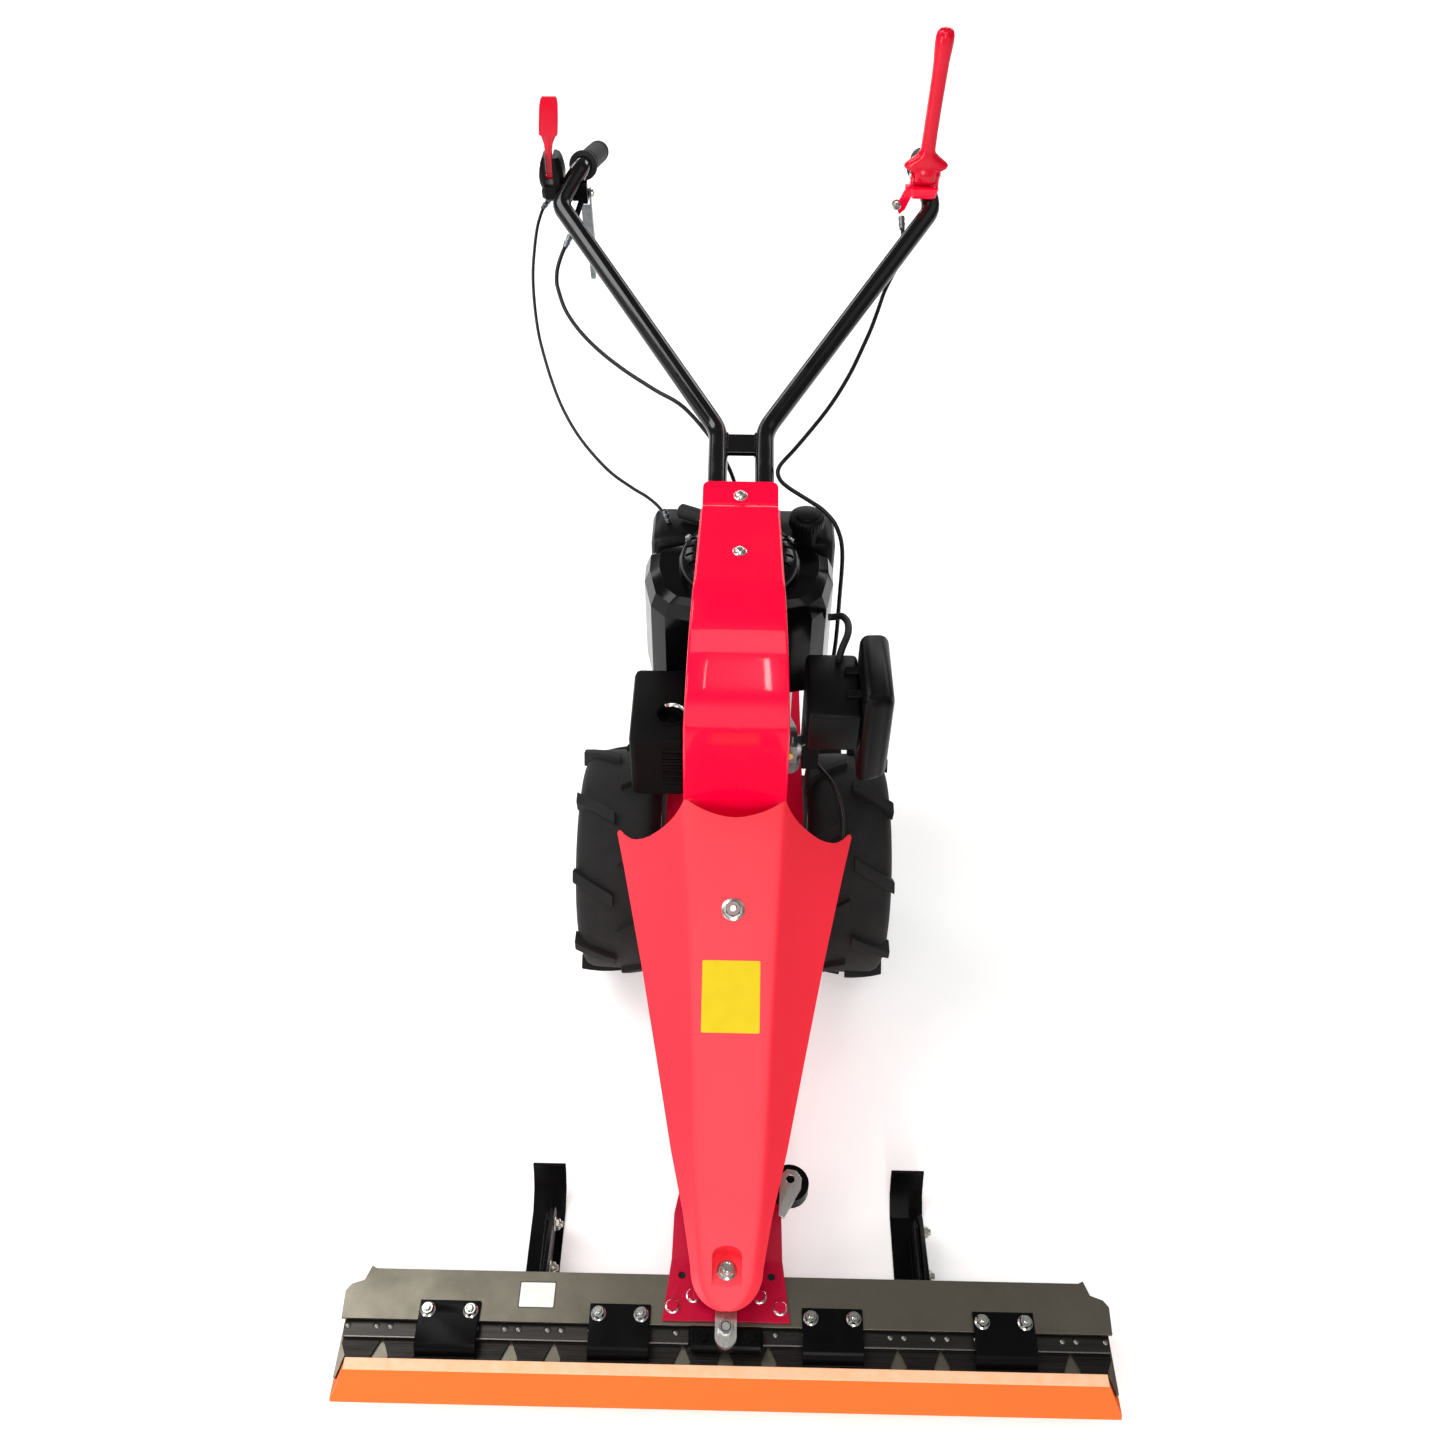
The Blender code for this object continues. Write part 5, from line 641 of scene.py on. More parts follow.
def extruded(piece, height):
    """Draws a flat face up into a closed prism."""
    bpy.ops.object.mode_set(mode="EDIT")
    bpy.ops.mesh.select_all(action="SELECT")
    bpy.ops.mesh.extrude_region_move(TRANSFORM_OT_translate={"value": (0.0, 0.0, height)})
    bpy.ops.mesh.select_all(action="SELECT")
    bpy.ops.mesh.normals_make_consistent(inside=False)
    bpy.ops.object.mode_set(mode="OBJECT")
    return piece


def rounded_label(name, width, length, radius, thickness, material):
    """A flat sticker with rounded corners, lying on the origin."""
    selected()
    bpy.ops.mesh.primitive_plane_add(size=1.0)
    label = bpy.context.object
    label.scale = (width, length, 1.0)
    flush(label, name, material)
    bpy.ops.object.mode_set(mode="EDIT")
    bpy.ops.mesh.select_all(action="SELECT")
    bpy.ops.mesh.bevel(offset=radius, segments=5, affect="VERTICES")
    bpy.ops.object.mode_set(mode="OBJECT")
    return extruded(label, thickness)


plate_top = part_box("back_plate")[1].z
for name, width, length, height, material in (
    ("bar_label_border", 0.0432, 0.031, 0.0002, label_ink),
    ("bar_label", 0.0405, 0.0285, 0.0003, white_vinyl),
):
    label = rounded_label(name, width, length, 0.0012, height, material)
    label.data.transform(Matrix.Translation((-0.2235, -0.5905 + AXLE_Y, plate_top)))
    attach(label, "machine")


# Knife: hardened sections riveted in pairs to a dark steel back bar. The sections' slanted edges are
# serrated underneath; the bar's front edge is ground bright. The knife head is a black block on two bolts.
knife_steel = finish("hardened_knife_steel", "#55504C", 0.42, Metallic=1.0)
# Scale and oil darken the steel in streaks 3 mm wide along the bar. The serrations under the
# sections are drawn 10 mm apart, coarser than real ones, so that they show.
tinted(knife_steel, noise(knife_steel, 1.0, 5.0, (16.0, 340.0, 340.0)), "#1C1A19", "#3C3936")
embossed(knife_steel, waves(knife_steel, 98.0, 0.0, bands_direction="Y"), 0.25, 0.0004)
# Rolling scale streaks the bar brown and grey along its length.
knife_bar_steel = finish(
    "scaled_rolled_steel_bar", "#6B6762", 0.38, tones=(1.0, 5.0, "#2A2827", "#4C4946", (16.0, 340.0, 340.0)),
    Metallic=1.0
)
knife = refined("knife", knife_steel, 0.0004)
knife.data.materials.append(knife_bar_steel)
bar_base = 0.0603
for face in knife.data.polygons:
    if face.center.z > bar_base:
        face.material_index = 1
knife_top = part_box("knife")[1].z
# Peening leaves light and dark dents 2 mm across.
rivet_steel = finish(
    "peened_steel_rivet", "#7C7873", 0.38, tones=(500.0, 2.0, "#5E5B57", "#9A958F"), Metallic=1.0
)
rivet = turned(
    "rivet", [(0.0, 0.0009), (0.0014, 0.0009), (0.0028, 0.0004), (0.0034, 0.0), (0.0, 0.0)], rivet_steel, 20
)
ring = turned("rivet_ring", [(0.0037, 0.0), (0.004, 0.0003), (0.0043, 0.0)], knife_steel, 20)
rivet = joined("rivet", [rivet, ring])
places = []
for i in range(18):
    for side in (-0.017, 0.017):
        x = -0.425 + 0.05 * i + side
        if abs(x) > 0.046:
            places.append((x, -0.627 + AXLE_Y, knife_top))
set_of("knife_rivets", rivet, places, "knife")
bpy.data.objects.remove(rivet)


def block(name, size, centre, material, turn=(0.0, 0.0, 0.0)):
    """A box of a given size about its centre."""
    selected()
    bpy.ops.mesh.primitive_cube_add(size=1.0, location=centre, rotation=turn)
    bpy.context.object.scale = size
    return flush(bpy.context.object, name, material)


# The bar's ground front edge, a bright line along its top corner.
edge_place = (0.0, -0.6391 + AXLE_Y, knife_top - 0.0006)
ground_edge = broken_edges(
    block("knife_ground_edge", (0.889, 0.0016, 0.0018), edge_place, rivet_steel), 0.0004
)
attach(ground_edge, "knife")
# The enamel pools into a soft orange peel of 3 mm and is rubbed duller in places.
black_enamel = finish(
    "black_enamel_on_pressed_steel", "#060607", 0.28, sheen=(40.0, 4.0, 0.18, 0.42),
    relief=(330.0, 2.0, 0.15, 0.0004), Specular_IOR_Level=0.09
)
# The slot's floor is 0.9 mm thick, so its edges are broken by less than half of that.
refined("knife_head", black_enamel, 0.0004)


# Hold-downs: four pressed clips over the knife in black enamel, each on two M8 studs with flange
# nuts; the stud ends stand out of the nuts.
flange = turned("flange", flange_profile(0.0086, 0.002), zinc_plate, 40)
nut = hexagon(0.013, 0.0012, 0.0072, zinc_plate)
stud_profile = [(0.0, 0.0105), (0.003, 0.0105), (0.0038, 0.0098)]
for i in range(4):
    stud_profile += [(0.004, 0.0094 - i * 0.001), (0.0035, 0.0089 - i * 0.001)]
stud_profile += [(0.0035, 0.0), (0.0, 0.0)]
stud = turned("stud", stud_profile, zinc_plate, 28)
flange_nut = joined("flange_nut", [flange, nut, stud])
clip_seat = plate_top + 0.0038
CLIP_CENTRES = (-0.3235, -0.124, 0.124, 0.3235)
places = []
for number, centre in enumerate(CLIP_CENTRES, start=1):
    refined(f"hold_down_{number}", black_enamel, 0.001)
    places += [(centre + side * 0.025, -0.612 + AXLE_Y, clip_seat) for side in (-1, 1)]
set_of("hold_down_nuts", flange_nut, places, "machine")
# Each clip's front lip has a pressed bead in its middle, which stiffens it.
beads = []
for centre in CLIP_CENTRES:
    bead = block("bead", (0.019, 0.0085, 0.0036), (centre, -0.6662 + AXLE_Y, 0.064), black_enamel)
    beads.append(broken_edges(bead, 0.0014, segments=3))
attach(joined("hold_down_beads", beads), "machine")


# Skids: black enamelled runner shoes with an upright lug, held to the bar's black upright plates by
# two bolts in slots, which set the cutting height.
bar_plate = bpy.data.objects["back_plate_finished"]
bar_plate.data.materials.append(black_enamel)
for face in bar_plate.data.polygons:
    if face.center.z < plate_top - 0.0045:
        face.material_index = 1
for side, centre in (("left", -0.23), ("right", 0.23)):
    refined(f"skid_{side}", black_enamel, 0.001)
    face = centre + 0.021 - 0.01 + 0.0025
    bolts = [(face, y + AXLE_Y, 0.042) for y in (-0.545, -0.49)]
    set_of(f"skid_{side}_bolts", flange_nut, bolts, f"skid_{side}", ACROSS)
bpy.data.objects.remove(flange_nut)


# Transport guard: an orange polyethylene channel pushed over the fingers, its ends cut slanted.
# Extrusion draws faint lines along it about 1.5 mm apart; light scatters a little under the skin.
orange_polyethylene = finish(
    "extruded_orange_polyethylene", "#FF6A12", 0.3, tones=(9.0, 3.0, "#FF7010", "#FF660A"),
    relief=(1.0, 2.0, 0.1, 0.0002, (4.0, 700.0, 700.0)), Specular_IOR_Level=0.3, Coat_Weight=0.08,
    Coat_Roughness=0.15
)
# The channel's upward-facing top is painted paler orange as a painted highlight, uneven in streaks of about
# 10 mm.
top_highlight_polyethylene = finish(
    "orange_polyethylene_with_painted_highlight", "#FFC394", 0.42, tones=(90.0, 3.0, "#FFB47C", "#FFD2B0")
)
guard = refined("transport_guard", orange_polyethylene, 0.0007)
guard.data.materials.append(top_highlight_polyethylene)
# Faces that look upwards on the top take the pale orange: a painted highlight.
for face in guard.data.polygons:
    if face.normal.z > 0.6 and face.center.z > 0.066:
        face.material_index = 1


# Side bracket: a black enamelled boss at the nose's right side, with a zinc-plated pressed lug on it
# that has one raised edge and a bored eye.
refined("side_bracket", black_enamel, 0.002)
refined("bracket_lug", bright_steel, 0.0007)


# Front cover: one red moulding, a flat middle panel with a sloping wing on each side, open above and
# rounded at its nose. A nut holds its middle, and a bolt in the nose pocket its front.
red_moulding = finish(
    "satin_moulded_red_abs", "#FF263A", 0.4, Subsurface_Weight=0.04, Subsurface_Radius=(0.004, 0.001, 0.001)
)
# Moulded ABS has a soft grain of about half a millimetre and slow changes of tone where it cooled.
tone = noise(red_moulding, 7.0, 3.0)
tinted(red_moulding, tone, "#FF2C40", "#F82236")
dulled(red_moulding, tone, 0.36, 0.48)
embossed(red_moulding, noise(red_moulding, 1600.0, 2.0), 0.1, 0.0003)


def carved(piece, *tools):
    """Cuts closed tools out of a piece and removes them."""
    for tool in tools:
        apply(piece, "BOOLEAN", operation="DIFFERENCE", object=tool, solver="EXACT")
        bpy.data.objects.remove(tool)
    return piece


def closed(piece, merge=0.0, cut_plane=None):
    """Fills a mesh's openings and turns its faces outwards, after a cut that clears the plane's far side."""
    shape = bmesh.new()
    shape.from_mesh(piece.data)
    if merge:
        bmesh.ops.remove_doubles(shape, verts=shape.verts, dist=merge)
    if cut_plane:
        parts = shape.verts[:] + shape.edges[:] + shape.faces[:]
        point, normal = cut_plane
        bmesh.ops.bisect_plane(shape, geom=parts, plane_co=point, plane_no=normal, clear_outer=True)
    bmesh.ops.holes_fill(shape, edges=[edge for edge in shape.edges if edge.is_boundary])
    bmesh.ops.recalc_face_normals(shape, faces=shape.faces)
    shape.to_mesh(piece.data)
    shape.free()
    return piece


def sheet(name, rows, thickness, material):
    """A flat grid laid on rows of points and given a wall below its face."""
    selected()
    bpy.ops.mesh.primitive_grid_add(x_subdivisions=len(rows[0]) - 1, y_subdivisions=len(rows) - 1, size=1.0)
    piece = bpy.context.object
    for vert, point in zip(piece.data.vertices, [point for row in rows for point in row]):
        vert.co = point
    flush(piece, name, material)
    apply(piece, "SOLIDIFY", thickness=thickness, offset=-1.0, use_even_offset=True)
    return piece


def between(table, at):
    """The value at a place, between the rows of a table of (place, value)."""
    for (a, low), (b, high) in zip(table, table[1:]):
        if at <= b:
            t = (at - a) / (b - a)
            return low + (high - low) * t
    return table[-1][1]


COVER_SLOPE = 0.5463
WING_SLOPE = 0.88
WING_EASING = 0.16
WING_SWEEP = 0.084
CREASE_ROUNDING = 0.004


def cover_height(y):
    """Height of the cover's middle panel, sloping down to the front."""
    return 0.399 + (y + 0.088) * COVER_SLOPE


crease_table = [
    (0.091, 0.065), (0.137, 0.0608), (0.245, 0.0549), (0.346, 0.0497), (0.455, 0.0447), (0.522, 0.04),
    (0.575, 0.0335)
]
edge_table = [
    (0.091, 0.153), (0.137, 0.1405), (0.245, 0.115), (0.346, 0.093), (0.455, 0.0697), (0.522, 0.0528),
    (0.575, 0.0425)
]
arc = [
    (0.0, -0.02), (0.25, -0.0186), (0.5, -0.0144), (0.65, -0.0108), (0.8, -0.0062), (0.92, -0.0015),
    (1.0, 0.0012), (1.04, -0.005), (1.1, -0.0105), (1.2, -0.015), (1.33, -0.018), (1.5, -0.019),
    (1.66, -0.0166), (1.8, -0.01), (1.9, -0.001), (1.95, 0.005), (1.98, 0.0064), (2.0, 0.0038)
]
columns = [
    0.0, 0.2, 0.4, 0.6, 0.75, 0.86, 0.93, 0.97, 1.0, 1.03, 1.07, 1.13, 1.2, 1.3, 1.4, 1.5, 1.6, 1.7, 1.78,
    1.85, 1.9, 1.95, 1.98, 2.0
]
COVER_BACK, NOSE_START = 0.091, 0.575
NOSE_LENGTH, NOSE_RADIUS = 0.0432, 0.0425
stations = [COVER_BACK + 0.484 * i / 60 for i in range(61)]
for angle in (10, 20, 30, 40, 48, 56, 63, 70, 76, 81, 85):
    stations.append(NOSE_START + NOSE_LENGTH * math.sin(math.radians(angle)))
rows = []
for station in stations:
    if station <= NOSE_START:
        crease, edge = between(crease_table, station), between(edge_table, station)
    else:
        edge = NOSE_RADIUS * math.sqrt(1.0 - ((station - NOSE_START) / NOSE_LENGTH) ** 2)
        crease = edge * 0.788
    fading = max(0.0, 1.0 - (station - COVER_BACK) / 0.05)
    half = []
    for across in columns:
        out = max(across - 1.0, 0.0) * (edge - crease)
        x = min(across, 1.0) * crease + out
        along = -station + between(arc, across) * fading - WING_SWEEP * out
        ramp = (x - crease + math.sqrt((x - crease) ** 2 + CREASE_ROUNDING**2)) / 2
        fall = WING_SLOPE * ramp - WING_EASING * ramp**2 / max(edge - crease, 0.004)
        half.append((x, along + AXLE_Y, cover_height(along) - fall))
    rows.append([(-x, y, z) for x, y, z in reversed(half[1:])] + half)
cover = sheet("front_cover_moulding", rows[::-1], 0.0026, red_moulding)
# The pocket: a D-shaped cup is joined on below the panel and then hollowed from above.
pocket_floor = 0.1225
pocket_y = -0.577 + AXLE_Y


def pocket_block(half_width, front, straight_back, low, high):
    """A prism with a straight front and a half-round back, for the pocket's cup and its hollow."""
    outline = [(-half_width, front), (half_width, front)]
    for i in range(13):
        angle = math.pi * i / 12
        outline.append((half_width * math.cos(angle), straight_back + half_width * 0.55 * math.sin(angle)))
    selected()
    bpy.ops.mesh.primitive_circle_add(vertices=len(outline), fill_type="NGON")
    prism = bpy.context.object
    for vert, (x, y) in zip(prism.data.vertices, outline):
        vert.co = (x, y, low)
    return flush(extruded(prism, high - low), "pocket_block", red_moulding)


cup = pocket_block(0.02, pocket_y - 0.013, pocket_y + 0.012, pocket_floor - 0.0025, pocket_floor + 0.04)
panel_normal = Vector((0.0, -COVER_SLOPE, 1.0)).normalized()
closed(cup, cut_plane=(Vector((0.0, pocket_y, cover_height(-0.577) - 0.0006)), panel_normal))
hollow = pocket_block(0.0174, pocket_y - 0.025, pocket_y + 0.011, pocket_floor, pocket_floor + 0.06)
apply(cover, "BOOLEAN", operation="UNION", object=cup, solver="EXACT")
carved(cover, hollow)
bpy.data.objects.remove(cup)
broken_edges(cover, 0.0009, 50.0)
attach(cover, "machine")
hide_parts("front_cover")
# The pocket's bolt, M10 with a 23 mm flange, and the middle's M10 flange nut on its stud.
flange = turned("flange", flange_profile(0.0116, 0.0026), zinc_plate, 48)
head = hexagon(0.0155, 0.0018, 0.0096, zinc_plate)
ring = turned("rim", [(0.0045, 0.0094), (0.0054, 0.0102), (0.0064, 0.0094)], zinc_plate, 32)
pocket_bolt = joined("pocket_bolt_master", [flange, head, ring])
set_of("cover_pocket_bolt", pocket_bolt, [(0.0, pocket_y, pocket_floor + 0.0001)], "machine")
bpy.data.objects.remove(pocket_bolt)
flange = turned("flange", flange_profile(0.0142, 0.0024), zinc_plate, 48)
nut = hexagon(0.018, 0.0012, 0.0085, rivet_steel)
stud = turned("stud", [(x * 1.2, z * 1.1) for x, z in stud_profile], zinc_plate, 28)
cover_nut = joined("cover_nut_master", [flange, nut, stud])
nut_seat = Vector((0.0, -0.2135 + AXLE_Y, cover_height(-0.2135)))
set_of("cover_nut", cover_nut, [nut_seat + panel_normal * 0.0001], "machine", panel_normal)
bpy.data.objects.remove(cover_nut)
# A blank yellow vinyl label, 71 x 87 mm, lies on the middle panel.
# The film is slightly rippled and uneven in tone over about 15 mm.
yellow_vinyl = finish(
    "yellow_vinyl_label", "#E6C800", 0.42, tones=(60.0, 3.0, "#EACC08", "#DFC000"),
    relief=(60.0, 3.0, 0.1, 0.0006), Specular_IOR_Level=0.2
)
label = rounded_label("cover_label", 0.0712, 0.087, 0.002, 0.00025, yellow_vinyl)
label_y = -0.307
lean = Matrix.Rotation(math.atan(COVER_SLOPE), 4, "X")
label_place = Vector((-0.001, label_y + AXLE_Y, cover_height(label_y))) + panel_normal * 0.00005
label.data.transform(Matrix.Translation(label_place) @ lean)
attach(label, "machine")


# Arch column: one red powder-coated strip of 3 mm steel with folded side flanges, from the deck up
# and over the engine to the handlebar, narrowing to a stepped tab; two flange bolts hold the bar.
arch_table = [(-0.078, 0.2723, 0.0665), (-0.088, 0.38, 0.0665), (-0.097, 0.47, 0.0655)]
for i in range(33):
    angle = math.radians(180 - i * 90 / 32)
    arch_table.append(
        (0.035 + 0.135 * math.cos(angle), 0.53 + 0.135 * math.sin(angle), 0.0645 - 0.0105 * i / 32)
    )
arch_table += [(0.067, 0.6665, 0.053), (0.0997, 0.668, 0.052), (0.1548, 0.6721, 0.05)]
smooth = smooth_route(arch_table[:4], 6)[:-1] + smooth_route(arch_table[3:36], 1)[:-1]
smooth += smooth_route(arch_table[35:], 5)
fold = 0.0035
rows = []
for i, point in enumerate(smooth):
    run = smooth[min(i + 1, len(smooth) - 1)] - smooth[max(i - 1, 0)]
    run = Vector((0.0, run.x, run.y)).normalized()
    inward = Vector((0.0, run.z, -run.y))
    half, y, z = point.z, point.x, point.y
    across = [(half, 0.012), (half, 0.008), (half, fold)]
    across += [(half - fold * (1 - math.cos(a)), fold * (1 - math.sin(a))) for a in (0.4, 0.8, 1.2)]
    across += [(half - fold, 0.0), (half * 0.5, 0.0)]
    side = [(x, Vector((x, y + AXLE_Y, z)) + inward * depth) for x, depth in across]
    left = [Vector((-p.x, p.y, p.z)) for x, p in side]
    middle = Vector((0.0, y + AXLE_Y, z))
    rows.append([*left, middle, *[p for x, p in reversed(side)]])
column = sheet("arch_column_strip", rows, 0.003, red_powder_coat)
# The tab turns up behind a crease that the folding tool left as a groove 2 mm wide.
tab_rows = []
tab_line = [
    (0.1503, 0.6717), (0.157, 0.6722), (0.1616, 0.6726), (0.162, 0.6722), (0.163, 0.6719), (0.164, 0.6723),
    (0.1644, 0.673), (0.17, 0.6743), (0.18, 0.6766), (0.19, 0.679), (0.193, 0.6796), (0.1955, 0.6802),
    (0.1975, 0.6807), (0.199, 0.681), (0.1999, 0.6812), (0.2002, 0.6813)
]
for y, z in tab_line:
    corner = max(0.0, y - 0.1912) / 0.009
    half = 0.048 - 0.009 * (1 - math.sqrt(max(0.0, 1 - corner**2)))
    tab_rows.append([(half * t, y + AXLE_Y, z + 0.0001) for t in (-1.0, -0.9, -0.5, 0.0, 0.5, 0.9, 1.0)])
tab = sheet("arch_column_tab", tab_rows, 0.003, red_powder_coat)
column = joined("arch_column_strip", [column, tab])
broken_edges(column, 0.0008, 50.0)
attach(column, "machine")
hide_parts("arch_column")
seats = [Vector((0.0, 0.0742 + AXLE_Y, 0.6669)), Vector((0.0, 0.1768 + AXLE_Y, 0.676))]
flange = turned("flange", flange_profile(0.0085, 0.0014), zinc_plate, 40)
dome = turned(
    "dome",
    [(0.0, 0.0056), (0.003, 0.0053), (0.0054, 0.0043), (0.007, 0.0026), (0.0076, 0.001), (0.0, 0.001)],
    zinc_plate, 32
)
dome_bolt = joined("dome_bolt", [flange, dome])
arch_bolts = [moved_copy(dome_bolt, seat, (0.0, -rise, 1.0)) for seat, rise in zip(seats, (0.0464, 0.2312))]
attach(joined("arch_bolts", arch_bolts), "machine")
bpy.data.objects.remove(dome_bolt)


# Engine: a small upright-shaft engine, its barrel lying forward with cast cooling fins, its head
# bolted on at the front with a spark plug, all in bare die-cast aluminium.
refined("engine_block", cast_aluminium, 0.0007)
refined("cylinder_head", cast_aluminium, 0.0007)
refined("carburettor", cast_aluminium, 0.0007)
engine_y = 0.14 + AXLE_Y
places = [(x, -0.034 + AXLE_Y, z) for x in (-0.044, 0.044) for z in (0.322, 0.42)]
set_of("head_bolts", flange_bolt, places, "machine", (0.0, -1.0, 0.0))
places = [
    (x, y + AXLE_Y, 0.2805) for x, y in ((-0.083, 0.115), (0.083, 0.115), (-0.06, 0.197), (0.06, 0.197))
]
set_of("engine_mount_bolts", flange_bolt, places, "machine")
bpy.data.objects.remove(flange_bolt)
# The glaze's gloss varies a little, as on fired porcelain.
white_ceramic = finish("glazed_alumina", "#EDEBE4", 0.18, Coat_Weight=0.6)
drive(white_ceramic, Coat_Roughness=noise(white_ceramic, 220.0, 2.0))
outward = (-1.0, 0.0, 0.0)
plug_seat = Vector((-0.0528, -0.02 + AXLE_Y, 0.345))
shell = turned(
    "plug_shell", [(0.0, 0.0), (0.01, 0.0), (0.01, 0.0025), (0.0088, 0.0035), (0.0088, 0.006), (0.0, 0.006)],
    zinc_plate, 40, centre=plug_seat, axis=outward
)
nut = hexagon(0.016, 0.003, 0.013, zinc_plate)
nut.data.transform(Matrix.Translation(plug_seat) @ Matrix.Rotation(math.radians(-90), 4, "Y"))
ribs = [(0.0, 0.0125), (0.0062, 0.0125)]
for i in range(4):
    ribs += [(0.0062, 0.014 + i * 0.0024), (0.0052, 0.0152 + i * 0.0024)]
ribs += [(0.0048, 0.024), (0.0, 0.024)]
insulator = turned("plug_insulator", ribs, white_ceramic, 40, centre=plug_seat, axis=outward)
# Moulded rubber has a matt grain of 1 mm and is worn paler in patches.
grip_rubber = finish(
    "soft_moulded_grip_rubber", "#161617", 0.62, tones=(45.0, 3.0, "#101011", "#222224"),
    relief=(1100.0, 2.0, 0.3, 0.0003), Specular_IOR_Level=0.3
)
boot_line = [
    (-0.0205, 0.0, 0.0), (-0.027, 0.0, 0.0), (-0.031, 0.0015, 0.0), (-0.0335, 0.006, 0.0),
    (-0.0345, 0.012, 0.0), (-0.0345, 0.021, 0.0)
]
boot = meshed(
    tube("plug_boot", smooth_route([plug_seat + Vector(p) for p in boot_line], 4), 0.0082, grip_rubber, 6)
)
lead_line = [
    (-0.0345, 0.019, 0.0), (-0.0348, 0.032, 0.0), (-0.038, 0.056, 0.002), (-0.0425, 0.086, 0.012),
    (-0.044, 0.102, 0.036), (-0.041, 0.109, 0.07), (-0.033, 0.112, 0.096)
]
lead = meshed(
    tube("plug_lead", smooth_route([plug_seat + Vector(p) for p in lead_line], 5), 0.0035, pvc_jacket, 5)
)
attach(joined("spark_plug", [shell, nut, insulator, boot, lead]), "machine")
# Carburettor fittings: brass jet screw under the bowl, idle screw and plated choke lever.
# Turned brass is clouded in tone over 3 mm.
brass = finish("turned_brass", "#C9A24A", 0.28, tones=(300.0, 3.0, "#B58C38", "#DBB65C"), Metallic=1.0)
carb = Vector((0.069, -0.012 + AXLE_Y, 0.416))
jet = hexagon(0.01, 0.0, 0.005, brass)
jet.data.transform(Matrix.Translation((carb.x, carb.y, 0.3745)))
screw = turned(
    "idle_screw", [(0.0, 0.0), (0.003, 0.0), (0.003, 0.01), (0.0044, 0.01), (0.0044, 0.013), (0.0, 0.013)],
    brass, 24, centre=(carb.x, carb.y - 0.0175, 0.424), axis=(0.0, -1.0, 0.3)
)
post = turned(
    "choke_post",
    [(0.0, 0.0), (0.0032, 0.0), (0.0032, 0.011), (0.006, 0.011), (0.006, 0.0128), (0.0, 0.0128)], zinc_plate,
    24, centre=(carb.x + 0.004, carb.y - 0.006, 0.4325)
)
arm_place = (carb.x + 0.01, carb.y - 0.015, 0.4446)
arm = block("choke_arm", (0.026, 0.006, 0.0014), arm_place, zinc_plate, (0.0, 0.0, math.radians(-55)))
broken_edges(arm, 0.0005)
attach(joined("carburettor_fittings", [jet, screw, post, arm]), "machine")


# Blower housing and recoil starter: black mouldings with a satin skin, the starter's lid vented by
# a ring of slots and held by three bolts, with its pull handle parked at the back left.
# Glass-filled nylon has a grain of about 0.4 mm, drawn at 0.8 mm, and dull flow marks.
black_moulding = finish(
    "satin_black_polyamide", "#060607", 0.36, tones=(12.0, 4.0, "#070708", "#0F0F10"),
    sheen=(12.0, 4.0, 0.26, 0.44), relief=(1200.0, 2.0, 0.22, 0.0003), Specular_IOR_Level=0.1
)
# A wide soft waviness of 30 mm bends the highlights of the gloss skin.
gloss_moulding = finish(
    "gloss_black_polypropylene", "#060607", 0.18, sheen=(35.0, 3.0, 0.1, 0.22),
    relief=(35.0, 3.0, 0.08, 0.0015), Specular_IOR_Level=0.18
)
refined("fan_shroud", gloss_moulding, 0.0014, 20.0)
lid_low = 0.5903
profile = [
    (0.0, 0.0315), (0.013, 0.0315), (0.015, 0.0305), (0.017, 0.029), (0.05, 0.0295), (0.058, 0.0285),
    (0.066, 0.0262), (0.072, 0.0225), (0.0765, 0.0165), (0.078, 0.011), (0.078, 0.0), (0.0755, 0.0),
    (0.0755, 0.011), (0.0738, 0.0155), (0.07, 0.0205), (0.064, 0.024), (0.05, 0.0268), (0.017, 0.0265),
    (0.0, 0.0265)
]
lid = turned("recoil_lid", profile, gloss_moulding, 96, centre=(0.0, engine_y, lid_low))
cutters = []
for ring_radius, count, length in ((0.0365, 12, 0.03), (0.064, 24, 0.011)):
    for i in range(count):
        angle = 2 * math.pi * (i + 0.5) / count
        place = (ring_radius * math.cos(angle), engine_y + ring_radius * math.sin(angle), lid_low + 0.027)
        cutters.append(block("vent", (length, 0.0045, 0.016), place, gloss_moulding, (0.0, 0.0, angle)))
broken_edges(carved(lid, joined("vents", cutters)), 0.0004, 40.0)
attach(lid, "machine")
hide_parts("recoil_housing")
angles = [math.radians(30 + 120 * i) for i in range(3)]
places = [(0.0755 * math.cos(a), engine_y + 0.0755 * math.sin(a), lid_low + 0.015) for a in angles]
head = hexagon(0.008, 0.0012, 0.0055, zinc_plate)
washer = turned("washer", flange_profile(0.0062, 0.0016), zinc_plate, 32)
small_bolt = joined("small_bolt", [head, washer])
copies = [moved_copy(small_bolt, p, (p[0] * 8, (p[1] - engine_y) * 8, 0.8)) for p in places]
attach(joined("recoil_bolts", copies), "machine")
handle_centre = Vector((-0.062, 0.236 + AXLE_Y, 0.602))
selected()
bpy.ops.mesh.primitive_cylinder_add(vertices=40, radius=0.01, depth=0.044)
handle = bpy.context.object
bpy.ops.object.mode_set(mode="EDIT")
bpy.ops.mesh.select_all(action="SELECT")
bpy.ops.mesh.subdivide(number_cuts=1)
bpy.ops.object.mode_set(mode="OBJECT")
apply(handle, "BEVEL", width=0.0045, segments=5, limit_method="ANGLE", angle_limit=math.radians(50))
across = Matrix.Rotation(math.radians(-25), 4, "Z") @ Matrix.Rotation(math.radians(90), 4, "Y")
handle.data.transform(Matrix.Translation(handle_centre) @ across)
flush(handle, "starter_grip", grip_rubber)
bpy.ops.object.shade_smooth_by_angle(angle=math.radians(40))
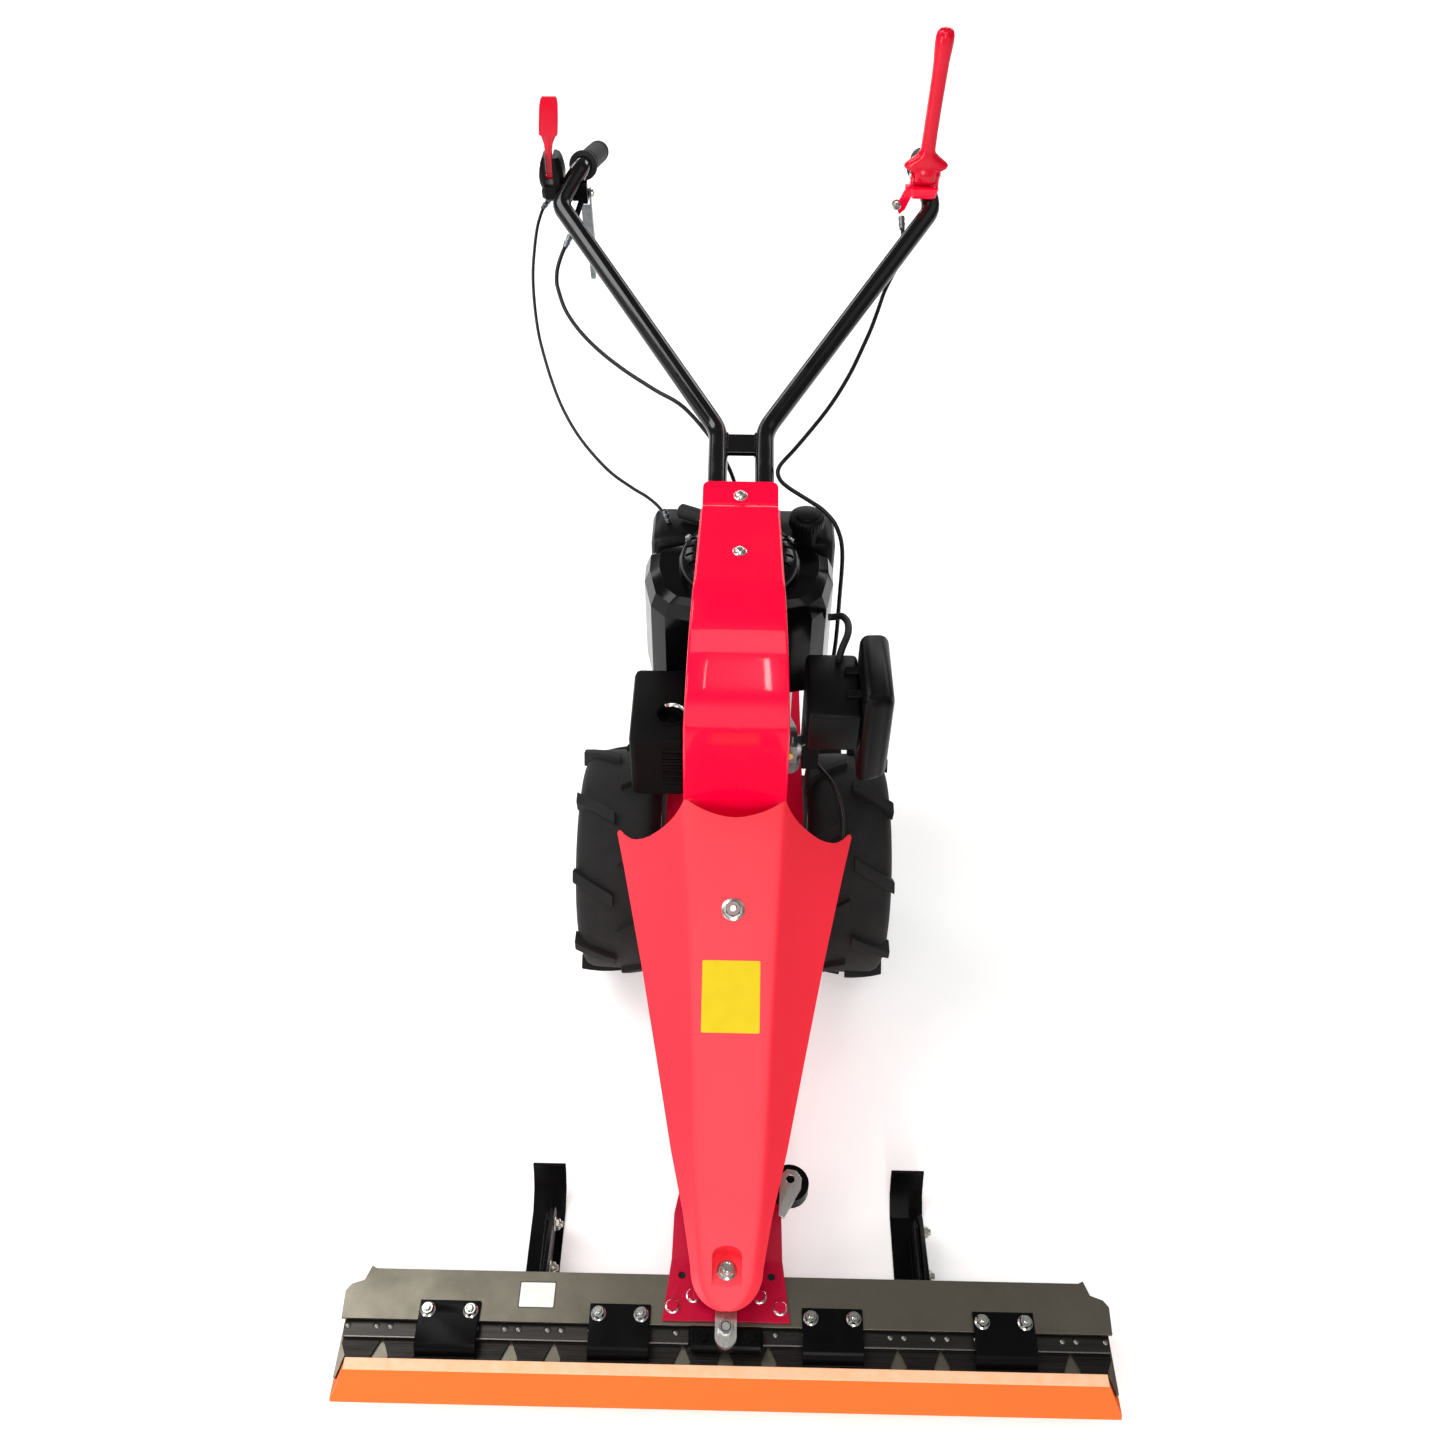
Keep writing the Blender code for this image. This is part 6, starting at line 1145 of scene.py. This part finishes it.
inward = (Vector((0.0, engine_y, 0.602)) - handle_centre).normalized()
# The braid shows as slanting light and dark bands about 4 mm long.
rope_white = finish("braided_polyester_cord", "#D9D6CC", 0.85)
braid = waves(rope_white, 260.0, 2.0, bands_direction="DIAGONAL")
tinted(rope_white, braid, "#A9A69B", "#E6E3DA")
embossed(rope_white, braid, 0.5, 0.0004)
rope_end = Vector((0.0, engine_y, 0.602)) - inward * 0.0786
rope = meshed(tube("starter_rope", [rope_end, handle_centre + inward * 0.006], 0.002, rope_white, 4))
collar = turned(
    "rope_collar", [(0.0, 0.0), (0.0055, 0.0), (0.0048, 0.006), (0.0032, 0.009), (0.0, 0.009)], grip_rubber,
    28, centre=handle_centre + inward * 0.0075, axis=inward
)
starter = joined("starter_pull", [handle, rope, collar])
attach(starter, "starter_handle")
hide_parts("starter_handle")


# Fuel tank: blow-moulded black polyethylene behind the blower housing, its two halves meeting in a
# flat seam, with a screw cap that has finger ribs round its edge.
refined("fuel_tank", black_moulding, 0.0016)
CAP_STEPS = 120
cap_low, cap_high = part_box("fuel_cap")
cap_centre = (cap_low + cap_high) / 2
ribbed = [
    (0.0, 0.019), (0.014, 0.019), (0.015, 0.0186), (0.0158, 0.0172), (0.016, 0.016), (0.0195, 0.016),
    (0.0216, 0.0152), (0.0229, 0.0136), (0.0235, 0.0115), (0.0235, 0.0012), (0.0229, 0.0), (0.02, 0.0),
    (0.0, 0.0)
]
cap = turned(
    "fuel_cap_lid", ribbed, black_moulding, CAP_STEPS, centre=(cap_centre.x, cap_centre.y, cap_low.z)
)
for vert in cap.data.vertices:
    out = Vector((vert.co.x - cap_centre.x, vert.co.y - cap_centre.y, 0.0))
    step = round(math.atan2(out.y, out.x) / (2 * math.pi) * CAP_STEPS) % 4
    if out.length > 0.0212 and step < 1:
        vert.co -= out.normalized() * 0.0011
cap.data.update()
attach(cap, "fuel_cap")
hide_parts("fuel_cap")


# Exhaust: a pressed steel silencer in heat-resistant matt black, behind a louvred guard of the same
# finish; a short pipe points up through the guard's hole.
# The paint is dusty at 1 mm and browned by heat in patches of 45 mm.
heat_paint = finish(
    "matt_black_heat_resistant_paint", "#070707", 0.55, tones=(22.0, 4.0, "#050505", "#100E0D"),
    relief=(700.0, 3.0, 0.25, 0.0003), Specular_IOR_Level=0.06
)
refined("muffler", heat_paint, 0.0008)
refined("muffler_guard", heat_paint, 0.0008)
guard_low, guard_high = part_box("muffler_guard")
hole = Vector((-0.0825, -0.026 + AXLE_Y, guard_high.z))
lip = [
    (0.0158, -0.003), (0.019, -0.0002), (0.0196, 0.0012), (0.0188, 0.002), (0.0176, 0.0014), (0.0158, -0.001)
]
rim = turned("outlet_rim", lip, heat_paint, 56, centre=hole)
pipe_wall = [(0.0118, -0.013), (0.013, -0.013), (0.013, -0.0025), (0.0124, -0.0015), (0.0118, -0.0025)]
outlet = turned("outlet_pipe", pipe_wall, heat_paint, 48, centre=hole)
# A bright plated crescent on the rim's right edge is a painted highlight.
highlight_arc = [(0.0157, -0.0012), (0.017, 0.0016), (0.0182, 0.0024), (0.0176, 0.0006)]
highlight_crescent = turned("painted_highlight_crescent", highlight_arc, zinc_plate, 24, arc=math.radians(120))
closed(highlight_crescent).data.transform(Matrix.Translation(hole) @ Matrix.Rotation(math.radians(-60), 4, "Z"))
hoods = [rim, outlet, highlight_crescent]
for i in range(6):
    z = 0.431 + 0.03 - i * 0.0115 + 0.0024
    selected()
    place = (-0.0765, guard_low.y + 0.0006, z)
    bpy.ops.mesh.primitive_cylinder_add(
        vertices=20, radius=0.0026, depth=0.034, location=place, rotation=(0.0, math.radians(90), 0.0)
    )
    hoods.append(broken_edges(flush(bpy.context.object, "louvre_hood", heat_paint), 0.0008, 50.0))
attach(joined("guard_fittings", hoods), "machine")


# Air filter: black moulded box on the carburettor, its cover clipped on the right by two wire-like
# latches, and a rubber breather hose that loops from the crankcase into the box's top.
refined("air_filter_base", black_moulding, 0.0014)
cover_low, cover_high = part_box("air_filter_cover")
filter_cover = block("filter_cover", cover_high - cover_low, (cover_low + cover_high) / 2, black_moulding)
for vert in filter_cover.data.vertices:
    if vert.co.x > cover_low.x + 0.01:
        vert.co.y += 0.01 if vert.co.y < 0 else -0.006
        vert.co.z += -0.008 if vert.co.z > 0.5 else 0.006
filter_cover.data.update()
apply(
    filter_cover, "BEVEL", width=0.013, segments=6, limit_method="ANGLE", angle_limit=math.radians(30),
    harden_normals=True
)
bpy.ops.object.shade_smooth_by_angle(angle=math.radians(30))
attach(filter_cover, "machine")
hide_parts("air_filter_cover")
latches = []
for offset in (-0.02, 0.022):
    y = -0.036 + offset + AXLE_Y
    for x, z, width in ((0.1405, 0.5535, 0.016), (0.149, 0.5545, 0.004)):
        latch = block("latch", (width, 0.012, 0.0042), (x, y, z), black_moulding)
        latches.append(broken_edges(latch, 0.001, segments=3))
    for step in range(3):
        rib = block("latch_rib", (0.0014, 0.01, 0.0016), (0.1355 + 0.004 * step, y, 0.5562), black_moulding)
        latches.append(broken_edges(rib, 0.0004))
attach(joined("filter_latches", latches), "machine")
hose_route = [
    (0.1163, 0.0968, 0.545), (0.1235, 0.0955, 0.5465), (0.133, 0.086, 0.556), (0.138, 0.06, 0.568),
    (0.137, 0.035, 0.572), (0.13, 0.015, 0.568), (0.1262, 0.0065, 0.559), (0.126, 0.006, 0.5523)
]
hose_line = smooth_route([(x, y + AXLE_Y, z) for x, y, z in hose_route], 6)
hose = meshed(tube("breather_loop", hose_line, 0.0045, grip_rubber, 8))
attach(hose, "machine")
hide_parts("breather_hose")


# Handlebar: two bent 25 mm steel tubes in gloss black powder coat, welded to a cross plate and to
# a mounting plate that is bolted under the column's tab.
gloss_black = finish(
    "gloss_black_powder_coat_on_steel", "#070708", 0.2, Specular_IOR_Level=0.35, Coat_Weight=0.25,
    Coat_Roughness=0.05
)
# The coat shows a faint peel of 3 mm and duller scuffs where cables rub.
dulled(gloss_black, noise(gloss_black, 26.0, 6.0), 0.14, 0.32, **{"From Min": 0.45, "From Max": 0.75})
embossed(gloss_black, noise(gloss_black, 330.0, 2.0), 0.08, 0.0004)
TUBE_RISE = 0.2312
grip_places = {
    -1: (Vector((-0.23, 0.65, 0.895)), Vector((-0.2175, 0.7694, 0.869))),
    1: (Vector((0.2445, 0.65, 0.899)), Vector((0.2587, 0.7694, 0.8645))),
}


def tube_height(y):
    """Height of the tubes' middle line where they run under the tab."""
    return 0.66488 + (y - 0.2002) * TUBE_RISE


def rounded_corner(before, corner, after, reach):
    """Points of a smooth bend in place of a sharp corner."""
    start = corner + (before - corner).normalized() * reach
    end = corner + (after - corner).normalized() * reach
    return [
        start * (1 - t) ** 2 + corner * (2 * t * (1 - t)) + end * t**2 for t in [i / 10 for i in range(11)]
    ]


def tube_line(side):
    """The middle line of one handle tube, from under the column to inside its grip."""
    foot = Vector((side * 0.0305, 0.062, tube_height(0.062)))
    spread = Vector((side * 0.0305, 0.3046, tube_height(0.3046)))
    elbow = Vector((side * 0.259, 0.594, 0.8652))
    start, end = grip_places[side]
    way = (end - start).normalized()
    grip_bend = start - way * 0.01
    line = [
        foot, *rounded_corner(foot, spread, elbow, 0.018), *rounded_corner(spread, elbow, grip_bend, 0.015)
    ]
    line += [*rounded_corner(elbow, grip_bend, end, 0.01), end - way * 0.005]
    return [point + Vector((0.0, AXLE_Y, 0.0)) for point in line]


tubes = [meshed(tube("handle_tube", tube_line(side), 0.0127, gloss_black, 10)) for side in (-1, 1)]
lean = math.atan(TUBE_RISE)
for name, size, y in (
    ("cross_plate", (0.061, 0.033, 0.008), 0.28), ("mount_plate", (0.061, 0.1303, 0.005), 0.1255)
):
    plate = block(name, size, (0.0, y + AXLE_Y, tube_height(y)), gloss_black, (lean, 0.0, 0.0))
    tubes.append(broken_edges(plate, 0.0015, segments=3))
# Weld beads run along both ends of the cross plate.
for side in (-1, 1):
    for edge in (-1, 1):
        bead = []
        for i in range(13):
            y = 0.2645 + 0.031 * i / 12
            bead.append((side * (0.0188 - 0.0006 * (i % 2)), y + AXLE_Y, tube_height(y) + edge * 0.0046))
        tubes.append(meshed(tube("weld_bead", bead, 0.0016, gloss_black, 4)))
for y, seat, rise in ((0.0742, 0.6668, 0.0464), (0.1768, 0.6759, TUBE_RISE)):
    direction = Vector((0.0, -rise, 1.0)).normalized()
    top = Vector((0.0, y + AXLE_Y, seat)) - direction * 0.0036
    low = tube_height(y) - top.z
    profile = [(0.0, low), (0.009, low), (0.009, -0.0006), (0.0084, 0.0), (0.0, 0.0)]
    tubes.append(turned("spacer", profile, zinc_plate, 32, centre=top, axis=direction))
handlebar = joined("handlebar_weldment", tubes)
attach(handlebar, "machine")
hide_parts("handlebar")
# Grips: black rubber sleeves with a thumb flange at the front and fine grooves along them.
GRIP_STEPS = 96
for name, side in (("left", -1), ("right", 1)):
    start, end = (point + Vector((0.0, AXLE_Y, 0.0)) for point in grip_places[side])
    length = (end - start).length
    profile = [
        (0.0, length), (0.009, length - 0.0004), (0.0128, length - 0.0022), (0.015, length - 0.006),
        (0.0155, length - 0.011), (0.0155, length - 0.016), (0.0143, length - 0.0175),
        (0.0143, length - 0.019), (0.0155, length - 0.0205), (0.0155, 0.034), (0.0143, 0.0325),
        (0.0143, 0.031), (0.0155, 0.0295), (0.0152, 0.016), (0.0158, 0.012), (0.0185, 0.0095),
        (0.02, 0.007), (0.02, 0.0045), (0.019, 0.0032), (0.0131, 0.003), (0.0131, length - 0.0045),
        (0.0, length - 0.0045)
    ]
    grip = turned(f"grip_{name}_sleeve", profile, grip_rubber, GRIP_STEPS)
    for vert in grip.data.vertices:
        around = round(math.atan2(vert.co.y, vert.co.x) / (2 * math.pi) * GRIP_STEPS)
        if 0.02 < vert.co.z < length - 0.012 and Vector(vert.co.xy).length > 0.015 and around % 4 == 0:
            vert.co.xy = vert.co.xy * 0.955
    aim = (end - start).to_track_quat("Z", "Y").to_matrix().to_4x4()
    grip.data.transform(Matrix.Translation(start) @ aim)
    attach(grip, "machine")
    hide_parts(f"grip_{name}")


# Throttle: a faceted black moulding clamped to the left tube, with a red moulded thumb lever whose
# wide pad faces forward above a ribbed neck.
def lofted(name, rings, material):
    """A closed skin over rings of points, capped at both ends."""
    selected()
    bpy.ops.mesh.primitive_grid_add(x_subdivisions=len(rings[0]), y_subdivisions=len(rings) - 1, size=1.0)
    piece = bpy.context.object
    for vert, point in zip(piece.data.vertices, [point for ring in rings for point in [*ring, ring[0]]]):
        vert.co = point
    return flush(closed(piece, merge=0.00001), name, material)


def faceted_ring(middle, half_x, half_y, corner):
    """A rectangle with its corners cut off, level at its middle."""
    x, y = half_x - corner, half_y - corner
    outline = [
        (half_x, -y), (half_x, y), (x, half_y), (-x, half_y), (-half_x, y), (-half_x, -y), (-x, -half_y),
        (x, -half_y)
    ]
    return [Vector(middle) + Vector((a, b, 0.0)) for a, b in outline]


throttle_pivot = Vector((-0.2734, 0.63 + AXLE_Y, 0.8902))
rings = []
for z, half_x, half_y, corner in (
    (-0.031, 0.0105, 0.015, 0.005), (-0.027, 0.0148, 0.0186, 0.0055), (-0.017, 0.0152, 0.0196, 0.005),
    (-0.0125, 0.014, 0.019, 0.0045), (-0.005, 0.0166, 0.0199, 0.005), (0.004, 0.017, 0.02, 0.005),
    (0.013, 0.016, 0.0197, 0.006), (0.023, 0.0138, 0.0184, 0.006), (0.029, 0.0112, 0.016, 0.005)
):
    rings.append(faceted_ring(throttle_pivot + Vector((0.003, 0.001, z)), half_x, half_y, corner))
housing = lofted("throttle_housing_body", rings, black_moulding)
arm_place = throttle_pivot + Vector((0.019, -0.009, -0.024))
arm = block("throttle_arm", (0.016, 0.018, 0.012), arm_place, black_moulding)
broken_edges(arm, 0.002, segments=3)
tube_room = meshed(tube("room", tube_line(-1), 0.013, black_moulding, 10))
apply(arm, "BOOLEAN", operation="DIFFERENCE", object=tube_room, solver="EXACT")
carved(housing, tube_room)
slot = block("slot", (0.0112, 0.06, 0.05), throttle_pivot + Vector((0.0, 0.001, 0.016)), black_moulding)
broken_edges(carved(housing, slot), 0.0007, 25.0)
pin = turned(
    "throttle_pin", [(0.0, -0.0122), (0.0024, -0.0122), (0.0024, 0.0122), (0.0, 0.0122)], zinc_plate, 24,
    centre=throttle_pivot, axis=ACROSS
)
housing = joined("throttle_housing_body", [housing, arm, pin])
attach(housing, "machine")
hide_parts("throttle_housing")
# Injection moulding leaves gentle sink marks some 8 mm long, and thumb wear dulls patches.
red_lever = finish(
    "gloss_moulded_red_nylon", "#DC0029", 0.2, sheen=(120.0, 2.0, 0.14, 0.3),
    relief=(120.0, 2.0, 0.12, 0.0008), Specular_IOR_Level=0.25, Coat_Weight=0.12, Coat_Roughness=0.06
)


def pad_ring(z, half_x, front, back, corner=0.0012):
    """A ring of the thumb lever, which leans outwards above its hub."""
    middle = throttle_pivot + Vector((max(z - 0.032, 0.0) * 0.09, (front + back) / 2, z))
    return faceted_ring(middle, half_x, (back - front) / 2, corner)


rings = []
for z, half_x, front, back in (
    (0.0, 0.0048, -0.0035, 0.0035), (0.034, 0.0048, -0.0035, 0.0035), (0.044, 0.0062, -0.0036, 0.0042),
    (0.053, 0.0094, -0.0038, 0.005), (0.056, 0.012, -0.004, 0.0052), (0.0572, 0.0128, -0.0072, 0.0052),
    (0.072, 0.013, -0.0066, 0.0048), (0.085, 0.0128, -0.0056, 0.0042), (0.096, 0.0124, -0.0044, 0.0038),
    (0.103, 0.0112, -0.0034, 0.0034), (0.106, 0.0092, -0.002, 0.0028)
):
    rings.append(pad_ring(z, half_x, front, back))
pad = lofted("throttle_pad", rings, red_lever)
rib_rows = ((0.034, 0.0012), (0.045, 0.0013), (0.0565, 0.0015))
rib_rings = [pad_ring(z, half_x, -0.0052, 0.0, 0.0006) for z, half_x in rib_rows]
neck_rib = lofted("neck_rib", rib_rings, red_lever)
hub = turned(
    "throttle_hub", [(0.0031, -0.0048), (0.0056, -0.0048), (0.0056, 0.0048), (0.0031, 0.0048)], red_lever, 40,
    centre=throttle_pivot, axis=ACROSS
)
bore = turned(
    "bore", [(0.0, -0.02), (0.0032, -0.02), (0.0032, 0.02), (0.0, 0.02)], red_lever, 24,
    centre=throttle_pivot, axis=ACROSS
)
broken_edges(carved(pad, bore), 0.0006, 28.0)
lever = joined("throttle_pad", [pad, neck_rib, hub])
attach(lever, "throttle_lever")
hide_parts("throttle_lever")


# Clutch lever: a zinc-plated channel of 2 mm steel under the left grip, on a black bracket with a
# stay rod. Its far end is curled into a loop.
refined("clutch_bracket", black_enamel, 0.0006)
# Handling has dulled the plating in smears of about 8 mm.
dulled_zinc = finish(
    "dulled_zinc_plated_steel", "#74787A", 0.4, tones=(120.0, 3.0, "#5C6062", "#8E9294"), Metallic=1.0
)
refined("clutch_lever", dulled_zinc, 0.0005, 20.0)
clutch_pivot = Vector((-0.2265, 0.64 + AXLE_Y, 0.861))
end = clutch_pivot + Vector((0.0, 0.03, -0.134))
curl = turned(
    "clutch_curl",
    [(0.0066, -0.003), (0.0078, -0.0034), (0.009, -0.003), (0.009, 0.003), (0.0078, 0.0034), (0.0066, 0.003)],
    dulled_zinc, 40, centre=end, axis=ACROSS
)
rivet_head = turned(
    "clutch_rivet", [(0.0, 0.0), (0.0052, 0.0), (0.005, 0.0028), (0.0036, 0.0042), (0.0, 0.0046)], zinc_plate,
    32, centre=clutch_pivot + Vector((0.008, 0.0, 0.0)), axis=ACROSS
)
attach(curl, "clutch_lever")
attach(rivet_head, "machine")


# Knife lever: a tall red moulded lever over the right grip. Its hub flares into a star-shaped collar,
# and its round stem swells at the top. The saddle that carries it is pressed from painted steel.
lever_pivot = Vector((0.2447, 0.603 + AXLE_Y, 0.9085))


def oval_ring(z, half_x, half_y, power, lean_x=0.0):
    """A ring between an oval (power 2) and a rectangle (high power)."""
    ring = []
    for i in range(40):
        c, s = math.cos(2 * math.pi * i / 40), math.sin(2 * math.pi * i / 40)
        x = math.copysign(abs(c) ** (2 / power), c) * half_x
        y = math.copysign(abs(s) ** (2 / power), s) * half_y
        ring.append(lever_pivot + Vector((x + lean_x, y, z)))
    return ring


levels = [
    (-0.0118, 0.015, 0.004, 3.0, 0.0), (-0.0095, 0.0152, 0.0085, 3.0, 0.0),
    (-0.005, 0.0154, 0.0118, 3.0, 0.0), (0.0, 0.0155, 0.0125, 3.0, 0.0), (0.0062, 0.0156, 0.0122, 3.0, 0.0),
    (0.0078, 0.024, 0.0115, 2.2, 0.0), (0.01, 0.0285, 0.0108, 2.0, 0.0), (0.0125, 0.03, 0.0104, 1.9, 0.0),
    (0.0155, 0.0296, 0.0102, 1.9, 0.0), (0.019, 0.0262, 0.0104, 1.9, 0.0),
    (0.023, 0.0212, 0.0106, 2.0, 0.0), (0.027, 0.0158, 0.0106, 2.0, 0.0), (0.03, 0.0124, 0.0104, 2.2, 0.0),
    (0.033, 0.0108, 0.01, 2.4, 0.0), (0.037, 0.01, 0.0097, 2.4, 0.0003), (0.06, 0.0097, 0.0096, 2.4, 0.001),
    (0.095, 0.0098, 0.0096, 2.4, 0.0024), (0.13, 0.0101, 0.0097, 2.3, 0.004),
    (0.148, 0.0106, 0.0099, 2.2, 0.0046), (0.16, 0.0116, 0.0104, 2.1, 0.005),
    (0.17, 0.0123, 0.0107, 2.0, 0.0054), (0.178, 0.0122, 0.0104, 2.0, 0.0057),
    (0.184, 0.0108, 0.0092, 2.0, 0.0059), (0.1872, 0.0084, 0.007, 2.0, 0.006),
    (0.1885, 0.0048, 0.004, 2.0, 0.006)
]
lever = lofted("knife_lever_body", [oval_ring(*level) for level in levels], red_lever)
bore = turned(
    "bore", [(0.0, -0.03), (0.0037, -0.03), (0.0037, 0.03), (0.0, 0.03)], red_lever, 32, centre=lever_pivot,
    axis=ACROSS
)
carved(lever, bore)
bpy.ops.object.shade_smooth_by_angle(angle=math.radians(40.0))
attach(lever, "knife_lever")
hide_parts("knife_lever")
refined("knife_lever_bracket", red_powder_coat, 0.0007, 25.0)
skirt_rings = []
for z, half_x, half_y in (
    (-0.0275, 0.0162, 0.0128), (-0.024, 0.0172, 0.0136), (-0.019, 0.0184, 0.0138), (-0.014, 0.0196, 0.0136)
):
    skirt_rings.append(faceted_ring(lever_pivot + Vector((0.0, 0.0, z)), half_x, half_y, 0.003))
skirt = lofted("saddle_skirt", skirt_rings, red_powder_coat)
tube_room = meshed(tube("room", tube_line(1), 0.013, gloss_black, 10))
broken_edges(carved(skirt, tube_room), 0.0008, 25.0)
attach(skirt, "machine")
cheek_bolt = moved_copy(small_bolt, lever_pivot + Vector((-0.0345, 0.0008, -0.043)), (0.0, -1.0, 0.0))
cheek_nut = moved_copy(small_bolt, lever_pivot + Vector((-0.0345, 0.0052, -0.043)), (0.0, 1.0, 0.0))
pin_heads = [
    turned(
        "pin_head", [(0.0, 0.0), (0.005, 0.0), (0.0048, 0.0014), (0.003, 0.0024), (0.0, 0.0026)], zinc_plate,
        32, centre=lever_pivot + Vector((side * 0.0192, 0.0, 0.0)), axis=(side, 0.0, 0.0)
    )
    for side in (-1, 1)
]
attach(joined("knife_lever_fasteners", [cheek_bolt, cheek_nut, *pin_heads]), "machine")
bpy.data.objects.remove(small_bolt)


# Cable ends: plated steel ferrules crimped on the jackets, each with a threaded adjuster and two
# thin lock nuts where the cable enters its lever bracket or the engine.
def ferrule(first, second, radius):
    """A crimped end with two rings, its mouth at first and its jacket going towards second."""
    along = (Vector(second) - Vector(first)).normalized()
    profile = [
        (radius, -0.003), (radius + 0.0016, -0.003), (radius + 0.0016, 0.002), (radius + 0.001, 0.0026),
        (radius + 0.001, 0.006), (radius + 0.0017, 0.0066), (radius + 0.0017, 0.0096),
        (radius + 0.001, 0.0102), (radius + 0.001, 0.015), (radius, 0.0156)
    ]
    return turned("ferrule", profile, dulled_zinc, 32, centre=Vector(first), axis=along)


ends = []
for points, radius, both in (
    (throttle_points, 0.0022, True), (clutch_points, 0.0028, False), (knife_points, 0.0028, False)
):
    route = [Vector((x, y + AXLE_Y, z)) for x, y, z in points]
    ends.append(ferrule(route[0] + (route[1] - route[0]).normalized() * 0.0032, route[1], radius + 0.0001))
    if both:
        ends.append(
            ferrule(route[-1] + (route[-2] - route[-1]).normalized() * 0.0032, route[-2], radius + 0.0001)
        )
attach(joined("cable_ferrules", ends), "machine")
